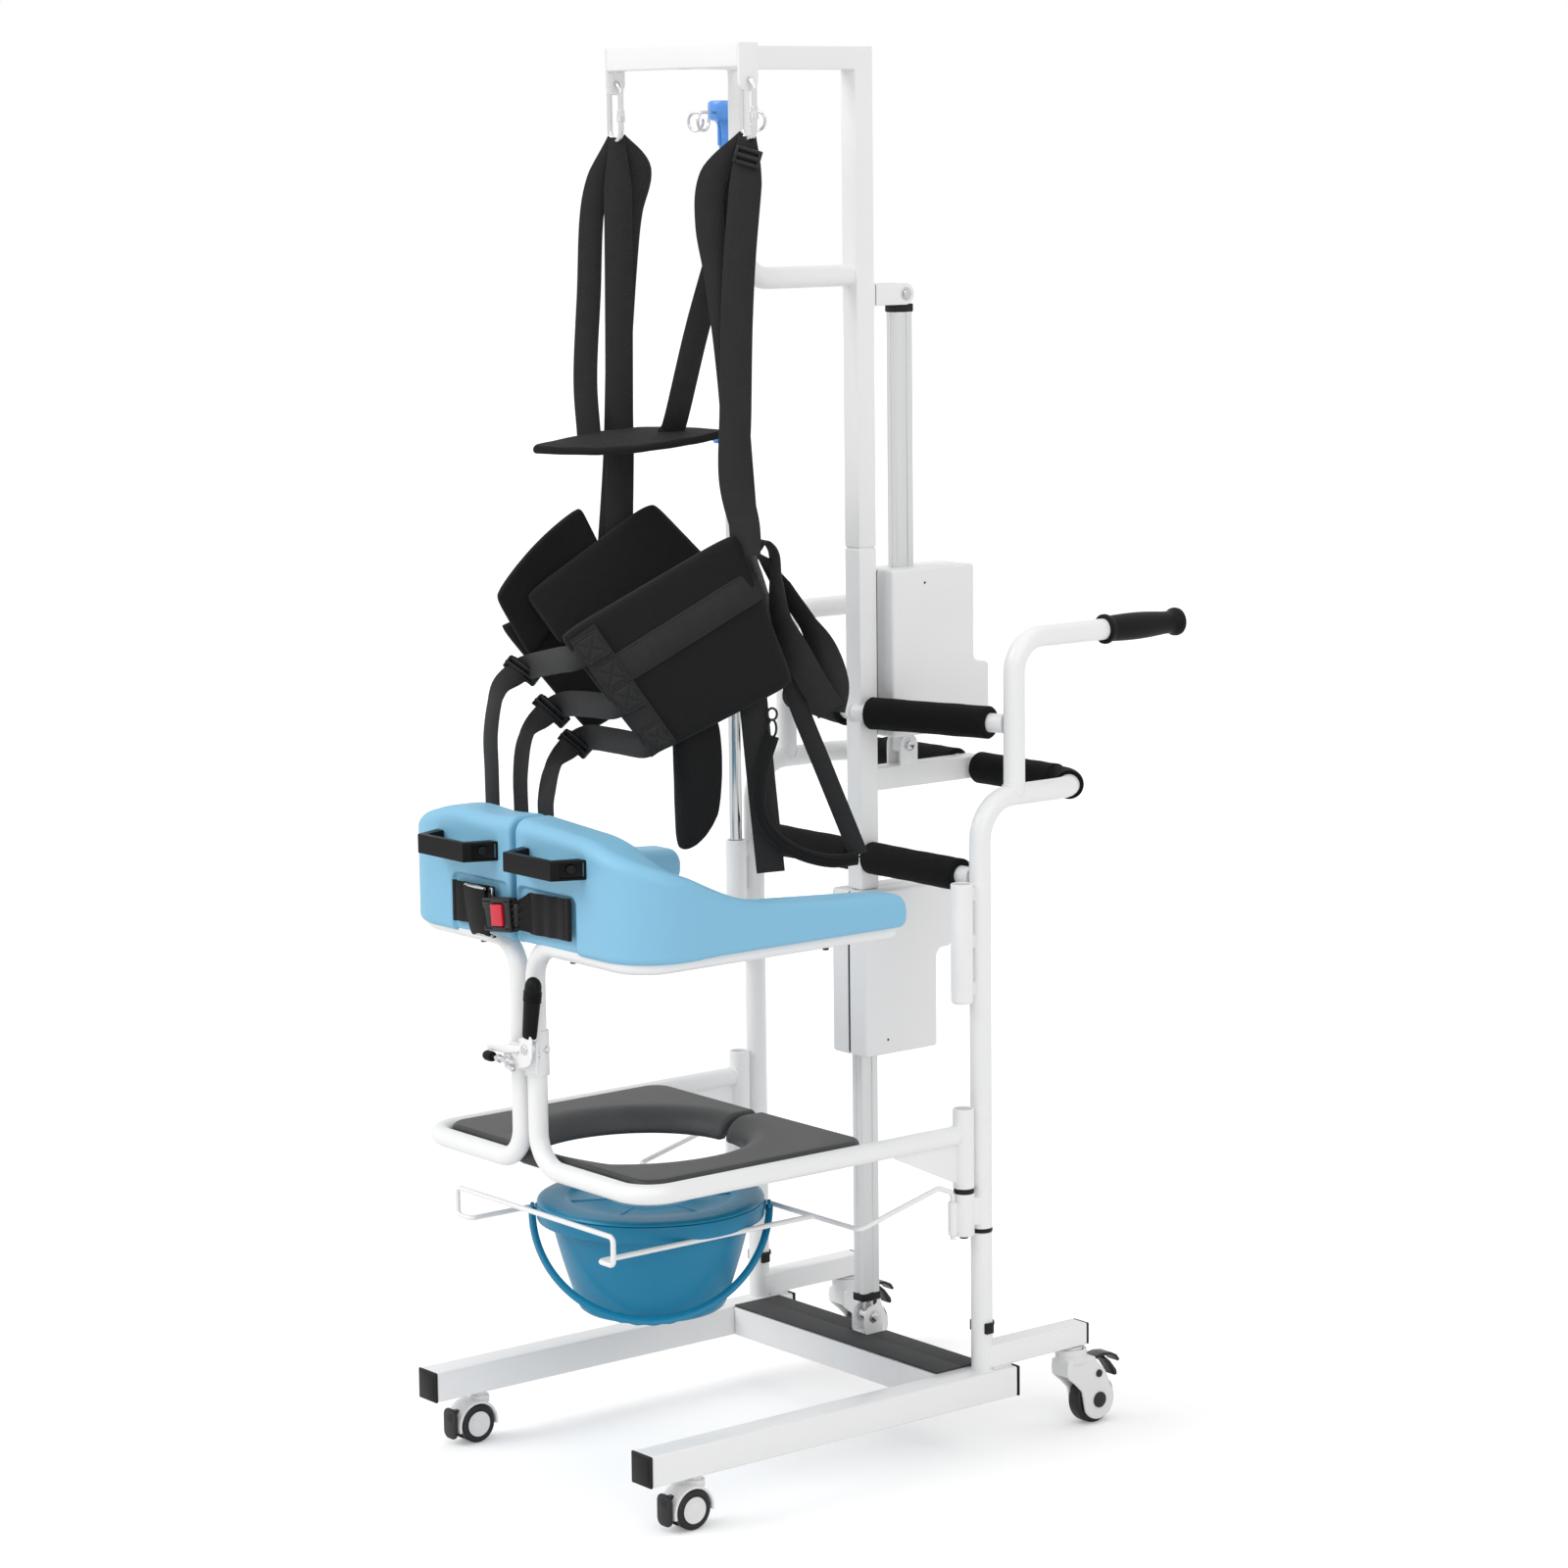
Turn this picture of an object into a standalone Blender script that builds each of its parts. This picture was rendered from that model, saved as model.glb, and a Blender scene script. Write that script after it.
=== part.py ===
"""Sit to stand patient lift with a split commode seat, a body sling and an infusion pole.

Metres, +Z up. The open end of the legs points to -Y and the mast stands at +Y.
Every solid is built in one construction frame, with y = 0 at the front of the legs
and z = 0 on the floor. The root empty then puts the origin at the middle of the footprint.
"""

import math

import bmesh
import bpy
from mathutils import Matrix, Vector

# Fits
FIT = 0.0003          # gap between pieces that touch or slide
LAP = 0.001           # overlap of welded pieces

# Base
LEG_X = 0.235         # middle of a leg, and of all that stands over it
LEG_SIZE = 0.040
LEG_LENGTH = 0.605
LEG_UNDERSIDE = 0.068
LEG_CAP = 0.004
EDGE_ROUND = 0.003
BEAM_FRONT = 0.495
BEAM_DEPTH = 0.080
MAT_THICKNESS = 0.003
TUBE_R = 0.014        # posts, side tubes, push handles, hinge barrels
POST_Y = 0.556
POST_TOP = 0.294
BUSH_HEIGHT = 0.0055
GUIDE_R = 0.011
GUIDE_LENGTH = 0.42
STUB_SIZE = 0.030
STUB_GAP = 0.004
STUB_END = 0.733

# Casters
FRONT_STEM_Y = 0.083
FRONT_TRAIL = 0.013
FRONT_WHEEL_R = 0.0255
FRONT_WHEEL_WIDTH = 0.0115
FRONT_WEB = 0.010
REAR_STEM_Y = 0.713
REAR_TRAIL = 0.036
REAR_WHEEL_R = 0.033
REAR_WHEEL_WIDTH = 0.022
REAR_CHEEK = 0.005
SWIVEL_R = 0.0215
AXLE_R = 0.004
PEDAL_THICKNESS = 0.005
HOOD_GAP = 0.002          # between the front wheels and the hood over them
HOOD_THICKNESS = 0.003
REAR_NECK = 0.0175        # from the crown of a rear fork up to its outrigger
REAR_PEDAL_LEAD = 0.003   # of the rear pedal's hinge, in front of the axle

# Lift carriage
SIDE_BEND = 0.055
SIDE_TOP = 0.862
REAR_BAR_Y = 0.742
REAR_BEND = 0.040
RISER_Y = 0.6156
HANDLE_Z = 1.064
HANDLE_BEND = 0.045
GRIP_START = 0.771
GRIP_END = 0.912
GRIP_R = 0.018
GRIP_CLOSED_END = 0.006
COLUMN_SIZE = 0.030
COLUMN_WALL = 0.0017
COLUMN_BOTTOM = 0.7163
COLUMN_TOP = 1.170
PAD_BAR_R = 0.0125
LOWER_BAR_Z = 0.759
UPPER_BAR_Z = 0.953
UPPER_BAR_LEAD = 0.011   # the slanted bars meet in front of the column's axis
SLEEVE_R = 0.0215
SHELF_HEIGHT = 0.030
SOCKET_Y = 0.525
SOCKET_BOTTOM = 0.602
SOCKET_TOP = 0.756
SOCKET_R = 0.0145

# Lifting actuators
PROFILE_WIDTH = 0.020
PROFILE_DEPTH = 0.030
ROD_R = 0.008
EYE_R = 0.010
EYE_WIDTH = 0.020
EAR_THICKNESS = 0.004
EAR_DEPTH = 0.030
BOLT_R = 0.004
BAND_HEIGHT = 0.011
BAND_LIP = 0.001
COVER_WIDTH = 0.069
COVER_HEIGHT = 0.222
COVER_BACK = 0.099    # from the actuator axis to the back of the cover
MOTOR_STEP = 0.026
MOTOR_HEIGHT = 0.089
LOWER_COVER_FRONT = 0.027
UPPER_COVER_FRONT = 0.044
LOWER_COVER_BOTTOM = 0.494
LOWER_BAND_BOTTOM = 0.153
FOOT_BOLT_Z = 0.132
UPPER_AXIS_Y = 0.625
UPPER_COVER_BOTTOM = 0.918
UPPER_PROFILE_TOP = 1.475
SHELF_BOLT_Z = 0.903
MAST_BOLT_Z = 1.499

# Mast and boom
MAST_INNER_BOTTOM = 0.78
ARM_Z = 1.803
BOOM_BAR_Y = 0.270
BOOM_HALF = 0.1355
EAR_DROP = 0.030
HANG_HOLE_R = 0.0055
GRAB_Y = 0.363
GRAB_Z = 1.525
GRAB_BEND = 0.042
RING_WIRE_R = 0.004
RING_HALF_WIDTH = 0.012
RING_LENGTH = 0.072

# Seat halves
HINGE_Y = 0.526
HINGE_PIN_R = 0.008
LOWER_BARREL_BOTTOM = 0.294
LOWER_BARREL_TOP = 0.350
WASHER = 0.0067
BARREL_TOP = 0.462
SEAT_TUBE_R = 0.0125
SEAT_Z = 0.428
SEAT_FRONT_Y = 0.010
SEAT_BEND = 0.045
RISER_X = 0.0175
ARM_TUBE_Z = 0.710
ARM_TUBE_END = 0.405
PAD_TOP = 0.4415
PAD_THICKNESS = 0.0235
PAD_REAR = 0.377
PAD_SPLIT = 0.006
HOLE_Y = 0.172
HOLE_R = 0.124
TAB_THICKNESS = 0.003
GUSSET_LENGTH = 0.105
BACK_Y = -0.010
BACK_THICKNESS = 0.065
BACK_BOTTOM = 0.714
BACK_TOP = 0.874
BACK_TOP_ROUND = 0.018
BACK_END_ROUND = 0.014
BACK_SPLIT = 0.003
ARMREST_OUTER = 0.268
ARMREST_TOP = 0.759
ARMREST_END = 0.412
BACK_CORNER = 0.085
CREST_SLOPE = 0.0735  # fall of the top line, all along a half
CREST_FROM = 0.132    # where the top line bends down to the armrest, from the split along the half
CREST_TO = 0.398
BOW_FROM = 0.026
BOW_TO = 0.162
BOW_SPLAY = 0.018
BOW_FOOT = 0.016
BOW_REACH = 0.041
BOW_Z = 0.826
BOW_HEIGHT = 0.025
BOW_THICKNESS = 0.009
BELT_Z = 0.757
BELT_HEIGHT = 0.050
BELT_THICKNESS = 0.003
BUCKLE_LENGTH = 0.060
BUCKLE_HEIGHT = 0.046
BUCKLE_THICKNESS = 0.016
BUTTON_WIDTH = 0.024
BUTTON_HEIGHT = 0.027
BUTTON_TRAVEL = 0.003
LATCH_X = 0.034
LATCH_Z = 0.585
LEVER_LENGTH = 0.097
LEVER_TILT = math.radians(9)
GRIP_FROM = 0.013     # where the rubber grip starts, from the lever's pin
GRIP_R = 0.0088

# Infusion pole
POLE_R = 0.0085
POLE_TOP = 1.290
POLE_ROD_R = 0.006
POLE_ROD_BOTTOM = 1.050
POLE_DROP = 0.30
CLAMP_R = 0.013
CLAMP_HEIGHT = 0.034
HEAD_BOTTOM = 1.690
HEAD_TOP = 1.753
HEAD_R = 0.025
HOOK_REACH = 0.066
HOOK_WIRE_R = 0.0022

# Commode bucket and its wire rack
WIRE_R = 0.003
RACK_Z = 0.330
RACK_REAR_Y = 0.352
RAIL_X = 0.140
RACK_FRONT_Y = 0.0115
RACK_LOOP_X = 0.170
RACK_LOOP_Z = 0.366
BUCKET_Y = 0.196
BUCKET_BOTTOM = 0.210
BUCKET_BASE_R = 0.0925
BUCKET_TOP_R = 0.134
BUCKET_WALL = 0.003
RIM_R = 0.147
RIM_HEIGHT = 0.0187
LID_THICKNESS = 0.006
BAIL_TURN = math.radians(51.5)   # where the pivots of the bail face, about Z
BAIL_TILT = math.radians(42)     # of the resting bail, away from straight down
BAIL_REACH = 0.165
BAIL_WIRE_R = 0.0035

# Sling
VEST_Y = 0.265
VEST_TURN = math.radians(51.5)   # the open end of the vest faces this way, about Z
VEST_HALF = 0.105                # half of the space between its two walls
VEST_THICKNESS = 0.018
VEST_LOW = 0.943
VEST_HIGH = 1.225
NECK_THICKNESS = 0.013
STRAP_THICKNESS = 0.006
STRAP_LOW = 1.12
STRAP_WIDTH = 0.042
NECK_STRAP_WIDTH = 0.032
LEG_STRAP_WIDTH = 0.034
GROIN_STRAP_WIDTH = 0.056
TAIL_WIDTH = 0.026
PADDED_LOOP_R = 0.0085

SIDES = {"left": -1, "right": 1}
X_AXIS, Z_AXIS = Vector((1, 0, 0)), Vector((0, 0, 1))

# Heights and places that follow from the sizes above
leg_top = LEG_UNDERSIDE + LEG_SIZE
carriage_bottom = POST_TOP + BUSH_HEIGHT + FIT
stub_bottom = leg_top + STUB_GAP
rim_bottom = RACK_Z + WIRE_R + FIT
rim_top = rim_bottom + RIM_HEIGHT
hang_z = ARM_Z - COLUMN_SIZE / 2 - EAR_DROP / 2
boom_end = BOOM_HALF + EAR_THICKNESS / 2
rack_pin_y = HINGE_Y - TUBE_R - WIRE_R - 2 * LAP


# Scene, materials and the tree of pivots

for old in list(bpy.data.objects):
    bpy.data.objects.remove(old, do_unlink=True)
parts = bpy.data.collections.new("sit_to_stand_lift")
bpy.context.scene.collection.children.link(parts)


def material(name, colour, roughness, metallic=0.0):
    made = bpy.data.materials.new(name)
    made.use_nodes = True
    shader = made.node_tree.nodes["Principled BSDF"]
    shader.inputs["Base Color"].default_value = (*colour, 1)
    shader.inputs["Roughness"].default_value = roughness
    shader.inputs["Metallic"].default_value = metallic
    return made


WHITE = material("white_powder_coat", (0.86, 0.86, 0.85), 0.35)
BLACK = material("black_plastic", (0.02, 0.02, 0.02), 0.5)
RUBBER = material("black_rubber", (0.025, 0.025, 0.025), 0.75)
FOAM = material("black_foam", (0.02, 0.02, 0.02), 0.9)
FABRIC = material("black_webbing", (0.015, 0.015, 0.015), 0.9)
SEAT_FOAM = material("dark_seat_skin", (0.05, 0.05, 0.05), 0.7)
BLUE_FOAM = material("blue_moulded_foam", (0.20, 0.48, 0.72), 0.5)
TEAL = material("teal_plastic", (0.012, 0.18, 0.31), 0.35)
SKY = material("blue_plastic", (0.10, 0.33, 0.82), 0.35)
RED = material("red_plastic", (0.65, 0.0, 0.03), 0.4)
STEEL = material("stainless_steel", (0.62, 0.62, 0.62), 0.25, 1.0)
ALUMINIUM = material("anodised_aluminium", (0.70, 0.71, 0.72), 0.35, 1.0)

places = {}


def pivot(name, parent, at):
    """An empty on a joint's axis. The solids that move with it are its children."""
    places[name] = Vector(at)
    empty = bpy.data.objects.new(name, None)
    parts.objects.link(empty)
    if parent:
        empty.parent = bpy.data.objects[parent]
        empty.location = places[name] - places[parent]
    return name


def place(obj, name, finish, body):
    """Names a finished solid, gives it its material and hangs it on its pivot."""
    obj.name = name
    obj.data.name = name
    obj.data.transform(Matrix.Translation(-places[body]))
    obj.data.materials.clear()
    obj.data.materials.append(finish)
    obj.data.shade_smooth()
    obj.data.set_sharp_from_angle(angle=math.radians(35))
    obj.parent = bpy.data.objects[body]


# Shapes

def solid(bm):
    bmesh.ops.recalc_face_normals(bm, faces=bm.faces)
    mesh = bpy.data.meshes.new("shape")
    bm.to_mesh(mesh)
    bm.free()
    obj = bpy.data.objects.new("shape", mesh)
    parts.objects.link(obj)
    return obj


def box(low, high, rounding=0.0):
    low, high = Vector(low), Vector(high)
    bm = bmesh.new()
    bmesh.ops.create_cube(bm, size=1)
    bmesh.ops.transform(
        bm,
        matrix=Matrix.Translation((low + high) / 2) @ Matrix.Diagonal(high - low).to_4x4(),
        verts=bm.verts,
    )
    if rounding:
        bmesh.ops.bevel(bm, geom=bm.edges[:], offset=rounding, segments=1, affect="EDGES")
    return solid(bm)


def mirrored_box(side, low, high, rounding=0.0):
    """A box given on the right side, or its mirror image on the left."""
    (x0, y0, z0), (x1, y1, z1) = low, high
    ends = sorted((side * x0, side * x1))
    return box((ends[0], y0, z0), (ends[1], y1, z1), rounding)


def rod(start, end, radius, sides=12, end_radius=None):
    start, end = Vector(start), Vector(end)
    along = end - start
    turn = Z_AXIS.rotation_difference(along).to_matrix().to_4x4()
    bm = bmesh.new()
    bmesh.ops.create_cone(
        bm,
        cap_ends=True,
        segments=sides,
        radius1=radius,
        radius2=radius if end_radius is None else end_radius,
        depth=along.length,
        matrix=Matrix.Translation((start + end) / 2) @ turn,
    )
    return solid(bm)


def evaluated_mesh(obj):
    """The object's shape with its modifiers, as a mesh of its own with its caps welded."""
    graph = bpy.context.evaluated_depsgraph_get()
    mesh = bpy.data.meshes.new_from_object(obj.evaluated_get(graph))
    bm = bmesh.new()
    bm.from_mesh(mesh)
    bmesh.ops.remove_doubles(bm, verts=bm.verts, dist=1e-6)
    bpy.data.meshes.remove(mesh)
    bpy.data.objects.remove(obj, do_unlink=True)
    return solid(bm)


def rounded(points, bend, steps=3):
    """The corners of a path replaced by arcs of the bend radius."""
    points = [Vector(p) for p in points]
    path = [points[0]]
    for before, corner, after in zip(points, points[1:], points[2:]):
        back, ahead = (before - corner).normalized(), (after - corner).normalized()
        half = back.angle(ahead) / 2
        shorter = min((before - corner).length, (after - corner).length)
        radius = min(bend, 0.49 * math.tan(half) * shorter)
        middle = corner + (back + ahead).normalized() * radius / math.sin(half)
        first = corner + back * radius / math.tan(half) - middle
        axis = first.cross(corner - middle).normalized()
        sweep = math.pi - 2 * half
        path += [middle + Matrix.Rotation(sweep * i / steps, 3, axis) @ first for i in range(steps + 1)]
    return path + [points[-1]]


def tube(points, radius, sides=10, closed=False):
    """A round bar along a path."""
    curve = bpy.data.curves.new("path", "CURVE")
    curve.dimensions = "3D"
    curve.bevel_depth = radius
    curve.bevel_resolution = sides // 2 - 2
    curve.use_fill_caps = not closed
    spline = curve.splines.new("POLY")
    spline.points.add(len(points) - 1)
    for point, at in zip(spline.points, points):
        point.co = (*at, 1)
    spline.use_cyclic_u = closed
    obj = bpy.data.objects.new("path", curve)
    parts.objects.link(obj)
    return evaluated_mesh(obj)


def plate(outline, thickness, frame=Matrix.Identity(4)):
    """A flat outline given its thickness, centred on its plane, then set in a frame."""
    curve = bpy.data.curves.new("outline", "CURVE")
    curve.dimensions = "2D"
    curve.fill_mode = "BOTH"
    curve.extrude = thickness / 2
    spline = curve.splines.new("POLY")
    spline.points.add(len(outline) - 1)
    for point, (x, y) in zip(spline.points, outline):
        point.co = (x, y, 0, 1)
    spline.use_cyclic_u = True
    obj = bpy.data.objects.new("outline", curve)
    parts.objects.link(obj)
    made = evaluated_mesh(obj)
    made.data.transform(frame)
    return made


def side_frame(x):
    """Sets a plate's outline upright: its x runs along +Y, its y up, its thickness along X."""
    return Matrix(((0, 0, 1, x), (1, 0, 0, 0), (0, 1, 0, 0), (0, 0, 0, 1)))


def arc(centre, radius, start, end, steps=6):
    angles = [math.radians(start + (end - start) * i / steps) for i in range(steps + 1)]
    return [(centre[0] + radius * math.cos(a), centre[1] + radius * math.sin(a)) for a in angles]


def turned(profile, frame=Matrix.Identity(4), sides=16):
    """A profile of (radius, height) turned about Z, then set in a frame."""
    mesh = bpy.data.meshes.new("profile")
    closed = profile[0][0] > 0 or profile[-1][0] > 0
    edges = [(i, i + 1) for i in range(len(profile) - 1)]
    if closed:
        edges.append((len(profile) - 1, 0))
    mesh.from_pydata([(r, 0, z) for r, z in profile], edges, [])
    obj = bpy.data.objects.new("profile", mesh)
    parts.objects.link(obj)
    screw = obj.modifiers.new("turn", "SCREW")
    screw.steps = screw.render_steps = sides
    screw.use_merge_vertices = True
    screw.merge_threshold = 1e-5
    made = evaluated_mesh(obj)
    made.data.transform(frame)
    return made


def combine(first, others, operation):
    for other in others:
        modifier = first.modifiers.new(operation, "BOOLEAN")
        modifier.operation = operation
        modifier.object = other
        graph = bpy.context.evaluated_depsgraph_get()
        mesh = bpy.data.meshes.new_from_object(first.evaluated_get(graph))
        first.modifiers.clear()
        first.data = mesh
        bpy.data.objects.remove(other, do_unlink=True)
    return first


def welded(first, *others):
    return combine(first, others, "UNION")


def cut(first, *others):
    return combine(first, others, "DIFFERENCE")


def clevis(y, foot_z, bolt_z, down=False):
    """Two ears on a foot with a bolt across them, which holds an actuator's eye."""
    half = EYE_WIDTH / 2 + 2 * FIT
    outer = half + EAR_THICKNESS
    top = bolt_z + (-1 if down else 1) * EYE_R * 1.4
    low, high = sorted((foot_z, top))
    made = rod((-outer - BOLT_R, y, bolt_z), (outer + BOLT_R, y, bolt_z), BOLT_R, 8)
    for side in SIDES.values():
        ear = mirrored_box(side, (half, y - EAR_DEPTH / 2, low), (outer, y + EAR_DEPTH / 2, high))
        head = rod((side * (outer - LAP), y, bolt_z), (side * (outer + BOLT_R), y, bolt_z), BOLT_R * 1.7, 6)
        made = welded(made, ear, head)
    return made


def eye_bolt_hole(y, z):
    return rod((-EYE_WIDTH, y, z), (EYE_WIDTH, y, z), BOLT_R + FIT, 8)


# Bodies and the pivots that they turn or slide on

front_axle_y = FRONT_STEM_Y - FRONT_TRAIL
rear_axle_y = REAR_STEM_Y + REAR_TRAIL
front_pedal_y = front_axle_y - FRONT_WHEEL_R / 2
front_pedal_z = FRONT_WHEEL_R * 1.7
rear_crown_top = stub_bottom - REAR_NECK
rear_pedal_y = rear_axle_y - REAR_PEDAL_LEAD
rear_pedal_z = rear_crown_top - PEDAL_THICKNESS
front_barrel_r = PEDAL_THICKNESS * 0.55
front_hinge_y = front_pedal_y - front_barrel_r
rear_hinge_y = rear_pedal_y + FIT + PEDAL_THICKNESS / 2
bail_axis = Vector((math.cos(BAIL_TURN), math.sin(BAIL_TURN), 0))
bail_z = rim_top - RIM_HEIGHT / 2
button_x = -BUTTON_WIDTH * 0.7
buckle_back = BACK_Y - FIT - BUCKLE_THICKNESS

pivot("base", None, (0, 0, 0))
pivot("carriage", "base", (0, POST_Y, carriage_bottom))
pivot("mast", "carriage", (0, POST_Y, COLUMN_TOP))
pivot("sling", "mast", (0, BOOM_BAR_Y, hang_z))
for side_name, side in SIDES.items():
    pivot(f"seat_{side_name}", "carriage", (side * LEG_X, HINGE_Y, SEAT_Z))
pivot("latch", "seat_right", (LATCH_X, SEAT_FRONT_Y, LATCH_Z))
pivot("buckle", "seat_left", (button_x, buckle_back, BELT_Z))
pivot("pole_rod", "carriage", (-LEG_X, SOCKET_Y, POLE_TOP))
pivot("pole_screw", "carriage", (-LEG_X, SOCKET_Y, POLE_TOP + FIT + CLAMP_HEIGHT / 2))
pivot("bucket_body", "carriage", (0, BUCKET_Y, rim_bottom))
pivot("lid", "bucket_body", (0, BUCKET_Y, rim_top))
pivot("bail", "bucket_body", (0, BUCKET_Y, bail_z))
for side_name, side in SIDES.items():
    front, rear = f"front_{side_name}", f"rear_{side_name}"
    pivot(f"{front}_swivel", "base", (side * LEG_X, FRONT_STEM_Y, LEG_UNDERSIDE))
    pivot(f"{front}_axle", f"{front}_swivel", (side * LEG_X, front_axle_y, FRONT_WHEEL_R))
    pivot(f"{front}_brake", f"{front}_swivel", (side * LEG_X, front_hinge_y, front_pedal_z))
    pivot(f"{rear}_swivel", "base", (side * LEG_X, REAR_STEM_Y, stub_bottom))
    pivot(f"{rear}_axle", f"{rear}_swivel", (side * LEG_X, rear_axle_y, REAR_WHEEL_R))
    pivot(f"{rear}_brake", f"{rear}_swivel", (side * LEG_X, rear_hinge_y, rear_pedal_z))


# Base: legs with their posts, guides and outriggers, the footplate and the lower rod

def end_cap(x, y, z, size, outward):
    """A plug over the end of a square tube, a little proud of it."""
    lip = size / 2 + LEG_CAP / 8
    ends = sorted((y - outward * LAP, y + outward * LEG_CAP))
    return box((x - lip, ends[0], z - lip), (x + lip, ends[1], z + lip))


for side_name, side in SIDES.items():
    x = side * LEG_X
    half = LEG_SIZE / 2
    stub_half = STUB_SIZE / 2
    leg_z = LEG_UNDERSIDE + half
    stub_z = stub_bottom + stub_half
    leg = box(
        (x - half, LEG_CAP, LEG_UNDERSIDE), (x + half, LEG_LENGTH - LEG_CAP, leg_top), EDGE_ROUND
    )
    stub = box(
        (x - stub_half, POST_Y, stub_bottom),
        (x + stub_half, STUB_END - LEG_CAP, stub_bottom + STUB_SIZE),
        EDGE_ROUND,
    )
    leg = welded(
        leg,
        end_cap(x, LEG_CAP, leg_z, LEG_SIZE, -1),
        end_cap(x, LEG_LENGTH - LEG_CAP, leg_z, LEG_SIZE, 1),
        rod((x, POST_Y, leg_top - LAP), (x, POST_Y, POST_TOP), TUBE_R),
        rod((x, POST_Y, POST_TOP - LAP), (x, POST_Y, POST_TOP + BUSH_HEIGHT), TUBE_R + LAP / 2),
        rod((x, POST_Y, POST_TOP), (x, POST_Y, POST_TOP + GUIDE_LENGTH), GUIDE_R),
        stub,
        end_cap(x, STUB_END - LEG_CAP, stub_z, STUB_SIZE - 2 * LAP, 1),
    )
    place(leg, f"leg_{side_name}", WHITE, "base")

beam_half = LEG_X - LEG_SIZE / 2 - FIT
beam_back = BEAM_FRONT + BEAM_DEPTH
beam = box((-beam_half, BEAM_FRONT, LEG_UNDERSIDE), (beam_half, beam_back, leg_top), EDGE_ROUND)
place(beam, "footplate_beam", WHITE, "base")

foot_half = EYE_WIDTH / 2 + 2 * FIT + EAR_THICKNESS
foot = box(
    (-foot_half, POST_Y - EAR_DEPTH / 2, leg_top + FIT),
    (foot_half, POST_Y + EAR_DEPTH / 2, leg_top + FIT + EAR_THICKNESS),
)
foot = welded(foot, clevis(POST_Y, leg_top + FIT + EAR_THICKNESS - LAP, FOOT_BOLT_Z))
place(foot, "actuator_foot_bracket", STEEL, "base")

mat_low = leg_top + FIT
mat = box(
    (-beam_half, BEAM_FRONT + FIT, mat_low), (beam_half, beam_back - FIT, mat_low + MAT_THICKNESS)
)
notch_half = foot_half + 2 * FIT + BOLT_R
notch = box(
    (-notch_half, POST_Y - EAR_DEPTH / 2 - LAP, leg_top - LAP),
    (notch_half, beam_back + LAP, leg_top + 2 * MAT_THICKNESS),
)
place(cut(mat, notch), "footplate_mat", RUBBER, "base")

lower_rod = welded(
    rod((-EYE_WIDTH / 2, POST_Y, FOOT_BOLT_Z), (EYE_WIDTH / 2, POST_Y, FOOT_BOLT_Z), EYE_R),
    rod((0, POST_Y, FOOT_BOLT_Z), (0, POST_Y, LOWER_COVER_BOTTOM - 3 * ROD_R), ROD_R),
)
place(cut(lower_rod, eye_bolt_hole(POST_Y, FOOT_BOLT_Z)), "lower_lift_rod", STEEL, "base")


# Casters: twin wheels in front, braked swivel forks behind

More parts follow.
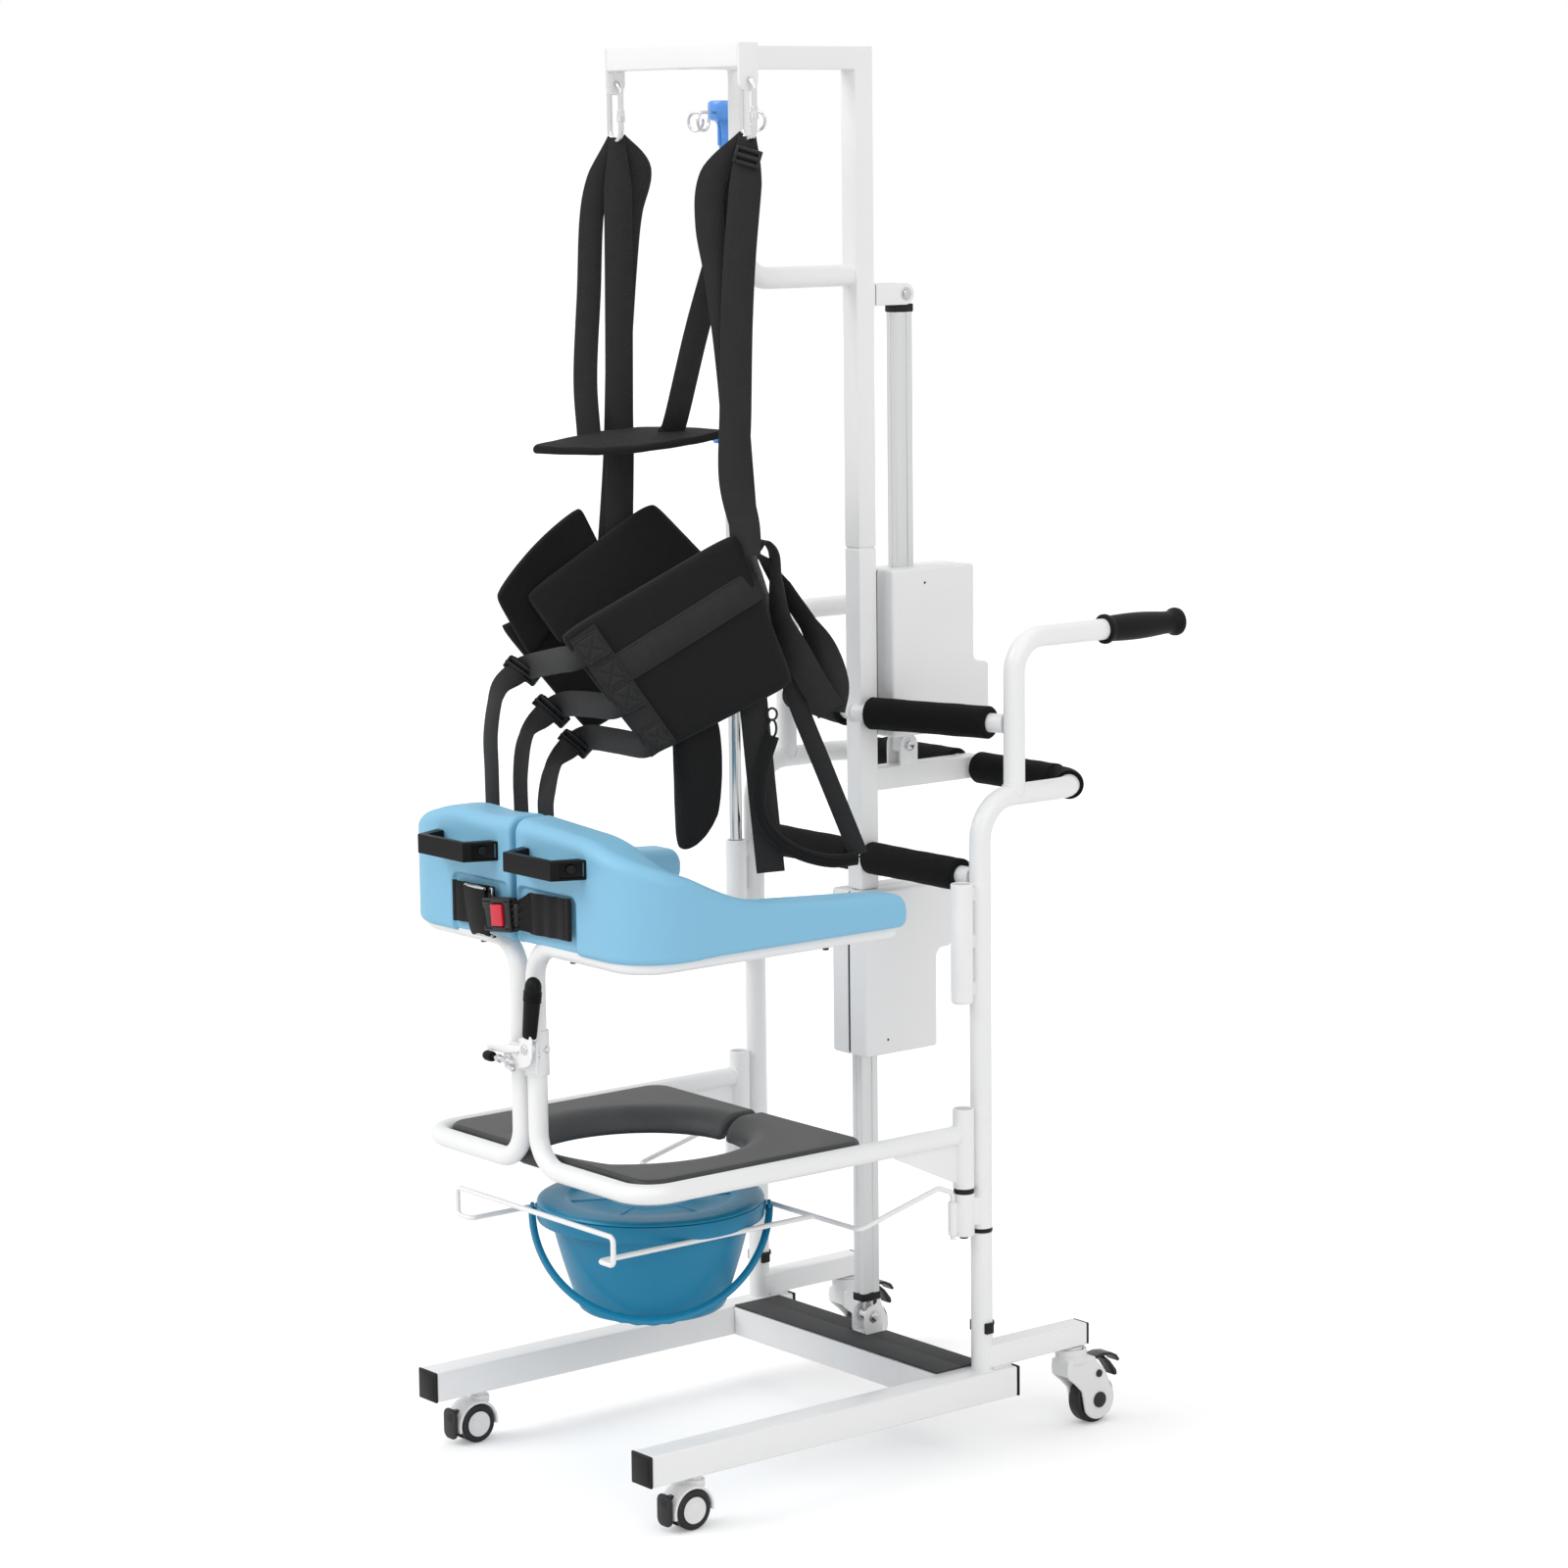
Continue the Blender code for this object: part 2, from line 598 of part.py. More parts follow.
for side_name, side in SIDES.items():
    x = side * LEG_X
    name = f"front_{side_name}"
    web = FRONT_WEB / 2
    tyre = web + FIT * 2
    rim = tyre + FRONT_WHEEL_WIDTH
    axle = (front_axle_y, FRONT_WHEEL_R)
    neck_top = LEG_UNDERSIDE - FIT
    hood_r = FRONT_WHEEL_R + HOOD_GAP
    hood_z = FRONT_WHEEL_R + hood_r
    arm = plate(
        arc(axle, FRONT_WHEEL_R * 0.5, 180, 330, 4)
        + [(FRONT_STEM_Y + web, hood_z + LAP), (front_pedal_y + FIT, hood_z + LAP)]
        + [(front_pedal_y + FIT, front_pedal_z - web)],
        FRONT_WEB,
        side_frame(x),
    )
    hood = plate(
        arc(axle, hood_r + HOOD_THICKNESS, -8, 116, 5) + arc(axle, hood_r, 116, -8, 5),
        2 * rim,
        side_frame(x),
    )
    fork = welded(
        arm,
        hood,
        rod((x, FRONT_STEM_Y, hood_z), (x, FRONT_STEM_Y, hood_z + web), web * 2.8, 8),
        rod((x, FRONT_STEM_Y, hood_z), (x, FRONT_STEM_Y, neck_top), web * 1.3, 8),
    )
    bore = rod((x - 2 * web, *axle), (x + 2 * web, *axle), AXLE_R + FIT)
    place(cut(fork, bore), f"{name}_caster_fork", BLACK, f"{name}_swivel")

    chamfer = FRONT_WHEEL_WIDTH / 4
    half_profile = [
        (0, rim),
        (FRONT_WHEEL_R - chamfer, rim),
        (FRONT_WHEEL_R, rim - chamfer),
        (FRONT_WHEEL_R, tyre),
        (AXLE_R, tyre),
    ]
    profile = half_profile + [(r, -h) for r, h in reversed(half_profile)]
    lay = Matrix.Translation((x, *axle)) @ Matrix.Rotation(math.pi / 2, 4, "Y")
    wheels = turned(profile, lay)
    place(wheels, f"{name}_wheels", RUBBER, f"{name}_axle")

    tip = front_axle_y - FRONT_WHEEL_R - 2 * PEDAL_THICKNESS / 3
    paddle = plate(
        [(tip, front_pedal_z + PEDAL_THICKNESS / 2), (tip - PEDAL_THICKNESS, front_pedal_z)]
        + [(tip - 1.6 * PEDAL_THICKNESS, FRONT_WHEEL_R * 0.5)]
        + [(tip - PEDAL_THICKNESS, FRONT_WHEEL_R * 0.4), (tip, FRONT_WHEEL_R * 0.9)],
        2 * rim * 0.9,
        side_frame(x),
    )
    stalk = box(
        (x - web * 0.9, tip - LAP, front_pedal_z - PEDAL_THICKNESS / 2),
        (x + web * 0.9, front_hinge_y, front_pedal_z + PEDAL_THICKNESS / 2),
    )
    barrel = rod(
        (x - web, front_hinge_y, front_pedal_z), (x + web, front_hinge_y, front_pedal_z), front_barrel_r, 8
    )
    place(welded(paddle, stalk, barrel), f"{name}_brake_pedal", BLACK, f"{name}_brake")

    name = f"rear_{side_name}"
    inner = REAR_WHEEL_WIDTH / 2 + FIT * 2
    outer = inner + REAR_CHEEK
    axle = (rear_axle_y, REAR_WHEEL_R)
    crown_low = 2 * REAR_WHEEL_R + REAR_CHEEK
    cheek = (
        arc(axle, REAR_WHEEL_R * 0.8, 200, 380)
        + [(rear_pedal_y, crown_low), (rear_pedal_y, rear_crown_top)]
        + [(REAR_STEM_Y - SWIVEL_R * 0.8, rear_crown_top), (REAR_STEM_Y - SWIVEL_R * 0.8, crown_low)]
    )
    fork = plate(cheek, 2 * outer, side_frame(x))
    fork = cut(
        fork,
        box(
            (x - inner, REAR_STEM_Y - SWIVEL_R, -REAR_CHEEK),
            (x + inner, rear_axle_y + REAR_WHEEL_R, crown_low),
        ),
    )
    fork = welded(
        fork,
        rod(
            (x, REAR_STEM_Y, rear_crown_top - REAR_CHEEK),
            (x, REAR_STEM_Y, stub_bottom - FIT),
            SWIVEL_R,
        ),
        rod((x - outer - LAP, *axle), (x + outer + LAP, *axle), AXLE_R),
    )
    place(fork, f"{name}_caster_fork", WHITE, f"{name}_swivel")

    half = REAR_WHEEL_WIDTH / 2
    bore_r = AXLE_R + FIT
    crown = half / 3
    profile = [
        (bore_r, half),
        (REAR_WHEEL_R - crown, half),
        (REAR_WHEEL_R, half - crown),
        (REAR_WHEEL_R, crown - half),
        (REAR_WHEEL_R - crown, -half),
        (bore_r, -half),
    ]
    lay = Matrix.Translation((x, *axle)) @ Matrix.Rotation(math.pi / 2, 4, "Y")
    place(turned(profile, lay), f"{name}_wheel", RUBBER, f"{name}_axle")

    reach = rear_axle_y + REAR_WHEEL_R + PEDAL_THICKNESS
    top = rear_pedal_z + PEDAL_THICKNESS / 2
    pedal = plate(
        arc((rear_hinge_y, rear_pedal_z), PEDAL_THICKNESS / 2, 270, 90, 4)
        + [(reach, top), (reach + PEDAL_THICKNESS, top - PEDAL_THICKNESS)]
        + [(reach + PEDAL_THICKNESS, crown_low), (reach, crown_low)]
        + [(reach - PEDAL_THICKNESS, top - PEDAL_THICKNESS)],
        2 * inner,
        side_frame(x),
    )
    place(pedal, f"{name}_brake_pedal", BLACK, f"{name}_brake")


# Carriage: bent side frames with push handles, infusion sockets and hinge posts

for side_name, side in SIDES.items():
    x = side * LEG_X
    cross_end = side * (COLUMN_SIZE / 2 + FIT)
    frame = tube(
        rounded(
            [(x, POST_Y, carriage_bottom), (x, POST_Y, SIDE_TOP), (x, REAR_BAR_Y, SIDE_TOP)]
            + [(cross_end, REAR_BAR_Y, SIDE_TOP)],
            SIDE_BEND,
        ),
        TUBE_R,
    )
    handle = tube(
        rounded(
            [(x, RISER_Y, SIDE_TOP), (x, RISER_Y, HANDLE_Z)]
            + [(x, GRIP_END - GRIP_CLOSED_END - FIT, HANDLE_Z)],
            HANDLE_BEND,
        ),
        TUBE_R,
    )
    socket = rod((x, SOCKET_Y, SOCKET_BOTTOM), (x, SOCKET_Y, SOCKET_TOP), SOCKET_R)
    frame = welded(frame, handle, socket)
    tab = SOCKET_R / 2
    for share in (0.1, 0.5, 0.9):
        z = SOCKET_BOTTOM + share * (SOCKET_TOP - SOCKET_BOTTOM)
        frame = welded(
            frame, box((x - tab / 2, SOCKET_Y, z - tab), (x + tab / 2, POST_Y, z + tab))
        )
    pin_top = BARREL_TOP - HINGE_PIN_R
    washer_top = LOWER_BARREL_TOP + WASHER
    frame = welded(
        frame,
        rod((x, HINGE_Y, LOWER_BARREL_BOTTOM), (x, HINGE_Y, LOWER_BARREL_TOP), TUBE_R),
        box(
            (x - TUBE_R * 0.8, HINGE_Y, carriage_bottom + WASHER),
            (x + TUBE_R * 0.8, POST_Y, LOWER_BARREL_TOP - WASHER),
        ),
        rod((x, HINGE_Y, LOWER_BARREL_TOP - LAP), (x, HINGE_Y, washer_top), TUBE_R * 0.96),
        rod((x, HINGE_Y, washer_top - LAP), (x, HINGE_Y, pin_top), HINGE_PIN_R),
        rod(
            (x, rack_pin_y, LOWER_BARREL_BOTTOM + WIRE_R),
            (x, rack_pin_y, LOWER_BARREL_TOP - WIRE_R * 3),
            WIRE_R + 3 * LAP,
        ),
    )
    guide_top = POST_TOP + GUIDE_LENGTH + GUIDE_R
    frame = cut(
        frame,
        rod((x, POST_Y, carriage_bottom - LAP), (x, POST_Y, guide_top), GUIDE_R + FIT),
        rod((x, rack_pin_y, LOWER_BARREL_BOTTOM - LAP), (x, rack_pin_y, LOWER_BARREL_TOP), WIRE_R + FIT),
    )
    if side < 0:
        pole_seat = SOCKET_BOTTOM + SOCKET_R / 3
        frame = cut(frame, rod((x, SOCKET_Y, pole_seat), (x, SOCKET_Y, SOCKET_TOP + LAP), POLE_R + FIT))
    place(frame, f"side_frame_{side_name}", WHITE, "carriage")

    grip_length = GRIP_END - GRIP_START
    lip = GRIP_CLOSED_END / 3
    profile = [
        (0, 0),
        (GRIP_R + lip, 0),
        (GRIP_R + lip, GRIP_CLOSED_END),
        (GRIP_R - lip / 2, GRIP_CLOSED_END * 1.6),
        (GRIP_R, grip_length / 2),
        (GRIP_R - lip / 2, grip_length - GRIP_CLOSED_END * 2.4),
        (GRIP_R + lip / 2, grip_length - GRIP_CLOSED_END),
        (GRIP_R - lip, grip_length),
        (0, grip_length),
    ]
    grip = cut(
        turned(profile, sides=12),
        rod((0, 0, -LAP), (0, 0, grip_length - GRIP_CLOSED_END), TUBE_R + FIT, 16),
    )
    lie = Matrix.Translation((x, GRIP_START, HANDLE_Z)) @ Matrix.Rotation(-math.pi / 2, 4, "X")
    grip.data.transform(lie)
    place(grip, f"handle_grip_{side_name}", RUBBER, "carriage")


# Column with its pad bars, the actuator shelf and the foam sleeves

half = COLUMN_SIZE / 2
bore_half = half - COLUMN_WALL
column = box((-half, POST_Y - half, COLUMN_BOTTOM), (half, POST_Y + half, COLUMN_TOP), COLUMN_WALL)
shelf_back = REAR_BAR_Y + TUBE_R
shelf_low, shelf_high = SIDE_TOP - SHELF_HEIGHT / 2, SIDE_TOP + SHELF_HEIGHT / 2
shelf = box((-half, POST_Y + bore_half + LAP / 2, shelf_low), (half, shelf_back, shelf_high))
column = welded(column, shelf, clevis(UPPER_AXIS_Y, shelf_high - LAP, SHELF_BOLT_Z))
for side_name, side in SIDES.items():
    lower_from = Vector((side * (bore_half + LAP / 2), POST_Y, LOWER_BAR_Z))
    lower_to = Vector((side * (LEG_X - TUBE_R - FIT), POST_Y, LOWER_BAR_Z))
    upper_from = Vector((0, POST_Y - UPPER_BAR_LEAD, UPPER_BAR_Z))
    upper_axis = Vector((side * LEG_X, RISER_Y, UPPER_BAR_Z))
    along = (upper_axis - upper_from).normalized()
    upper_to = upper_axis - along * (TUBE_R + FIT)
    column = welded(column, rod(lower_from, lower_to, PAD_BAR_R), rod(upper_from, upper_to, PAD_BAR_R))
    bare = TUBE_R + SLEEVE_R
    tilt_room = half + FIT * 4 + SLEEVE_R * abs(along.y)
    rear_bar = Vector((0, REAR_BAR_Y, SIDE_TOP))
    spans = {
        "lower": (
            Vector((side * (half + 4 * FIT), POST_Y, LOWER_BAR_Z)),
            lower_to - X_AXIS * side * SLEEVE_R,
            PAD_BAR_R,
        ),
        "upper": (upper_from + along * tilt_room / abs(along.x), upper_axis - along * bare, PAD_BAR_R),
        "rear": (
            rear_bar + X_AXIS * side * (half + SLEEVE_R / 3),
            rear_bar + X_AXIS * side * (LEG_X - SIDE_BEND - 3 * LAP),
            TUBE_R,
        ),
    }
    for level, (start, end, bar_r) in spans.items():
        reach = (end - start).normalized() * LAP
        bore_sides = 16 if level == "rear" else 12
        bore = rod(start - reach, end + reach, bar_r + FIT, bore_sides)
        sleeve = cut(rod(start, end, SLEEVE_R, 16), bore)
        place(sleeve, f"{level}_foam_{side_name}", FOAM, "carriage")
channel = box(
    (-bore_half, POST_Y - bore_half, COLUMN_BOTTOM - LAP), (bore_half, POST_Y + bore_half, COLUMN_TOP + LAP)
)
place(cut(column, channel), "column", WHITE, "carriage")


# Lifting actuators: motor covers, extruded profiles and the black end of the upper motor

def motor_cover(axis_y, front, bottom, motor_at_top):
    """A flat sided cover with a deeper end that holds the motor."""
    low, high = bottom, bottom + COVER_HEIGHT
    y0, y1, y2 = axis_y - front, axis_y + COVER_BACK, axis_y + COVER_BACK + MOTOR_STEP
    slope = MOTOR_STEP / 2
    if motor_at_top:
        turn = high - MOTOR_HEIGHT
        outline = [(y0, low), (y1, low), (y1, turn - slope), (y2, turn), (y2, high), (y0, high)]
    else:
        turn = low + MOTOR_HEIGHT
        outline = [(y0, low), (y2, low), (y2, turn), (y1, turn + slope), (y1, high), (y0, high)]
    cover = plate(outline, COVER_WIDTH, side_frame(0))
    bevel = cover.modifiers.new("edges", "BEVEL")
    bevel.width = EDGE_ROUND
    bevel.segments = 2
    return evaluated_mesh(cover)


def extrusion(axis_y, low, high):
    return box(
        (-PROFILE_WIDTH / 2, axis_y - PROFILE_DEPTH / 2, low),
        (PROFILE_WIDTH / 2, axis_y + PROFILE_DEPTH / 2, high),
        EDGE_ROUND,
    )


def end_band(axis_y, low):
    w, d = PROFILE_WIDTH / 2 + BAND_LIP, PROFILE_DEPTH / 2 + BAND_LIP
    return box((-w, axis_y - d, low), (w, axis_y + d, low + BAND_HEIGHT), EDGE_ROUND)


place(
    motor_cover(POST_Y, LOWER_COVER_FRONT, LOWER_COVER_BOTTOM, True), "lower_motor_cover", WHITE, "carriage"
)
lower_profile = welded(
    extrusion(POST_Y, LOWER_BAND_BOTTOM + BAND_HEIGHT / 2, LOWER_COVER_BOTTOM - FIT),
    end_band(POST_Y, LOWER_BAND_BOTTOM),
)
lower_profile = cut(
    lower_profile,
    rod((0, POST_Y, LOWER_BAND_BOTTOM - LAP), (0, POST_Y, LOWER_COVER_BOTTOM - 2 * ROD_R), ROD_R + FIT),
)
place(lower_profile, "lower_actuator_profile", ALUMINIUM, "carriage")

upper_cover = motor_cover(UPPER_AXIS_Y, UPPER_COVER_FRONT, UPPER_COVER_BOTTOM, False)
eye_post = box(
    (-EYE_WIDTH / 2, UPPER_AXIS_Y - EYE_R, SHELF_BOLT_Z - EYE_R),
    (EYE_WIDTH / 2, UPPER_AXIS_Y + EYE_R, UPPER_COVER_BOTTOM + EDGE_ROUND * 2),
)
upper_cover = cut(welded(upper_cover, eye_post), eye_bolt_hole(UPPER_AXIS_Y, SHELF_BOLT_Z))
place(upper_cover, "upper_motor_cover", WHITE, "carriage")

motor_back = UPPER_AXIS_Y + COVER_BACK + MOTOR_STEP + FIT
motor_z = UPPER_COVER_BOTTOM + MOTOR_HEIGHT * 0.4
motor_cap = rod(
    (0, motor_back, motor_z),
    (0, motor_back + MOTOR_STEP / 2, motor_z),
    COVER_WIDTH * 0.3,
    16,
    COVER_WIDTH * 0.22,
)
place(motor_cap, "motor_end_cap", BLACK, "carriage")

upper_bottom = UPPER_COVER_BOTTOM + COVER_HEIGHT + FIT
upper_profile = welded(
    extrusion(UPPER_AXIS_Y, upper_bottom, UPPER_PROFILE_TOP + BAND_HEIGHT / 2),
    end_band(UPPER_AXIS_Y, UPPER_PROFILE_TOP),
)
profile_end = UPPER_PROFILE_TOP + BAND_HEIGHT
upper_profile = cut(
    upper_profile,
    rod((0, UPPER_AXIS_Y, upper_bottom + ROD_R), (0, UPPER_AXIS_Y, profile_end + LAP), ROD_R + FIT),
)
place(upper_profile, "upper_actuator_profile", ALUMINIUM, "carriage")


# Mast: square tube with its inner guide, the boom, its hanging ears and the grab handle

mast_low = COLUMN_TOP + FIT
arm_low, arm_high = ARM_Z - half, ARM_Z + half
guide_half = bore_half - FIT
mast = box((-half, POST_Y - half, mast_low), (half, POST_Y + half, arm_high), COLUMN_WALL)
mast = welded(
    mast,
    box(
        (-guide_half, POST_Y - guide_half, MAST_INNER_BOTTOM),
        (guide_half, POST_Y + guide_half, mast_low + LAP),
    ),
    box((-half + LAP / 4, BOOM_BAR_Y, arm_low), (half - LAP / 4, POST_Y, arm_high - LAP / 4), COLUMN_WALL),
    box((-BOOM_HALF, BOOM_BAR_Y - half, arm_low), (BOOM_HALF, BOOM_BAR_Y + half, arm_high), COLUMN_WALL),
    tube(
        rounded([(0, GRAB_Y, ARM_Z), (0, GRAB_Y, GRAB_Z), (0, POST_Y, GRAB_Z)], GRAB_BEND, 4), TUBE_R
    ),
)
bracket_half = EYE_WIDTH / 2 + 2 * FIT + EAR_THICKNESS
bracket = box(
    (-bracket_half, POST_Y + bore_half, MAST_BOLT_Z - EYE_R * 1.4),
    (bracket_half, UPPER_AXIS_Y, MAST_BOLT_Z + EYE_R * 1.4),
)
mouth = box(
    (EAR_THICKNESS - bracket_half, POST_Y + half + EAR_THICKNESS, MAST_BOLT_Z - EYE_R * 2),
    (bracket_half - EAR_THICKNESS, UPPER_AXIS_Y + EAR_DEPTH, MAST_BOLT_Z + EYE_R * 2),
)
mast = welded(
    mast,
    cut(bracket, mouth),
    clevis(UPPER_AXIS_Y, MAST_BOLT_Z - EYE_R * 1.4, MAST_BOLT_Z),
)
for side in SIDES.values():
    ear_low = arm_low - EAR_DROP
    ear = plate(
        arc((BOOM_BAR_Y, ear_low + half), half, 180, 360)
        + [(BOOM_BAR_Y + half, arm_high), (BOOM_BAR_Y - half, arm_high)],
        EAR_THICKNESS,
        side_frame(side * boom_end),
    )
    hole = rod(
        (side * (boom_end - EAR_THICKNESS), BOOM_BAR_Y, hang_z),
        (side * (boom_end + EAR_THICKNESS), BOOM_BAR_Y, hang_z),
        HANG_HOLE_R,
        8,
    )
    mast = welded(mast, cut(ear, hole))
place(mast, "mast_boom", WHITE, "mast")

upper_rod = welded(
    rod((-EYE_WIDTH / 2, UPPER_AXIS_Y, MAST_BOLT_Z), (EYE_WIDTH / 2, UPPER_AXIS_Y, MAST_BOLT_Z), EYE_R),
    rod((0, UPPER_AXIS_Y, upper_bottom + 2 * ROD_R), (0, UPPER_AXIS_Y, MAST_BOLT_Z), ROD_R),
)
place(cut(upper_rod, eye_bolt_hole(UPPER_AXIS_Y, MAST_BOLT_Z)), "upper_lift_rod", STEEL, "mast")


# Sling: snap rings on the ears and the sewn harness that hangs from them

for side_name, side in SIDES.items():
    x = side * boom_end
    ring_low = hang_z - RING_LENGTH + RING_HALF_WIDTH
    loop = arc((x, hang_z - RING_HALF_WIDTH), RING_HALF_WIDTH, 0, 180)
    loop += arc((x, ring_low), RING_HALF_WIDTH, 180, 360)
    ring = tube([(px, BOOM_BAR_Y, pz) for px, pz in loop], RING_WIRE_R, 6, closed=True)
    place(ring, f"snap_ring_{side_name}", STEEL, "sling")

across = Vector((math.cos(VEST_TURN), math.sin(VEST_TURN), 0))
toward = Vector((math.sin(VEST_TURN), -math.cos(VEST_TURN), 0))
vest_rise = VEST_HIGH - VEST_LOW


def sling_at(along, out, rise):
    """A point of the sling: along and out from its middle in vest halves, up in vest heights."""
    level = Vector((0, VEST_Y, VEST_LOW + rise * vest_rise))
    return level + (across * along + toward * out) * VEST_HALF


def loft(rings):
    """A closed solid through rings of points."""
    bm = bmesh.new()
    rows = [[bm.verts.new(p) for p in ring] for ring in rings]
    for row, after in zip(rows, rows[1:]):
        for i in range(len(row)):
            bm.faces.new((row[i - 1], row[i], after[i], after[i - 1]))
    bm.faces.new(rows[0])
    bm.faces.new(rows[-1])
    return solid(bm)


def panel(*corners):
    """A flat padded panel between four corners."""
    corners = [sling_at(*corner) for corner in corners]
    face = (corners[2] - corners[0]).cross(corners[3] - corners[1]).normalized() * VEST_THICKNESS / 2
    return loft([[p - face for p in corners], [p + face for p in corners]])


def strap(route, width):
    """A flat strap along its route, with its face to the side of the vest."""
    rings = []
    for i, point in enumerate(route):
        heading = route[min(i + 1, len(route) - 1)] - route[max(i - 1, 0)]
        edge = heading.cross(toward).normalized() * width / 2
        flat = heading.cross(edge).normalized() * STRAP_THICKNESS / 2
        rings.append([point - edge - flat, point + edge - flat, point + edge + flat, point - edge + flat])
    return loft(rings)


def vest_bend_section(share):
    """A section of the bend behind the body, from the near wall to the far wall."""
    turn = math.pi * share
    skin = (across * math.sin(turn) + toward * math.cos(turn)) * VEST_THICKNESS / 2
    along, out = 0.88 + 0.44 * math.sin(turn), 0.97 * math.cos(turn)
    foot = sling_at(along, out, 0.30 + 0.05 * share)
    top = sling_at(along, out, 0.81 - 0.035 * share + 0.057 * math.sin(turn))
    return [foot - skin, foot + skin, top + skin, top - skin]


def neck_rest_section(share):
    """A section of the lens shaped neck rest, which lies level and dips to its front edge."""
    bow = math.sin(math.pi * (0.04 + 0.92 * share))
    along = -1.83 + 2.34 * share
    sag = 1.40 - 0.07 * (2 * share - 1) ** 2
    rear = sling_at(along, -0.48 - 0.48 * bow, sag)
    front = sling_at(along, -0.48 + 0.48 * bow, sag - 0.05 - 0.035 * bow)
    half = Z_AXIS * NECK_THICKNESS / 2
    return [rear - half, front - half, front + half, rear + half]


harness = welded(
    panel((-1.41, 0.93, 0.50), (0.69, 0.99, 0.979), (1.305, 0.91, 0.29), (-0.38, 1.03, -0.014)),
    loft([vest_bend_section(i / 5) for i in range(6)]),
    panel((-1.81, -0.88, 0.468), (0.93, -0.99, 0.82), (0.93, -0.98, 0.344), (-1.14, -0.95, 0.202)),
    panel((-1.96, -0.80, 0.652), (-0.38, -0.82, 1.064), (0.38, -0.86, 0.734), (-1.43, -0.80, 0.408)),
    panel((-2.35, -0.88, 0.642), (-1.32, -0.91, 1.032), (-0.99, -0.91, 0.805), (-2.06, -0.86, 0.372)),
)
strap_top = hang_z - RING_LENGTH - RING_WIRE_R - FIT
for side in SIDES.values():
    hang = Vector((side * boom_end, BOOM_BAR_Y, strap_top))
    hem = Vector((side * (boom_end - STRAP_WIDTH / 4), BOOM_BAR_Y, STRAP_LOW))
    harness = welded(harness, strap([hang, hem], STRAP_WIDTH))

# The neck rest on its two straps, the three straps of the vest's front and the leg straps
routes = [
    (NECK_STRAP_WIDTH, (-0.80, -1.07, 2.66), (-1.12, -1.11, 2.19), (-1.21, -0.80, 1.375)),
    (NECK_STRAP_WIDTH, (0.82, 0.93, 2.66), (0.47, 0.57, 2.18), (-0.095, -0.29, 1.325)),
    (TAIL_WIDTH, (-1.29, 0.99, 0.486), (-2.04, 0.86, 0.40), (-2.36, 0.38, 0.30), (-2.44, 0.04, -0.20)),
    (TAIL_WIDTH, (-0.80, 1.0, 0.33), (-1.64, 0.91, 0.223), (-1.97, 0.57, 0.103), (-2.08, 0.27, -0.20)),
    (TAIL_WIDTH, (-0.40, 1.01, 0.20), (-1.16, 1.01, 0.089), (-1.43, 0.93, 0.06), (-1.75, 0.57, -0.20)),
    (LEG_STRAP_WIDTH, (0.83, 0.94, 0.35), (0.93, 0.69, -0.206), (1.01, 0.67, -0.56)),
    (LEG_STRAP_WIDTH, (1.20, 0.64, 0.592), (1.30, 0.53, 0.202), (2.07, 0.48, -0.5)),
    (LEG_STRAP_WIDTH, (0.86, 0.95, 0.876), (1.22, 0.76, 0.805), (1.26, 0.67, 0.663), (1.68, 0.57, 0.202)),
    (GROIN_STRAP_WIDTH, (0.105, 1.0, 0.167), (0.133, 0.82, -0.152), (0.152, 0.76, -0.43)),
]
harness = welded(harness, loft([neck_rest_section(i / 6) for i in range(7)]))
for width, *route in routes:
    harness = welded(harness, strap([sling_at(*spot) for spot in route], width))
loop = [(0.95, 0.72, 0.043), (0.895, 0.61, -0.323), (1.07, 0.59, -0.447), (2.04, 0.50, -0.518)]
harness = welded(harness, tube([sling_at(*spot) for spot in loop], PADDED_LOOP_R, 8))
place(harness, "sling_harness", FABRIC, "sling")


# Seat halves: one bent tube from the hinge barrel round to the armrest, and what it carries

def seat_path(side):
    x, inner = side * LEG_X, side * RISER_X
    return (
        [(x, HINGE_Y - HINGE_PIN_R - FIT - LAP, SEAT_Z), (x, SEAT_FRONT_Y, SEAT_Z)]
        + [(inner, SEAT_FRONT_Y, SEAT_Z), (inner, SEAT_FRONT_Y, ARM_TUBE_Z)]
    )


def arm_path(side, end=ARM_TUBE_END):
    x, inner = side * LEG_X, side * RISER_X
    return (
        [(inner, SEAT_FRONT_Y, ARM_TUBE_Z - 3 * SEAT_BEND), (inner, SEAT_FRONT_Y, ARM_TUBE_Z)]
        + [(x, SEAT_FRONT_Y, ARM_TUBE_Z), (x, end, ARM_TUBE_Z)]
    )


back_half = BACK_THICKNESS / 2
back_straight = ARMREST_OUTER - BACK_CORNER
back_turn_r = BACK_CORNER - back_half
back_quarter = back_turn_r * math.pi / 2
back_length = back_straight + back_quarter + ARMREST_END - BACK_Y - BACK_CORNER
crest_drop = BACK_TOP - CREST_SLOPE * back_length - ARMREST_TOP


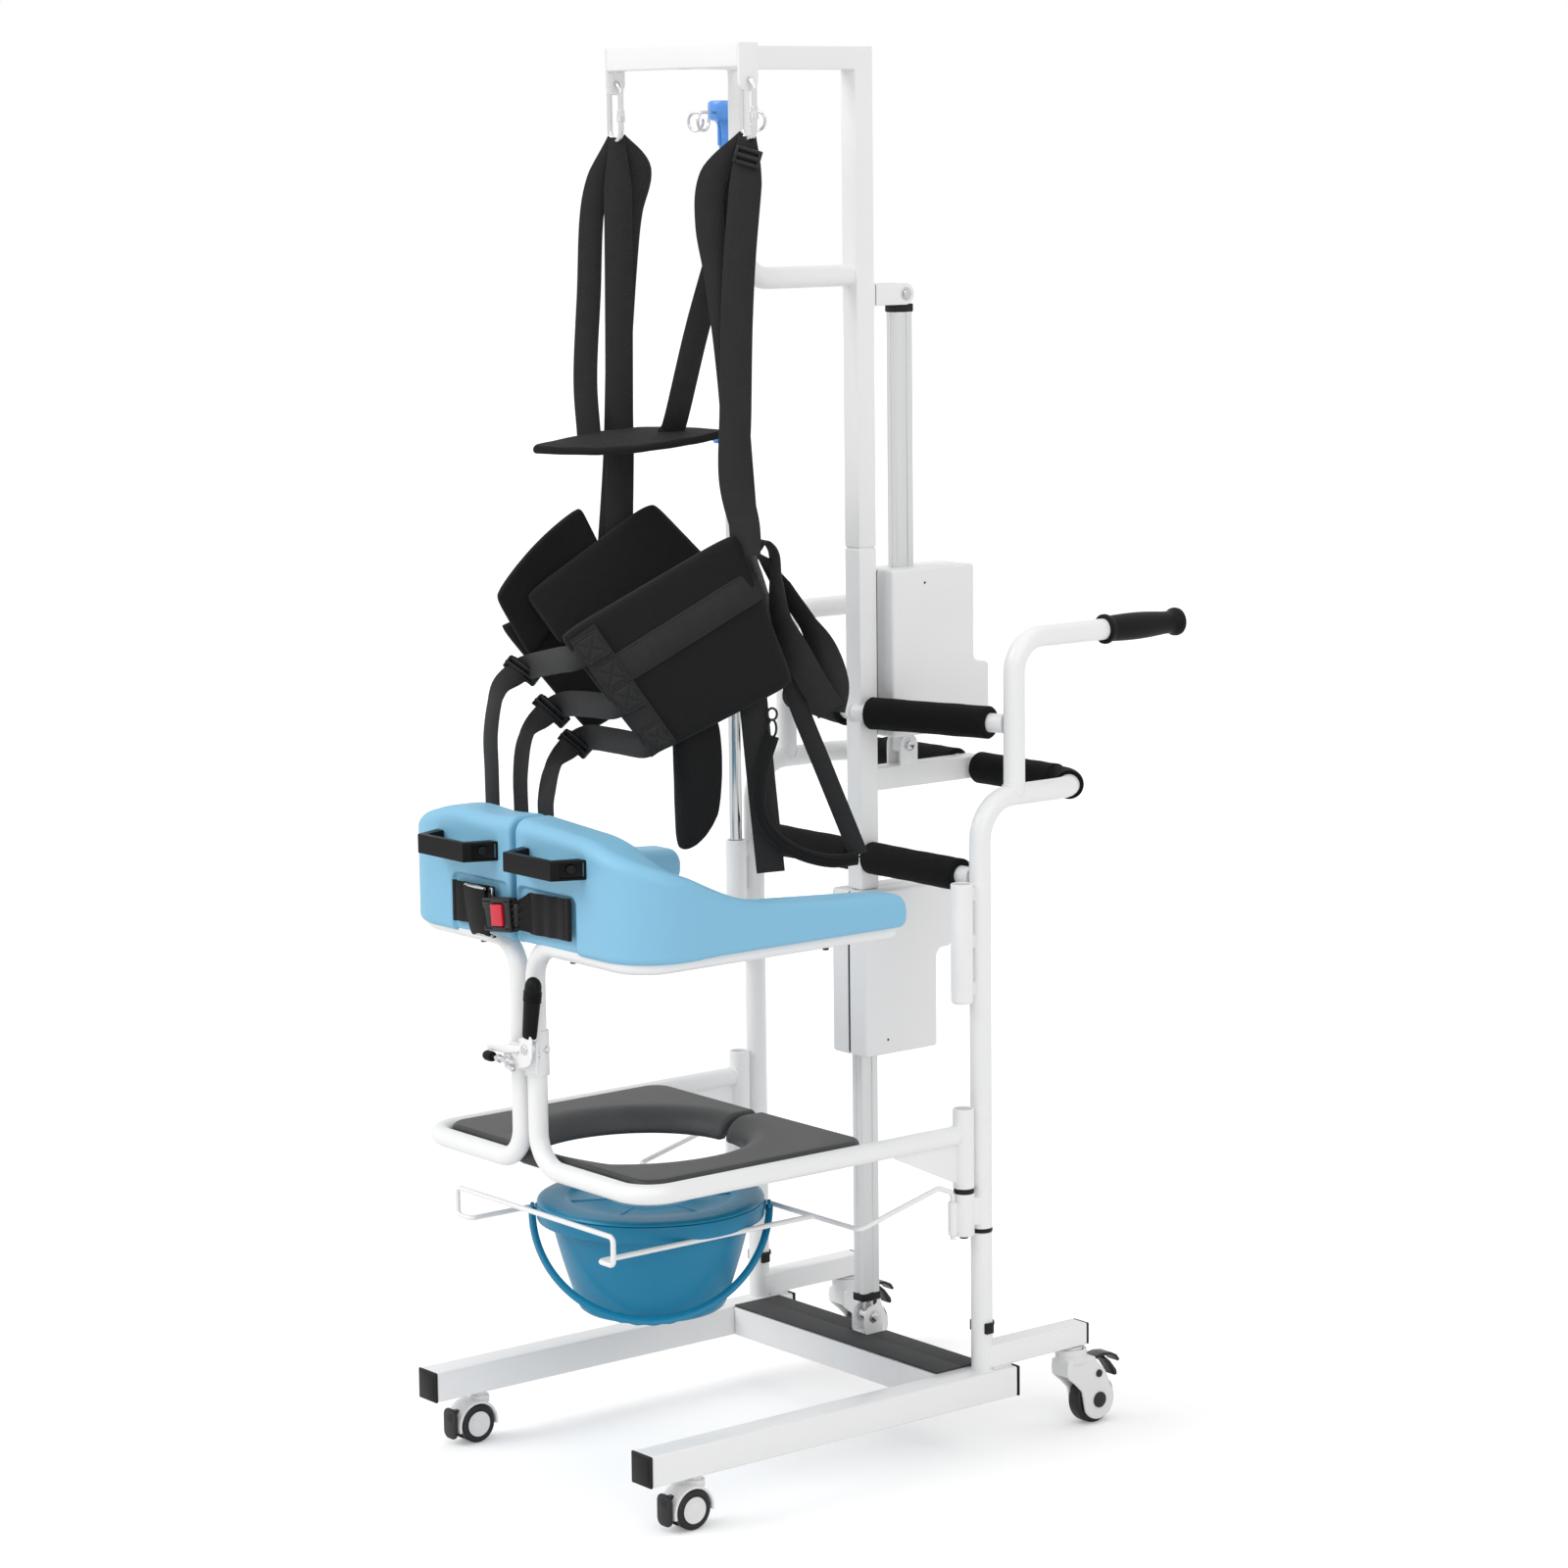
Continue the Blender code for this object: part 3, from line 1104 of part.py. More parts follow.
def back_section(along, inset=0.0):
    """A section of the right back and armrest, along its middle line from the split to the armrest's end."""
    turn = min(max((along - back_straight) / back_turn_r, 0), math.pi / 2)
    out = Vector((math.sin(turn), -math.cos(turn), 0))
    middle = Vector((min(along, back_straight), BACK_Y + BACK_CORNER, 0)) + out * back_turn_r
    middle.y += max(along - back_straight - back_quarter, 0)
    share = min(max((along - CREST_FROM) / (CREST_TO - CREST_FROM), 0), 1)
    top = BACK_TOP - CREST_SLOPE * along - crest_drop * (1 - math.cos(math.pi * share)) / 2 - inset
    low, reach, bend = BACK_BOTTOM + inset, back_half - inset, BACK_TOP_ROUND - inset / 2
    profile = arc((reach - bend, top - bend), bend, 0, 90, 2)
    profile += arc((bend - reach, top - bend), bend, 90, 180, 2)
    profile += [(-reach, low + EDGE_ROUND), (EDGE_ROUND - reach, low)]
    profile += [(reach - EDGE_ROUND, low), (reach, low + EDGE_ROUND)]
    return [middle + out * px + Z_AXIS * pz for px, pz in profile]


def back_half_solid():
    """The right half: rounded ends, and one section more wherever its line or its top bends."""
    ends = arc((BACK_END_ROUND, BACK_END_ROUND), BACK_END_ROUND, 180, 270, 2)
    turn_end = back_straight + back_quarter
    stops = [CREST_FROM / 2, CREST_FROM]
    stops += [back_straight + back_quarter * i / 6 for i in range(7)]
    stops += [turn_end + (CREST_TO - turn_end) * i / 4 for i in range(1, 5)]
    rings = [back_section(BACK_SPLIT + along, inset) for along, inset in ends]
    rings += [back_section(along) for along in stops]
    rings += [back_section(back_length - along, inset) for along, inset in reversed(ends)]
    return loft(rings)


pad_low = PAD_TOP - PAD_THICKNESS
for side_name, side in SIDES.items():
    x = side * LEG_X
    body = f"seat_{side_name}"
    barrel_low = LOWER_BARREL_TOP + WASHER + FIT
    whole = seat_path(side)[:3] + arm_path(side)[1:]
    frame = tube(rounded(whole, SEAT_BEND), SEAT_TUBE_R)
    gusset_top = SEAT_Z - SEAT_TUBE_R + LAP
    gusset_y = HINGE_Y - TUBE_R + LAP
    gusset = plate(
        [(gusset_y, barrel_low + WASHER), (gusset_y, gusset_top), (gusset_y - GUSSET_LENGTH, gusset_top)],
        EAR_THICKNESS,
        side_frame(x),
    )
    frame = welded(
        frame, rod((x, HINGE_Y, barrel_low), (x, HINGE_Y, BARREL_TOP), TUBE_R), gusset
    )
    for tab_y in (HOLE_Y - HOLE_R / 2, PAD_REAR - HOLE_R / 2):
        frame = welded(
            frame,
            mirrored_box(
                side,
                (HOLE_R + 3 * SEAT_TUBE_R, tab_y - SEAT_TUBE_R, pad_low - FIT - TAB_THICKNESS),
                (LEG_X, tab_y + SEAT_TUBE_R, pad_low - FIT),
            ),
        )
    inner = side * RISER_X
    sleeve_r = SEAT_TUBE_R + TAB_THICKNESS
    face = SEAT_FRONT_Y - sleeve_r
    hub = 2 * BOLT_R
    keeper_top = LATCH_Z - hub - BOLT_R
    sleeve_top = LATCH_Z + 2 * hub if side > 0 else keeper_top - LAP
    frame = welded(
        frame,
        rod((inner, SEAT_FRONT_Y, LATCH_Z - 5 * hub), (inner, SEAT_FRONT_Y, sleeve_top), sleeve_r),
    )
    clamp_front = face - TAB_THICKNESS
    lever_back, lever_front = clamp_front - 2 * FIT, clamp_front - 2 * FIT - hub
    lever_y = (lever_back + lever_front) / 2
    pin_end = lever_front - 2 * FIT - BOLT_R
    if side > 0:
        frame = welded(
            frame,
            box(
                (BACK_SPLIT, clamp_front, LATCH_Z - 4 * hub),
                (LATCH_X + hub, face + LAP, LATCH_Z + hub),
            ),
            rod((LATCH_X, face, LATCH_Z), (LATCH_X, pin_end, LATCH_Z), BOLT_R, 8),
            rod((LATCH_X, pin_end + BOLT_R, LATCH_Z), (LATCH_X, pin_end, LATCH_Z), BOLT_R * 1.6, 8),
        )
    else:
        stud_x = side * RISER_X * 0.3
        frame = welded(
            frame,
            box((inner, lever_front, keeper_top - hub), (stud_x + BOLT_R, SEAT_FRONT_Y, keeper_top)),
            rod(
                (stud_x, lever_y, keeper_top - LAP),
                (stud_x, lever_y, LATCH_Z - BOLT_R - 3 * FIT),
                BOLT_R * 0.75,
            ),
        )
    frame = cut(
        frame, rod((x, HINGE_Y, barrel_low - LAP), (x, HINGE_Y, BARREL_TOP + LAP), HINGE_PIN_R + FIT)
    )
    place(frame, f"seat_frame_{side_name}", WHITE, body)

    pad_front = SEAT_FRONT_Y + SEAT_TUBE_R + 4 * LAP
    pad_outer = LEG_X - SEAT_TUBE_R - 4 * FIT
    bend_x, bend_y = LEG_X - SEAT_BEND, SEAT_FRONT_Y + SEAT_BEND
    rear_bend = PAD_THICKNESS
    outline = [(PAD_SPLIT, PAD_REAR), (PAD_SPLIT, pad_front)]
    outline += arc((bend_x, bend_y), bend_y - pad_front, -90, 0, 4)
    outline += arc((pad_outer - rear_bend, PAD_REAR - rear_bend), rear_bend, 0, 90, 4)
    pad = plate(
        [(side * px, py) for px, py in outline],
        PAD_THICKNESS,
        Matrix.Translation((0, 0, PAD_TOP - PAD_THICKNESS / 2)),
    )
    hole = rod((0, HOLE_Y, pad_low - LAP), (0, HOLE_Y, PAD_TOP + LAP), HOLE_R, 32)
    place(cut(pad, hole), f"seat_pad_{side_name}", SEAT_FOAM, body)

    # Moulded back and armrest, which sits over the arm tube
    block = back_half_solid()
    if side < 0:
        block.data.transform(Matrix.Scale(-1, 4, X_AXIS))
        block.data.flip_normals()
    groove = tube(rounded(arm_path(side, ARM_TUBE_END + LAP), SEAT_BEND), SEAT_TUBE_R + 3 * FIT, 16)
    place(cut(block, groove), f"backrest_{side_name}", BLUE_FOAM, body)

    bow_back = BACK_Y - FIT
    bow_front = bow_back - BOW_REACH
    bar_from, bar_to = BOW_FROM + BOW_SPLAY, BOW_TO - BOW_SPLAY
    bow = [(BOW_FROM, bow_back), (bar_from, bow_front), (bar_to, bow_front), (BOW_TO, bow_back)]
    bow += [(BOW_TO - BOW_FOOT, bow_back), (bar_to - BOW_THICKNESS, bow_front + BOW_THICKNESS)]
    bow += [(bar_from + BOW_THICKNESS, bow_front + BOW_THICKNESS), (BOW_FROM + BOW_FOOT, bow_back)]
    bow = plate([(side * px, py) for px, py in bow], BOW_HEIGHT, Matrix.Translation((0, 0, BOW_Z)))
    place(bow, f"back_handle_{side_name}", BLACK, body)


# Latch lever on the right riser's clamp plate, with its hook over the stud of the left half

hook_tip = -RISER_X * 0.35
grip_profile = [(0, 0), (BOLT_R, 0), (BOLT_R, GRIP_FROM), (GRIP_R * 0.75, GRIP_FROM)]
grip_profile += [(GRIP_R * 0.8, LEVER_LENGTH * 0.6), (GRIP_R, LEVER_LENGTH * 0.68)]
grip_profile += [(GRIP_R, LEVER_LENGTH - GRIP_R), (GRIP_R * 0.7, LEVER_LENGTH - GRIP_R * 0.3)]
grip_profile += [(0, LEVER_LENGTH)]
lever_frame = Matrix.Translation((LATCH_X, lever_y, LATCH_Z)) @ Matrix.Rotation(LEVER_TILT, 4, "Y")
lever = welded(
    rod((LATCH_X, lever_back, LATCH_Z), (LATCH_X, lever_front, LATCH_Z), hub),
    box((hook_tip, lever_front, LATCH_Z - BOLT_R), (LATCH_X, lever_back, LATCH_Z + BOLT_R)),
    turned(grip_profile, lever_frame, 10),
)
pin_bore = rod(
    (LATCH_X, face + hub, LATCH_Z), (LATCH_X, lever_front - hub, LATCH_Z), BOLT_R + 2 * FIT
)
lever = cut(lever, pin_bore)
place(lever, "latch_lever", BLACK, "latch")


# Safety belt across the backs, with a push button buckle at the split

belt_low, belt_high = BELT_Z - BELT_HEIGHT / 2, BELT_Z + BELT_HEIGHT / 2
belt_face = BACK_Y - FIT
buckle_low, buckle_high = BELT_Z - BUCKLE_HEIGHT / 2, BELT_Z + BUCKLE_HEIGHT / 2
gap = BACK_SPLIT / 3
left_belt = welded(
    box(
        (-2 * BUCKLE_LENGTH, belt_face - BELT_THICKNESS, belt_low),
        (-BUCKLE_LENGTH + LAP, belt_face, belt_high),
    ),
    box((-BUCKLE_LENGTH, buckle_back, buckle_low), (-gap, belt_face, buckle_high), EDGE_ROUND),
)
button_half_x, button_half_z = BUTTON_WIDTH / 2, BUTTON_HEIGHT / 2
pocket_depth = BUTTON_TRAVEL + BELT_THICKNESS + FIT
left_belt = cut(
    left_belt,
    box(
        (button_x - button_half_x - FIT, buckle_back - LAP, BELT_Z - button_half_z - FIT),
        (button_x + button_half_x + FIT, buckle_back + pocket_depth, BELT_Z + button_half_z + FIT),
    ),
)
place(left_belt, "belt_left", FABRIC, "seat_left")
button = box(
    (button_x - button_half_x, buckle_back - BUTTON_TRAVEL, BELT_Z - button_half_z),
    (button_x + button_half_x, buckle_back + BELT_THICKNESS, BELT_Z + button_half_z),
    BUTTON_TRAVEL / 4,
)
place(button, "buckle_button", RED, "buckle")
right_belt = welded(
    box(
        (BUCKLE_LENGTH * 0.75, belt_face - BELT_THICKNESS, belt_low),
        (BUCKLE_LENGTH * 2.2, belt_face, belt_high),
    ),
    box(
        (BUCKLE_LENGTH * 0.4, belt_face - 2 * BELT_THICKNESS, buckle_low),
        (BUCKLE_LENGTH, belt_face, buckle_high),
    ),
    box(
        (gap, belt_face - BUCKLE_THICKNESS * 0.8, buckle_low + EDGE_ROUND),
        (BUCKLE_LENGTH * 0.42, belt_face, buckle_high - EDGE_ROUND),
        EDGE_ROUND,
    ),
)
place(right_belt, "belt_right", FABRIC, "seat_right")


# Infusion pole in the left socket

pole_x = -LEG_X
pole_bottom = pole_seat + FIT
pole = cut(
    rod((pole_x, SOCKET_Y, pole_bottom), (pole_x, SOCKET_Y, POLE_TOP), POLE_R),
    rod(
        (pole_x, SOCKET_Y, POLE_ROD_BOTTOM - POLE_DROP - POLE_R),
        (pole_x, SOCKET_Y, POLE_TOP + LAP),
        POLE_ROD_R + FIT,
    ),
)
place(pole, "pole_tube", STEEL, "carriage")

clamp_low = POLE_TOP + FIT
clamp_mid = clamp_low + CLAMP_HEIGHT / 2
clamp_bore = POLE_ROD_R + FIT
clamp_profile = [
    (clamp_bore, CLAMP_HEIGHT),
    (CLAMP_R * 0.8, CLAMP_HEIGHT),
    (CLAMP_R, CLAMP_HEIGHT * 0.8),
    (CLAMP_R, CLAMP_HEIGHT * 0.1),
    (CLAMP_R * 0.9, 0),
    (clamp_bore, 0),
]
clamp = turned(clamp_profile, Matrix.Translation((pole_x, SOCKET_Y, clamp_low)), 12)
screw_r = POLE_ROD_R / 2
boss = CLAMP_R * 1.15
clamp = cut(
    clamp,
    rod(
        (pole_x, SOCKET_Y - clamp_bore - LAP, clamp_mid),
        (pole_x, SOCKET_Y - 2 * CLAMP_R, clamp_mid),
        screw_r + FIT,
    ),
)
place(clamp, "pole_clamp", SKY, "carriage")
knob = welded(
    rod(
        (pole_x, SOCKET_Y - clamp_bore - 2 * LAP, clamp_mid),
        (pole_x, SOCKET_Y - boss - LAP, clamp_mid),
        screw_r,
    ),
    rod(
        (pole_x, SOCKET_Y - boss, clamp_mid),
        (pole_x, SOCKET_Y - boss - CLAMP_R, clamp_mid),
        CLAMP_R * 0.6,
        8,
        CLAMP_R * 0.75,
    ),
)
place(knob, "pole_knob", SKY, "pole_screw")

head_height = HEAD_TOP - HEAD_BOTTOM
neck_r = POLE_ROD_R * 1.8
head_profile = [
    (0, head_height),
    (HEAD_R * 0.9, head_height),
    (HEAD_R, head_height * 0.92),
    (HEAD_R, head_height * 0.62),
    (neck_r * 1.2, head_height * 0.5),
    (neck_r, 0),
    (0, 0),
]
head = turned(head_profile, Matrix.Translation((pole_x, SOCKET_Y, HEAD_BOTTOM)))
hook_z = HEAD_BOTTOM + head_height * 0.75
hook_drop = head_height * 0.55
for quarter in range(4):
    spin = Matrix.Rotation(math.pi / 4 + quarter * math.pi / 2, 3, "Z")
    hook = [(HEAD_R / 2, 0, 0), (HEAD_R * 1.7, 0, 0), (HEAD_R * 1.7, 0, -hook_drop)]
    hook += [(HOOK_REACH, 0, -hook_drop), (HOOK_REACH, 0, -hook_drop / 3)]
    axis = Vector((pole_x, SOCKET_Y, hook_z))
    head = welded(head, tube([axis + spin @ p for p in rounded(hook, HEAD_R / 2, 1)], HOOK_WIRE_R, 6))
rod_socket = HEAD_BOTTOM + head_height * 0.4
head = cut(
    head,
    rod((pole_x, SOCKET_Y, HEAD_BOTTOM - LAP), (pole_x, SOCKET_Y, rod_socket), POLE_ROD_R + FIT),
)
place(head, "pole_hook_head", SKY, "pole_rod")
pole_rod = rod((pole_x, SOCKET_Y, POLE_ROD_BOTTOM), (pole_x, SOCKET_Y, rod_socket - FIT), POLE_ROD_R)
place(pole_rod, "pole_inner_rod", STEEL, "pole_rod")


# Bucket in its wire rack

arms = [(LEG_X, rack_pin_y, LOWER_BARREL_BOTTOM - WIRE_R), (LEG_X, rack_pin_y, LOWER_BARREL_TOP + WIRE_R)]
arms += [(LEG_X, rack_pin_y - 8 * WIRE_R, RACK_LOOP_Z - WIRE_R), (LEG_X, RACK_REAR_Y, RACK_Z)]
arms += [(-px, py, pz) for px, py, pz in reversed(arms)]
rails = [(RAIL_X, RACK_REAR_Y, RACK_Z), (RAIL_X, RACK_FRONT_Y, RACK_Z)]
rails += [(RACK_LOOP_X, RACK_FRONT_Y, RACK_Z), (RACK_LOOP_X, RACK_FRONT_Y, RACK_LOOP_Z)]
rails += [(-px, py, pz) for px, py, pz in reversed(rails)]
rack = welded(
    tube(rounded(arms, 3 * WIRE_R, 2), WIRE_R, 6), tube(rounded(rails, 2 * WIRE_R, 2), WIRE_R, 6)
)
place(rack, "bucket_rack", WHITE, "carriage")

wall = BUCKET_WALL
at_bucket = Matrix.Translation((0, BUCKET_Y, 0))
bucket_profile = [
    (0, BUCKET_BOTTOM),
    (BUCKET_BASE_R - wall, BUCKET_BOTTOM),
    (BUCKET_BASE_R, BUCKET_BOTTOM + wall),
    (BUCKET_TOP_R, rim_bottom),
    (RIM_R, rim_bottom),
    (RIM_R, rim_top),
    (BUCKET_TOP_R - wall, rim_top),
    (BUCKET_TOP_R - wall, rim_bottom),
    (BUCKET_BASE_R - wall, BUCKET_BOTTOM + 2 * wall),
    (0, BUCKET_BOTTOM + 2 * wall),
]
bucket = turned(bucket_profile, at_bucket, 18)
bail_centre = Vector((0, BUCKET_Y, bail_z))
boss_end = RIM_R + 5 * FIT
for side in SIDES.values():
    outward = bail_axis * side
    boss = rod(bail_centre + outward * (RIM_R - wall), bail_centre + outward * boss_end, BAIL_WIRE_R, 8)
    bucket = welded(bucket, boss)
place(bucket, "bucket", TEAL, "bucket_body")

plug_r = BUCKET_TOP_R - wall - 2 * FIT
lid_low = rim_top + FIT
lid_profile = [
    (0, lid_low + LID_THICKNESS / 2),
    (plug_r * 0.8, lid_low + LID_THICKNESS / 2),
    (plug_r * 0.86, lid_low + LID_THICKNESS),
    (RIM_R - wall, lid_low + LID_THICKNESS),
    (RIM_R, lid_low),
    (plug_r, lid_low),
    (plug_r, lid_low - LID_THICKNESS),
    (plug_r - wall, lid_low - LID_THICKNESS),
    (plug_r - wall, lid_low - LID_THICKNESS / 3),
    (0, lid_low - LID_THICKNESS / 3),
]
place(turned(lid_profile, at_bucket, 18), "bucket_lid", TEAL, "lid")

bail_out = Vector((bail_axis.y, -bail_axis.x, 0)) * math.sin(BAIL_TILT) - Z_AXIS * math.cos(BAIL_TILT)
bail_half = boss_end + 3 * FIT + BAIL_WIRE_R
bail_steps = 16
bail_path = []
for i in range(bail_steps + 1):
    turn = math.pi * i / bail_steps
    bail_path.append(
        bail_centre + bail_axis * bail_half * math.cos(turn) + bail_out * BAIL_REACH * math.sin(turn)
    )
place(tube(bail_path, BAIL_WIRE_R, 6), "bucket_bail", TEAL, "bail")


# Origin at the middle of the footprint, on the floor

bpy.context.view_layer.update()
solids = [obj for obj in parts.objects if obj.type == "MESH"]
corners = [obj.matrix_world @ Vector(corner) for obj in solids for corner in obj.bound_box]
low = Vector([min(c[i] for c in corners) for i in range(3)])
high = Vector([max(c[i] for c in corners) for i in range(3)])
bpy.data.objects["base"].location = (-(low.x + high.x) / 2, -(low.y + high.y) / 2, -low.z)
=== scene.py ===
"""Dresses the sit to stand lift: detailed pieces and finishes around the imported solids."""

from math import atan2, copysign, cos, exp, hypot, pi, radians, sin, sqrt, tan

import bmesh
import bpy
from mathutils import Matrix, Vector


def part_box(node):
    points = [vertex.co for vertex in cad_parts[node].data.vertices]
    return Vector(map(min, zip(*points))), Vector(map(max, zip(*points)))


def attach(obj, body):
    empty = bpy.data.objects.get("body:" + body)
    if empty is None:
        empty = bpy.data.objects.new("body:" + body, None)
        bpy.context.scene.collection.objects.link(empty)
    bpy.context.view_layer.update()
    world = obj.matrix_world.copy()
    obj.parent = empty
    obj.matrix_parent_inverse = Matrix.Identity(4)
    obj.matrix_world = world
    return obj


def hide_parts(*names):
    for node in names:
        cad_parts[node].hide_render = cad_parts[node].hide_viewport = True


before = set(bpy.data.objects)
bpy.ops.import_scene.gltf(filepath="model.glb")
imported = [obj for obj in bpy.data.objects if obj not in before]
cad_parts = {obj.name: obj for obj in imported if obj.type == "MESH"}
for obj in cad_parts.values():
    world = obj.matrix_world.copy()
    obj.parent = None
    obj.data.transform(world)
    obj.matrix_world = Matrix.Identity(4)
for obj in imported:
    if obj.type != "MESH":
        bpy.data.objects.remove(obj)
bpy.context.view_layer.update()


# Studio: a seamless white sweep, a soft key from the front and a weaker one from the side,
# with a camera on the photograph's line of sight. Pieces are set out on a bench drawing with
# y = 0 at the front of the legs, x = 0 between them and z = 0 on the floor.

scene = bpy.context.scene
scene.view_settings.view_transform = "Standard"
upright = Vector((0, 0, 1))
bench = Vector(((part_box("leg_left")[0].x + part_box("leg_right")[1].x) / 2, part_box("leg_left")[0].y, 0))

heading, pitch, roll = radians(51.54), radians(-8.57), radians(-0.65)
ahead = Vector((-sin(heading) * cos(pitch), cos(heading) * cos(pitch), sin(pitch)))
level = Vector((cos(heading), sin(heading), 0))
above = level.cross(ahead)
camera_data = bpy.data.cameras.new("camera")
LENS, SENSOR, CAMERA_AT = 96.37, 36, Vector((4.238, -2.943, 1.685))
camera_data.lens, camera_data.sensor_width = LENS, SENSOR
camera = bpy.data.objects.new("camera", camera_data)
scene.collection.objects.link(camera)
camera_turn = Matrix(
    (
        level * cos(roll) + above * sin(roll),
        above * cos(roll) - level * sin(roll),
        -ahead,
    )
).transposed()
camera.matrix_world = Matrix.Translation(bench + CAMERA_AT) @ camera_turn.to_4x4()
scene.camera = camera


class Value:
    """A socket in a node tree. Arithmetic on it adds Math nodes, and node() adds any other node."""

    def __init__(self, tree, socket=None):
        self.tree = tree
        self.socket = socket

    def node(self, kind, settings=None, sockets=None, out=0):
        made = self.tree.nodes.new("ShaderNode" + kind)
        for name, setting in (settings or {}).items():
            setattr(made, name, setting)
        for name, value in (sockets or {}).items():
            self.feed(made, name, value)
        return Value(self.tree, made.outputs[out])

    def feed(self, node, name, value):
        if isinstance(value, Value):
            self.tree.links.new(value.socket, node.inputs[name])
        else:
            node.inputs[name].default_value = value

    def math(self, operation, *values):
        return self.node("Math", {"operation": operation}, dict(enumerate(values)))

    def noise(self, where, scale, detail, roughness):
        sockets = {"Vector": where, "Scale": scale, "Detail": detail, "Roughness": roughness}
        return self.node("TexNoise", {}, sockets)

    def mix(self, share, dark, light):
        return self.node("Mix", {"data_type": "RGBA"}, {0: share, 6: (*dark, 1), 7: (*light, 1)}, 2)

    def surface(self, shader, colour, roughness, height, depth, strength=1.0):
        """Feeds a shader its colour, its roughness and a bump of that height and depth in metres."""
        bump = {"Strength": strength, "Distance": depth, "Height": height}
        self.feed(shader, "Base Color", colour)
        self.feed(shader, "Roughness", roughness)
        self.feed(shader, "Normal", self.node("Bump", {}, bump))

    def __add__(self, other):
        return self.math("ADD", self, other)

    def __sub__(self, other):
        return self.math("SUBTRACT", self, other)

    def __mul__(self, other):
        return self.math("MULTIPLY", self, other)

    __radd__ = __add__
    __rmul__ = __mul__


def new_finish(name, slot, **constants):
    """A material with its shader and a start for its node maths. Its slot is not used."""
    finish = bpy.data.materials.new(name)
    finish.use_nodes = True
    shader = finish.node_tree.nodes["Principled BSDF"]
    for socket, value in constants.items():
        shader.inputs[socket.replace("_", " ")].default_value = value
    return finish, shader, Value(finish.node_tree)


FILL = 0.6
world = bpy.data.worlds.new("studio")
scene.world = world
world.use_nodes = True
sky = Value(world.node_tree)
seen = sky.node("LightPath", out="Is Camera Ray")
seen = seen.math("MAXIMUM", seen, sky.node("LightPath", out="Is Glossy Ray"))
seen = seen.math("MAXIMUM", seen, sky.node("LightPath", out="Is Transmission Ray"))
backdrop = world.node_tree.nodes["Background"]
sky.feed(backdrop, "Color", (1, 1, 1, 1))
sky.feed(backdrop, "Strength", FILL + (1 - FILL) * seen)


def add_sun(name, toward, strength, softness):
    lamp = bpy.data.lights.new(name, "SUN")
    lamp.energy, lamp.angle = strength * pi, radians(softness)
    sun = bpy.data.objects.new(name, lamp)
    scene.collection.objects.link(sun)
    sun.rotation_euler = Vector((0, 0, -1)).rotation_difference(-Vector(toward)).to_euler()


add_sun("key", (-0.33, -0.75, 0.62), 0.38, 35)
add_sun("side", (0.8, -0.3, 0.52), 0.2, 45)
add_sun("top", (0.05, 0.1, 1.0), 0.12, 60)

floor_mesh = bpy.data.meshes.new("floor")
FLOOR_HALF, FLOOR_Z = 30, -0.0004
floor_corners = [
    (across * FLOOR_HALF, deep * FLOOR_HALF, 0) for across, deep in ((-1, -1), (1, -1), (1, 1), (-1, 1))
]
floor_mesh.from_pydata(floor_corners, [], [(0, 1, 2, 3)])
floor = bpy.data.objects.new("floor", floor_mesh)
scene.collection.objects.link(floor)
floor.location.z = FLOOR_Z
FLOOR_GLOW = 0.21
floor_white, paper, sheet_light = new_finish(
    "floor_white", None, Base_Color=(0.93, 0.93, 0.93, 1), Roughness=0.95, Specular_IOR_Level=0.0,
    Emission_Strength=FLOOR_GLOW
)
in_view = sheet_light.node("LightPath", out="Is Camera Ray")
glow = in_view.node("CombineColor", {}, {0: in_view, 1: in_view, 2: in_view})
sheet_light.feed(paper, "Emission Color", glow)
floor_mesh.materials.append(floor_white)


# Legs: two runners of 40 mm square steel tube with plastic plugs in both ends. A round post
# and a rear outrigger are welded on, and the whole is powder coated white. A bare steel
# guide stands in each post, and the lifting carriage slides on it.

LEFT, RIGHT = -1, 1
SIDES = {"left": LEFT, "right": RIGHT}
LEG_X, POST_Y = 0.235, 0.556
LEG_HALF, LEG_FRONT, LEG_REAR, LEG_LOW, LEG_TOP, STUB_REAR = 0.02, 0.004, 0.601, 0.068, 0.108, 0.729
TUBE_R = 0.014


def painted(name, slot, colour, shade, roughness, grain, depth, coat=0.0, metallic=0.0, specular=0.5):
    """A moulded or sprayed finish: a fine grain of that size and depth in metres, with a faint mottling."""
    finish, shader, start = new_finish(
        name, slot, Metallic=metallic, Coat_Weight=coat, Coat_Roughness=0.12, Specular_IOR_Level=specular
    )
    where = start.node("TexCoord", out="Object")
    cloud, fine = start.noise(where, 9.0, 4.0, 0.6), start.noise(where, 1 / grain, 2.0, 0.5)
    tint = start.mix(cloud * 0.7 + fine * 0.3, shade, colour)
    start.surface(shader, tint, roughness + (cloud - 0.5) * 0.14 + (fine - 0.5) * 0.08, fine, depth)
    return finish


powder_white = painted(
    "white_powder_coat", "white_powder_coat", (0.88, 0.88, 0.88), (0.83, 0.83, 0.835), 0.34, 0.0016, 0.0001,
    coat=0.15
)
plug_black = painted(
    "black_plug_plastic", "black_plastic", (0.01, 0.01, 0.0105), (0.006, 0.006, 0.0065), 0.42, 0.0012, 0.00008,
    specular=0.22
)
guide_steel = painted(
    "guide_steel", "stainless_steel", (0.62, 0.62, 0.63), (0.55, 0.55, 0.56), 0.22, 0.004, 0.00001, metallic=1.0
)


def baked(bm, name):
    """The mesh of a bmesh, which is let go."""
    mesh = bpy.data.meshes.new(name)
    bm.to_mesh(mesh)
    bm.free()
    return mesh


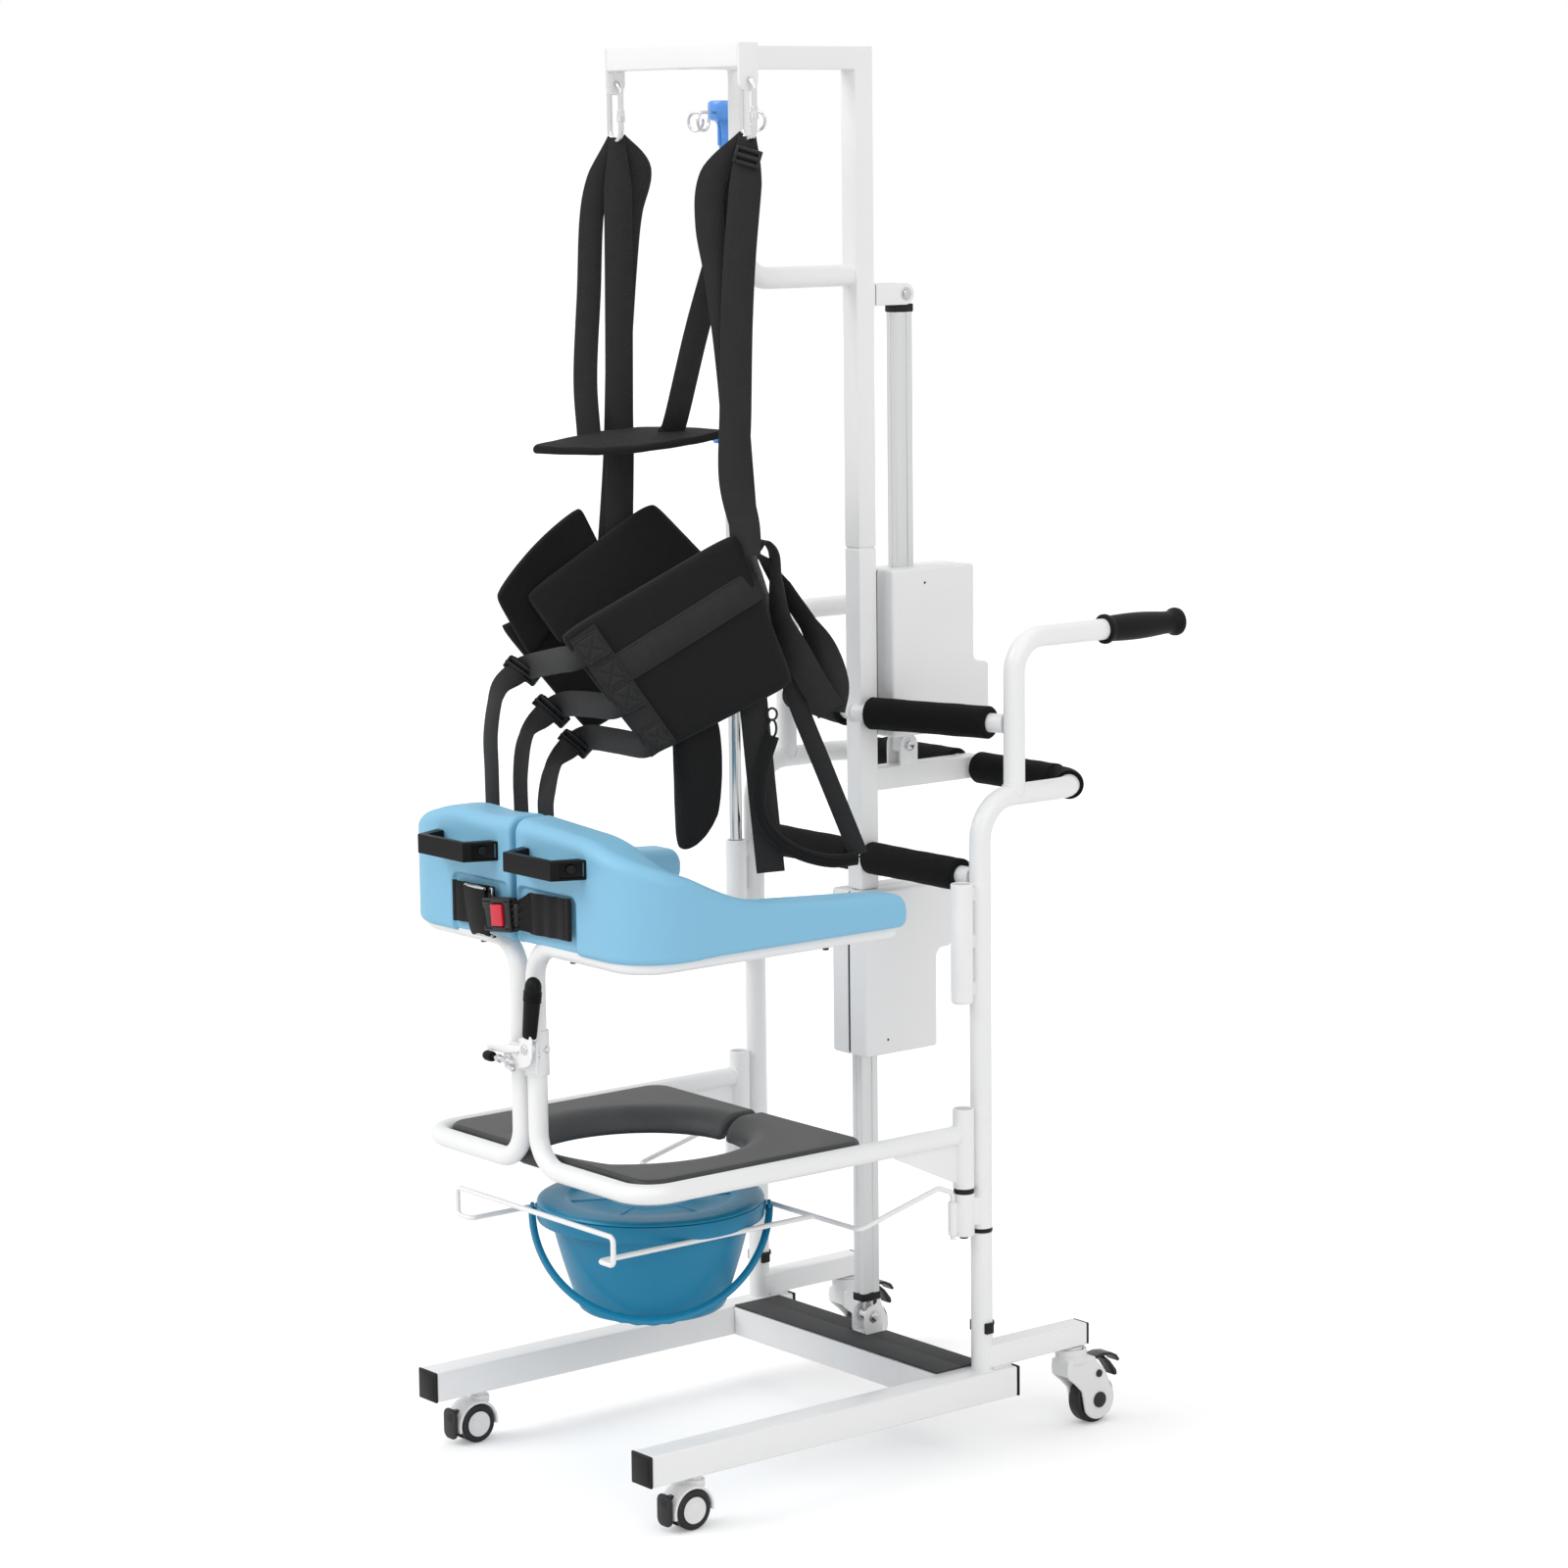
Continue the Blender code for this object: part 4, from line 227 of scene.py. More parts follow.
def join(bm, piece, frame=None):
    """Adds a finished bmesh to another one, after moving it to its frame."""
    if frame is not None:
        bmesh.ops.transform(piece, matrix=frame, verts=piece.verts)
    mesh = baked(piece, "join")
    bm.from_mesh(mesh)
    bpy.data.meshes.remove(mesh)
    return bm


def circle(count):
    """Angles in equal steps all the way round."""
    return [2 * pi * i / count for i in range(count)]


def add_block(bm, low, high, rounding=0.002, steps=3, frame=None):
    """A block with all its edges rounded."""
    piece = bmesh.new()
    bmesh.ops.create_cube(piece, size=1)
    low, high = Vector(low), Vector(high)
    size = Matrix.Diagonal(high - low).to_4x4()
    bmesh.ops.transform(piece, matrix=Matrix.Translation((low + high) / 2) @ size, verts=piece.verts)
    if rounding:
        bmesh.ops.bevel(piece, geom=piece.edges[:], offset=rounding, segments=steps, profile=0.5, affect="EDGES")
    return join(bm, piece, frame)


def add_turned(bm, profile, frame=None, steps=40):
    """A profile of (radius, height) turned about the frame's Z. Its ends meet the axis or each other."""
    piece = bmesh.new()
    rows = []
    for radius, height in profile:
        if radius < 1e-7:
            rows.append([piece.verts.new((0, 0, height))] * steps)
        else:
            spots = [(radius * cos(a), radius * sin(a), height) for a in circle(steps)]
            rows.append([piece.verts.new(spot) for spot in spots])
    if profile[0][0] > 1e-7 or profile[-1][0] > 1e-7:
        rows.append(rows[0])
    for row, after in zip(rows, rows[1:]):
        for i in range(steps):
            corners = [row[i - 1], row[i], after[i], after[i - 1]]
            piece.faces.new(list(dict.fromkeys(corners)))
    return join(bm, piece, frame)


def standing(x, y, z=0.0):
    """A frame on the bench whose Z points up."""
    return Matrix.Translation((x, y, z))


def along_x(x, y, z, sense=1):
    """A frame whose Z points along +X, or along -X."""
    return Matrix.Translation((x, y, z)) @ Matrix.Rotation(sense * pi / 2, 4, "Y")


def along_y(x, y, z, sense=1):
    """A frame whose Z points along +Y, or along -Y."""
    return Matrix.Translation((x, y, z)) @ Matrix.Rotation(-sense * pi / 2, 4, "X")


def add_bar(bm, frame, radius, low, high, rounding=0.001, steps=40):
    """A solid round bar with eased ends, along the frame's Z."""
    turns = [radians(a) for a in (0, 30, 60, 90)]
    top = [(radius - rounding + rounding * sin(a), high - rounding + rounding * cos(a)) for a in turns]
    low_end = [(r, low + high - h) for r, h in reversed(top)]
    return add_turned(bm, [(0, high)] + top + low_end + [(0, low)], frame, steps)


def add_pipe(bm, frame, radius, inner, low, high, rounding=0.0008, steps=40):
    """An open pipe with eased rims, along the frame's Z."""
    mid = (radius + inner) / 2
    profile = [
        (inner, low + rounding), (inner, high - rounding), (inner + rounding, high), (mid, high),
        (radius - rounding, high), (radius, high - rounding), (radius, low + rounding),
        (radius - rounding, low), (mid, low), (inner + rounding, low),
    ]
    return add_turned(bm, profile, frame, steps)


def add_bead(bm, frame, radius, bead, steps=40):
    """A small weld bead or ring round the frame's Z."""
    profile = [(radius + bead * cos(a), bead * sin(a)) for a in circle(10)]
    return add_turned(bm, profile, frame, steps)


def show(name, shape, finish, body, *replaced, sharp=38):
    """Turns a bmesh or mesh into a finished piece that rides on a body, for the CAD nodes it replaces."""
    if isinstance(shape, bmesh.types.BMesh):
        bmesh.ops.recalc_face_normals(shape, faces=shape.faces)
        shape = baked(shape, name)
    shape.transform(Matrix.Translation(bench))
    shape.shade_smooth()
    shape.set_sharp_from_angle(angle=radians(sharp))
    shape.materials.clear()
    shape.materials.append(finish)
    piece = bpy.data.objects.new(name, shape)
    scene.collection.objects.link(piece)
    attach(piece, body)
    if replaced:
        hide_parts(*replaced)
    return piece


for hand, side in SIDES.items():
    x = side * LEG_X
    leg = bmesh.new()
    add_block(leg, (x - LEG_HALF, LEG_FRONT, LEG_LOW), (x + LEG_HALF, LEG_REAR, LEG_TOP), 0.0032, 4)
    add_bar(leg, standing(x, POST_Y), TUBE_R, 0.1, 0.294)
    add_bead(leg, standing(x, POST_Y, LEG_TOP), TUBE_R, 0.0016)
    add_block(leg, (x - 0.015, POST_Y, 0.112), (x + 0.015, STUB_REAR, 0.142), 0.0025, 4)
    add_block(leg, (x - 0.012, 0.566, 0.105), (x + 0.012, 0.598, 0.115), 0.002, 3)
    show(f"leg_frame_{hand}", leg, powder_white, "base", f"leg_{hand}")

    plugs = bmesh.new()
    for mid_z, y, outward, size in (
        (0.088, LEG_FRONT, -1, 0.0203), (0.088, LEG_REAR, 1, 0.0203), (0.127, STUB_REAR, 1, 0.0145)
    ):
        ends = sorted((y, y + outward * 0.0038))
        low, high = (x - size, ends[0], mid_z - size), (x + size, ends[1], mid_z + size)
        add_block(plugs, low, high, 0.0015, 3)
        inner = size - 0.0045
        face = sorted((y, y + outward * 0.0045))
        add_block(plugs, (x - inner, face[0], mid_z - inner), (x + inner, face[1], mid_z + inner), 0.0006, 2)
    add_pipe(plugs, standing(x, POST_Y), TUBE_R + 0.0006, 0.011, 0.2941, 0.2996)
    show(f"leg_plugs_{hand}", plugs, plug_black, "base")

    guide = bmesh.new()
    add_bar(guide, standing(x, POST_Y), 0.011, 0.28, 0.714, 0.0015)
    show(f"guide_{hand}", guide, guide_steel, "base")

    # A black clip with its rivet holds the post's cross bolt.
    clip = bmesh.new()
    for end in (-1, 1):
        low, high = sorted((end * 0.011, end * 0.0172))
        add_block(clip, (x + low, POST_Y - 0.0066, 0.159), (x + high, POST_Y + 0.0066, 0.1735), 0.0014)
    add_bar(clip, along_y(x, POST_Y + 0.013, 0.1685), 0.0048, 0.0, 0.0055, 0.0012)
    show(f"post_clip_{hand}", clip, plug_black, "base")


# Footplate: a wide steel beam between the legs, with a black rubber mat glued on top and a
# folded bracket that holds the foot of the lower lifting actuator.

BEAM_HALF, FOOT_Z, EAR_IN, EAR_OUT = 0.2147, 0.132, 0.0107, 0.0146
beam = bmesh.new()
add_block(beam, (-BEAM_HALF, 0.495, LEG_LOW), (BEAM_HALF, 0.575, LEG_TOP), 0.0032, 4)
for side in SIDES.values():
    for y in (0.4985, 0.5715):
        x = side * BEAM_HALF
        add_block(beam, (x - 0.0012, y - 0.0014, 0.072), (x + 0.0012, y + 0.0014, 0.105), 0.001, 2)
show("footplate_tube", beam, powder_white, "base", "footplate_beam")


def mat_rubber():
    """Pressed rubber matting with small ribs, drawn as a fine bump of small cells with a coarse grain and a dusty
    grey bloom.
    """
    finish, shader, start = new_finish("ribbed_mat_rubber", "black_rubber", Specular_IOR_Level=0.35)
    where = start.node("TexCoord", out="Object")
    pebble = start.node("TexVoronoi", {"feature": "F1"}, {"Vector": where, "Scale": 420.0})
    dust = start.noise(where, 26.0, 5.0, 0.65)
    bloom = start.mix(dust, (0.02, 0.02, 0.021), (0.062, 0.063, 0.065))
    start.surface(shader, bloom, 0.62 + dust * 0.2, pebble + dust * 0.3, 0.0006)
    return finish


mat_black = mat_rubber()
mat = bmesh.new()
MAT_LOW, MAT_HIGH, MAT_HALF, NOTCH = 0.1083, 0.1112, 0.2144, 0.0192
add_block(mat, (-MAT_HALF, 0.4956, MAT_LOW), (MAT_HALF, 0.5398, MAT_HIGH), 0.001, 2)
for side in SIDES.values():
    ends = sorted((side * NOTCH, side * MAT_HALF))
    add_block(mat, (ends[0], 0.5385, MAT_LOW), (ends[1], 0.5744, MAT_HIGH), 0.001, 2)
show("footplate_cover", mat, mat_black, "base", "footplate_mat")


def add_loft(bm, sections):
    """A skin over closed sections of points, with its two ends closed."""
    rows = [[bm.verts.new(point) for point in section] for section in sections]
    for row, after in zip(rows, rows[1:]):
        for i in range(len(row)):
            bm.faces.new((row[i - 1], row[i], after[i], after[i - 1]))
    bm.faces.new(rows[0])
    bm.faces.new(rows[-1][::-1])
    return bm


def add_plate(bm, outline, low, high, frame=None, rounding=0.0006, steps=2):
    """An outline of (x, y) points made solid between two heights, with eased or sharp edges."""
    piece = bmesh.new()
    if not rounding:
        add_loft(piece, [[(px, py, z) for px, py in outline] for z in (low, high)])
        return join(bm, piece, frame)
    floor_face = piece.faces.new([piece.verts.new((px, py, low)) for px, py in outline])
    grown = bmesh.ops.extrude_face_region(piece, geom=[floor_face])
    raised = [v for v in grown["geom"] if isinstance(v, bmesh.types.BMVert)]
    bmesh.ops.translate(piece, verts=raised, vec=(0, 0, high - low))
    bmesh.ops.recalc_face_normals(piece, faces=piece.faces)
    rims = [e for e in piece.edges if abs(e.verts[0].co.z - e.verts[1].co.z) < 1e-9]
    bmesh.ops.bevel(piece, geom=rims, offset=rounding, segments=steps, profile=0.5, affect="EDGES")
    return join(bm, piece, frame)


def arc(centre, radius, start, end, steps=10):
    turns = [radians(start + (end - start) * i / steps) for i in range(steps + 1)]
    return [(centre[0] + radius * cos(a), centre[1] + radius * sin(a)) for a in turns]


def side_on(x):
    """Sets an outline upright: its x runs along +Y, its y up and its thickness along +X."""
    return Matrix(((0, 0, 1, x), (1, 0, 0, 0), (0, 1, 0, 0), (0, 0, 0, 1)))


def add_clevis(bm, y, foot_z, bolt_z, reach=0.015):
    """Two ears with round ends on each side of an actuator's eye."""
    up = 1 if bolt_z > foot_z else -1
    for side in SIDES.values():
        outline = [(y - reach, foot_z), (y + reach, foot_z)]
        outline += arc((y, bolt_z), reach, 0, up * 180, 14)
        low, high = sorted((side * EAR_IN, side * EAR_OUT))
        add_plate(bm, outline if up > 0 else outline[::-1], low, high, side_on(0), 0.0008)
    return bm


def add_hex_bolt(bm, frame, across=0.0065, height=0.004):
    """A hexagon head on a washer, standing on the frame's origin."""
    add_bar(bm, frame, across * 1.3, 0.0, 0.0009, 0.0003, 24)
    head = [(0, height), (across * 0.82, height), (across, height * 0.8), (across, 0.0009), (0, 0.0009)]
    return add_turned(bm, head, frame, 6)


def add_ear_bolts(bm, y, z):
    """The bolt heads on the outer faces of a pair of ears."""
    for side in SIDES.values():
        add_hex_bolt(bm, along_x(side * EAR_OUT, y, z, side), 0.0066, 0.0038)
    return bm


def add_piston(bm, y, eye_z, low, high):
    """An actuator's rod with the eye at one of its ends."""
    add_bar(bm, along_x(0, y, eye_z), 0.01, -0.0098, 0.0098)
    return add_bar(bm, standing(0, y), 0.0079, low, high)


bracket = bmesh.new()
add_block(bracket, (-EAR_OUT, 0.541, 0.1083), (EAR_OUT, 0.571, 0.1125), 0.001)
add_clevis(bracket, POST_Y, 0.1105, FOOT_Z)
show("actuator_foot", bracket, powder_white, "base", "actuator_foot_bracket")
bolts = add_ear_bolts(bmesh.new(), POST_Y, FOOT_Z)
show("actuator_foot_bolt", bolts, guide_steel, "base")
lower_rod = add_piston(bmesh.new(), POST_Y, FOOT_Z, FOOT_Z, 0.47)
show("lower_piston", lower_rod, guide_steel, "base", "lower_lift_rod")


# Front casters: twin rubber wheels on one axle under a white moulded hood, each with a black
# brake paddle at the front. The hood turns on a steel stem pressed into the leg.

hood_white = painted(
    "white_caster_plastic", "white_cover_plastic", (0.8, 0.8, 0.8), (0.74, 0.74, 0.745), 0.3, 0.002, 0.00006,
    coat=0.1
)
tyre_black = painted(
    "black_tyre_rubber", "black_rubber", (0.012, 0.012, 0.0125), (0.007, 0.007, 0.0075), 0.42, 0.0009, 0.00006,
    specular=0.4
)
pedal_black = painted(
    "black_pedal_plastic", "black_plastic", (0.012, 0.012, 0.013), (0.007, 0.007, 0.0075), 0.36, 0.001, 0.0001,
    specular=0.4
)
FRONT_AXLE_Y, FRONT_R = 0.07, 0.0255


def front_on(y):
    """Sets an outline upright: its x runs along +X, its y up and its thickness toward the front."""
    return Matrix(((1, 0, 0, 0), (0, 0, -1, y), (0, 1, 0, 0), (0, 0, 0, 1)))


def loose_object(bm, name):
    """A bmesh as an object of its own, for modifiers to work on."""
    bmesh.ops.recalc_face_normals(bm, faces=bm.faces)
    loose = bpy.data.objects.new(name, baked(bm, name))
    scene.collection.objects.link(loose)
    return loose


def modified(loose):
    """The mesh that an object's modifiers make of it."""
    graph = bpy.context.evaluated_depsgraph_get()
    return bpy.data.meshes.new_from_object(loose.evaluated_get(graph))


def moulded(bm, voxel, passes):
    """Runs overlapping shapes together into one soft edged moulding."""
    core = loose_object(bm, "moulding")
    skin = core.modifiers.new("skin", "REMESH")
    skin.mode, skin.voxel_size = "VOXEL", voxel
    ease = core.modifiers.new("ease", "SMOOTH")
    ease.factor, ease.iterations = 0.5, passes
    result = modified(core)
    bpy.data.meshes.remove(core.data)
    return result


for hand, side in SIDES.items():
    x = side * LEG_X
    name = f"front_{hand}"
    axle = (FRONT_AXLE_Y, FRONT_R)
    hood = bmesh.new()
    shell = arc(axle, 0.0305, -8, 196, 28) + arc(axle, 0.0272, 196, -8, 28)
    add_plate(hood, shell, -0.0166, 0.0166, side_on(x), 0.0007)
    web = arc(axle, 0.0125, 180, 330, 12) + [(0.088, 0.05), (0.078, 0.0545), (0.058, 0.05)]
    add_plate(hood, web, -0.0048, 0.0048, side_on(x), 0.0008)
    add_bar(hood, standing(x, 0.083), 0.0125, 0.05, 0.0605, 0.0015)
    add_bar(hood, standing(x, 0.083), 0.009, 0.058, 0.0677, 0.0008)
    show(f"{name}_hood", hood, hood_white, f"{name}_caster", f"{name}_caster_fork")

    tyres, hubs = bmesh.new(), bmesh.new()
    for end in (-1, 1):
        out = along_x(x, *axle, end)
        tread = [(0, 0.0167), (0.0172, 0.0167), (0.018, 0.0158), (0.0195, 0.0166), (0.0225, 0.0166)]
        tread += [(0.0225 + 0.003 * sin(a), 0.0136 + 0.003 * cos(a)) for a in (0.4, 0.8, 1.2, pi / 2)]
        tread += [(0.0255, 0.008), (0.0245, 0.006), (0.0225, 0.0056), (0, 0.0056)]
        add_turned(tyres, tread, out, 56)
        disc = [(0, 0.0176), (0.004, 0.0176), (0.0046, 0.017), (0.014, 0.0168), (0.015, 0.0175)]
        disc += [(0.0164, 0.0175), (0.017, 0.0168), (0.017, 0.016), (0, 0.016)]
        add_turned(hubs, disc, out, 48)
    add_bar(tyres, along_x(x, *axle), 0.0038, -0.006, 0.006, 0.0005, 20)
    show(f"{name}_tyres", tyres, tyre_black, f"{name}_wheel", f"{name}_wheels")
    show(f"{name}_hubs", hubs, hood_white, f"{name}_wheel")

    paddle = bmesh.new()
    tip = FRONT_AXLE_Y - FRONT_R - 0.0033
    tongue = []
    for turn, (across, height) in zip((-90, 0, 90, 180), ((1, 0.0185), (1, 0.0395), (-1, 0.0395), (-1, 0.0185))):
        tongue += arc((x + across * 0.0042, height), 0.01, turn, turn + 90, 8)
    add_plate(paddle, tongue, 0.0, 0.0046, front_on(tip - 0.003), 0.0016, 3)
    for height in (0.0335, 0.037, 0.0405):
        add_block(paddle, (x - 0.006, tip - 0.0086, height), (x + 0.006, tip - 0.006, height + 0.0014), 0.0006, 2)
    add_block(paddle, (x - 0.0042, tip - 0.004, 0.0125), (x + 0.0042, 0.054, 0.0215), 0.0012)
    add_block(paddle, (x - 0.0045, tip - 0.003, 0.0405), (x + 0.0045, 0.0576, 0.0462), 0.0012)
    show(f"{name}_paddle", paddle, pedal_black, f"{name}_brake", f"{name}_brake_pedal")


# Rear casters: a braked wheel in a white moulded fork, with round cheeks and a swivel cup on a
# chromed nut. Two dark leaves of the total lock brake stick out behind.

REAR_STEM_Y, REAR_AXLE_Y, REAR_R = 0.713, 0.749, 0.033
CHEEK_IN, CHEEK_OUT = 0.0116, 0.0168
for hand, side in SIDES.items():
    x = side * LEG_X
    name = f"rear_{hand}"
    axle = (REAR_AXLE_Y, REAR_R)
    fork = bmesh.new()
    cheek = arc(axle, 0.0268, -150, 35, 26)
    cheek += [(0.76, 0.072), (0.746, 0.086), (0.742, 0.0938), (0.6935, 0.0938), (0.6925, 0.08)]
    cheek += [(0.696, 0.07), (0.708, 0.06), (0.72, 0.048)]
    for end in (-1, 1):
        low, high = sorted((end * CHEEK_IN, end * CHEEK_OUT))
        add_plate(fork, cheek, low, high, side_on(x), 0.0)
    bridge = [(0.693, 0.0725), (0.747, 0.0725), (0.746, 0.086), (0.742, 0.0938), (0.6935, 0.0938)]
    add_plate(fork, bridge, -CHEEK_OUT, CHEEK_OUT, side_on(x), 0.0)
    add_bar(fork, standing(x, REAR_STEM_Y), 0.0208, 0.088, 0.1, 0.002)
    fork_mesh = moulded(fork, 0.0011, 5)
    show(f"{name}_fork", fork_mesh, hood_white, f"{name}_caster", f"{name}_caster_fork", sharp=60)

    swivel = bmesh.new()
    add_pipe(swivel, standing(x, REAR_STEM_Y), 0.0213, 0.0165, 0.0985, 0.1078, 0.0012, 48)
    add_bar(swivel, standing(x, REAR_STEM_Y), 0.015, 0.0985, 0.1105, 0.001, 40)
    show(f"{name}_swivel_cup", swivel, hood_white, f"{name}_caster")
    hexagon = [(0, 0.1117), (0.0092, 0.1117), (0.01, 0.111), (0.01, 0.105), (0, 0.105)]
    nut = add_turned(bmesh.new(), hexagon, standing(x, REAR_STEM_Y), 6)
    show(f"{name}_swivel_nut", nut, guide_steel, f"{name}_caster")

    wheel, hub = bmesh.new(), bmesh.new()
    tread = [(0.0045, 0.0105), (0.02, 0.0105), (0.021, 0.0095), (0.0225, 0.0104), (0.029, 0.0104)]
    tread += [(0.029 + 0.004 * sin(a), 0.0064 + 0.004 * cos(a)) for a in (0.4, 0.8, 1.2, pi / 2)]
    tread += [(r, -h) for r, h in reversed(tread)]
    add_turned(wheel, tread, along_x(x, *axle), 64)
    show(f"{name}_tyre", wheel, tyre_black, f"{name}_wheel", f"{name}_wheel")
    for end in (-1, 1):
        face = end * 0.0166
        add_bar(hub, along_x(x + face, *axle, end), 0.0106, 0.0, 0.0024, 0.0006, 40)
        add_bar(hub, along_x(x + face, 0.748, 0.0695, end), 0.0052, 0.0, 0.0022, 0.0006, 28)
    show(f"{name}_hub_caps", hub, pedal_black, f"{name}_caster")

    leaves = bmesh.new()
    upper = [(0.7463, 0.0868), (0.7463, 0.0918), (0.762, 0.0936), (0.776, 0.0918), (0.786, 0.0868)]
    upper += [(0.7915, 0.0795), (0.789, 0.0772), (0.7825, 0.084), (0.7735, 0.0884), (0.76, 0.0892)]
    add_plate(leaves, upper, -0.0112, 0.0112, side_on(x), 0.001, 3)
    lower = [(0.764, 0.085), (0.7655, 0.088), (0.776, 0.079), (0.7868, 0.0655), (0.788, 0.059)]
    lower += [(0.784, 0.0582), (0.78, 0.0655), (0.7725, 0.076)]
    add_plate(leaves, lower, -0.0098, 0.0098, side_on(x), 0.001, 3)
    show(f"{name}_brake_leaves", leaves, pedal_black, f"{name}_brake", f"{name}_brake_pedal")


# Side frames: bent 28 mm steel tubes that slide on the guides, with a riser bent back into a
# push handle, an infusion socket on tabs and the hinge post of the seat. Powder coated white.

SIDE_TOP, REAR_BAR_Y, RISER_Y, HANDLE_Z, SIDE_BEND = 0.862, 0.742, 0.6156, 1.064, 0.055
HINGE_Y, SOCKET_Y = 0.526, 0.525


def rounded(points, bend, steps=12):
    """The corners of a path replaced by arcs of the bend radius."""
    points = [Vector(p) for p in points]
    path = [points[0]]
    for before, corner, after in zip(points, points[1:], points[2:]):
        back, onward = before - corner, after - corner
        half = back.angle(onward) / 2
        radius = min(bend, 0.49 * tan(half) * min(back.length, onward.length))
        back, onward = back.normalized(), onward.normalized()
        middle = corner + (back + onward).normalized() * radius / sin(half)
        first = corner + back * radius / tan(half) - middle
        axis = first.cross(corner - middle).normalized()
        sweep = pi - 2 * half
        path += [middle + Matrix.Rotation(sweep * i / steps, 3, axis) @ first for i in range(steps + 1)]
    return path + [points[-1]]


def ring(radius, steps=24):
    return [(radius * cos(a), radius * sin(a)) for a in circle(steps)]


def add_sweep(bm, path, section, wide=None, closed=False):
    """Carries a closed section of (across, out) points along a path, with its measures as a UV map.
    wide is the direction that across follows, one for the whole path or one for each point."""
    uv = bm.loops.layers.uv.verify()
    path = [Vector(p) for p in path]
    count = len(path)
    rows, marks, run, side = [], [], 0.0, None
    for i, point in enumerate(path):
        before = path[i - 1] if i or closed else point
        after = path[(i + 1) % count] if closed or i + 1 < count else point
        along = (after - before).normalized()
        guide = wide[i] if isinstance(wide, list) else wide
        if guide is None:
            guide = side if side is not None else along.orthogonal()
        side = (guide - along * guide.dot(along)).normalized()
        out = along.cross(side)
        shape = section(i / (count - 1)) if callable(section) else section
        rows.append([bm.verts.new(point + side * a + out * b) for a, b in shape])
        run += (point - path[i - 1]).length if i else 0.0
        marks.append(run)
    shape = section(0.0) if callable(section) else section
    girth = [0.0]
    for (a, b), (c, d) in zip(shape, shape[1:] + shape[:1]):
        girth.append(girth[-1] + hypot(c - a, d - b))
    if closed:
        rows.append(rows[0])
        marks.append(run + (path[0] - path[-1]).length)
    size = len(shape)
    for i, (row, after) in enumerate(zip(rows, rows[1:])):
        for j in range(size):
            k = (j + 1) % size
            face = bm.faces.new((row[j], row[k], after[k], after[j]))
            spots = ((j, i), (j + 1, i), (j + 1, i + 1), (j, i + 1))
            for loop, (u, v) in zip(face.loops, spots):
                loop[uv].uv = (girth[u], marks[v])
    if not closed:
        bm.faces.new(rows[0][::-1])
        bm.faces.new(rows[-1])
    return bm


for hand, side in SIDES.items():
    x = side * LEG_X
    tubes = bmesh.new()
    main = [
        (x, POST_Y, 0.2998), (x, POST_Y, SIDE_TOP), (x, REAR_BAR_Y, SIDE_TOP),
        (side * 0.0145, REAR_BAR_Y, SIDE_TOP)
    ]
    add_sweep(tubes, rounded(main, SIDE_BEND), ring(TUBE_R, 32))
    handle = [(x, RISER_Y, SIDE_TOP), (x, RISER_Y, HANDLE_Z), (x, 0.905, HANDLE_Z)]
    add_sweep(tubes, rounded(handle, 0.045), ring(TUBE_R, 32))
    saddle = [(x + TUBE_R * 1.04 * cos(a), RISER_Y + TUBE_R * 1.04 * sin(a)) for a in circle(24)]
    bead = [Vector((px, py, SIDE_TOP + sqrt(max(0, TUBE_R**2 - (px - x) ** 2)) * 1.02)) for px, py in saddle]
    add_sweep(tubes, bead, ring(0.0016, 8), closed=True)
    add_pipe(tubes, standing(x, SOCKET_Y), 0.0145, 0.0112, 0.602, 0.756, 0.0008, 40)
    add_bar(tubes, standing(x, SOCKET_Y), 0.013, 0.6, 0.606, steps=40)
    for z in (0.6175, 0.679, 0.7405):
        add_block(
            tubes, (x - 0.0035, SOCKET_Y + 0.008, z - 0.0075), (x + 0.0035, POST_Y - 0.008, z + 0.0075), 0.001, 2
        )
        for y, reach in ((SOCKET_Y, 0.0145), (POST_Y, -TUBE_R)):
            add_block(
                tubes, (x - 0.0048, y + reach - 0.0015, z - 0.0088), (x + 0.0048, y + reach + 0.0015, z + 0.0088),
                0.0014, 2
            )
    add_bar(tubes, standing(x, HINGE_Y), TUBE_R, 0.294, 0.35, 0.0012, 40)
    add_block(tubes, (x - 0.011, HINGE_Y + 0.004, 0.3065), (x + 0.011, POST_Y - 0.004, 0.3433), 0.002)
    add_pipe(tubes, standing(x, 0.507), 0.006, 0.0034, 0.297, 0.341, 0.0006, 28)
    add_block(tubes, (x - 0.004, 0.509, 0.301), (x + 0.004, 0.515, 0.337), 0.001, 2)
    show(f"side_tubes_{hand}", tubes, powder_white, "carriage", f"side_frame_{hand}")

    fittings = bmesh.new()
    add_bar(fittings, standing(x, HINGE_Y), 0.0134, 0.3502, 0.3566, 0.0012, 40)
    add_bar(fittings, standing(x, HINGE_Y), 0.0062, 0.2895, 0.2945, 0.002, 24)
    show(f"hinge_washer_{hand}", fittings, plug_black, "carriage")
    pin = bmesh.new()
    add_bar(pin, standing(x, HINGE_Y), 0.0079, 0.35, 0.454, 0.0015, 32)
    show(f"hinge_pin_{hand}", pin, guide_steel, "carriage")


# Push handle grips: soft black rubber sleeves pulled over the handle ends. Each swells in the
# palm and has a collar at the front and a rounded knob at its closed end.

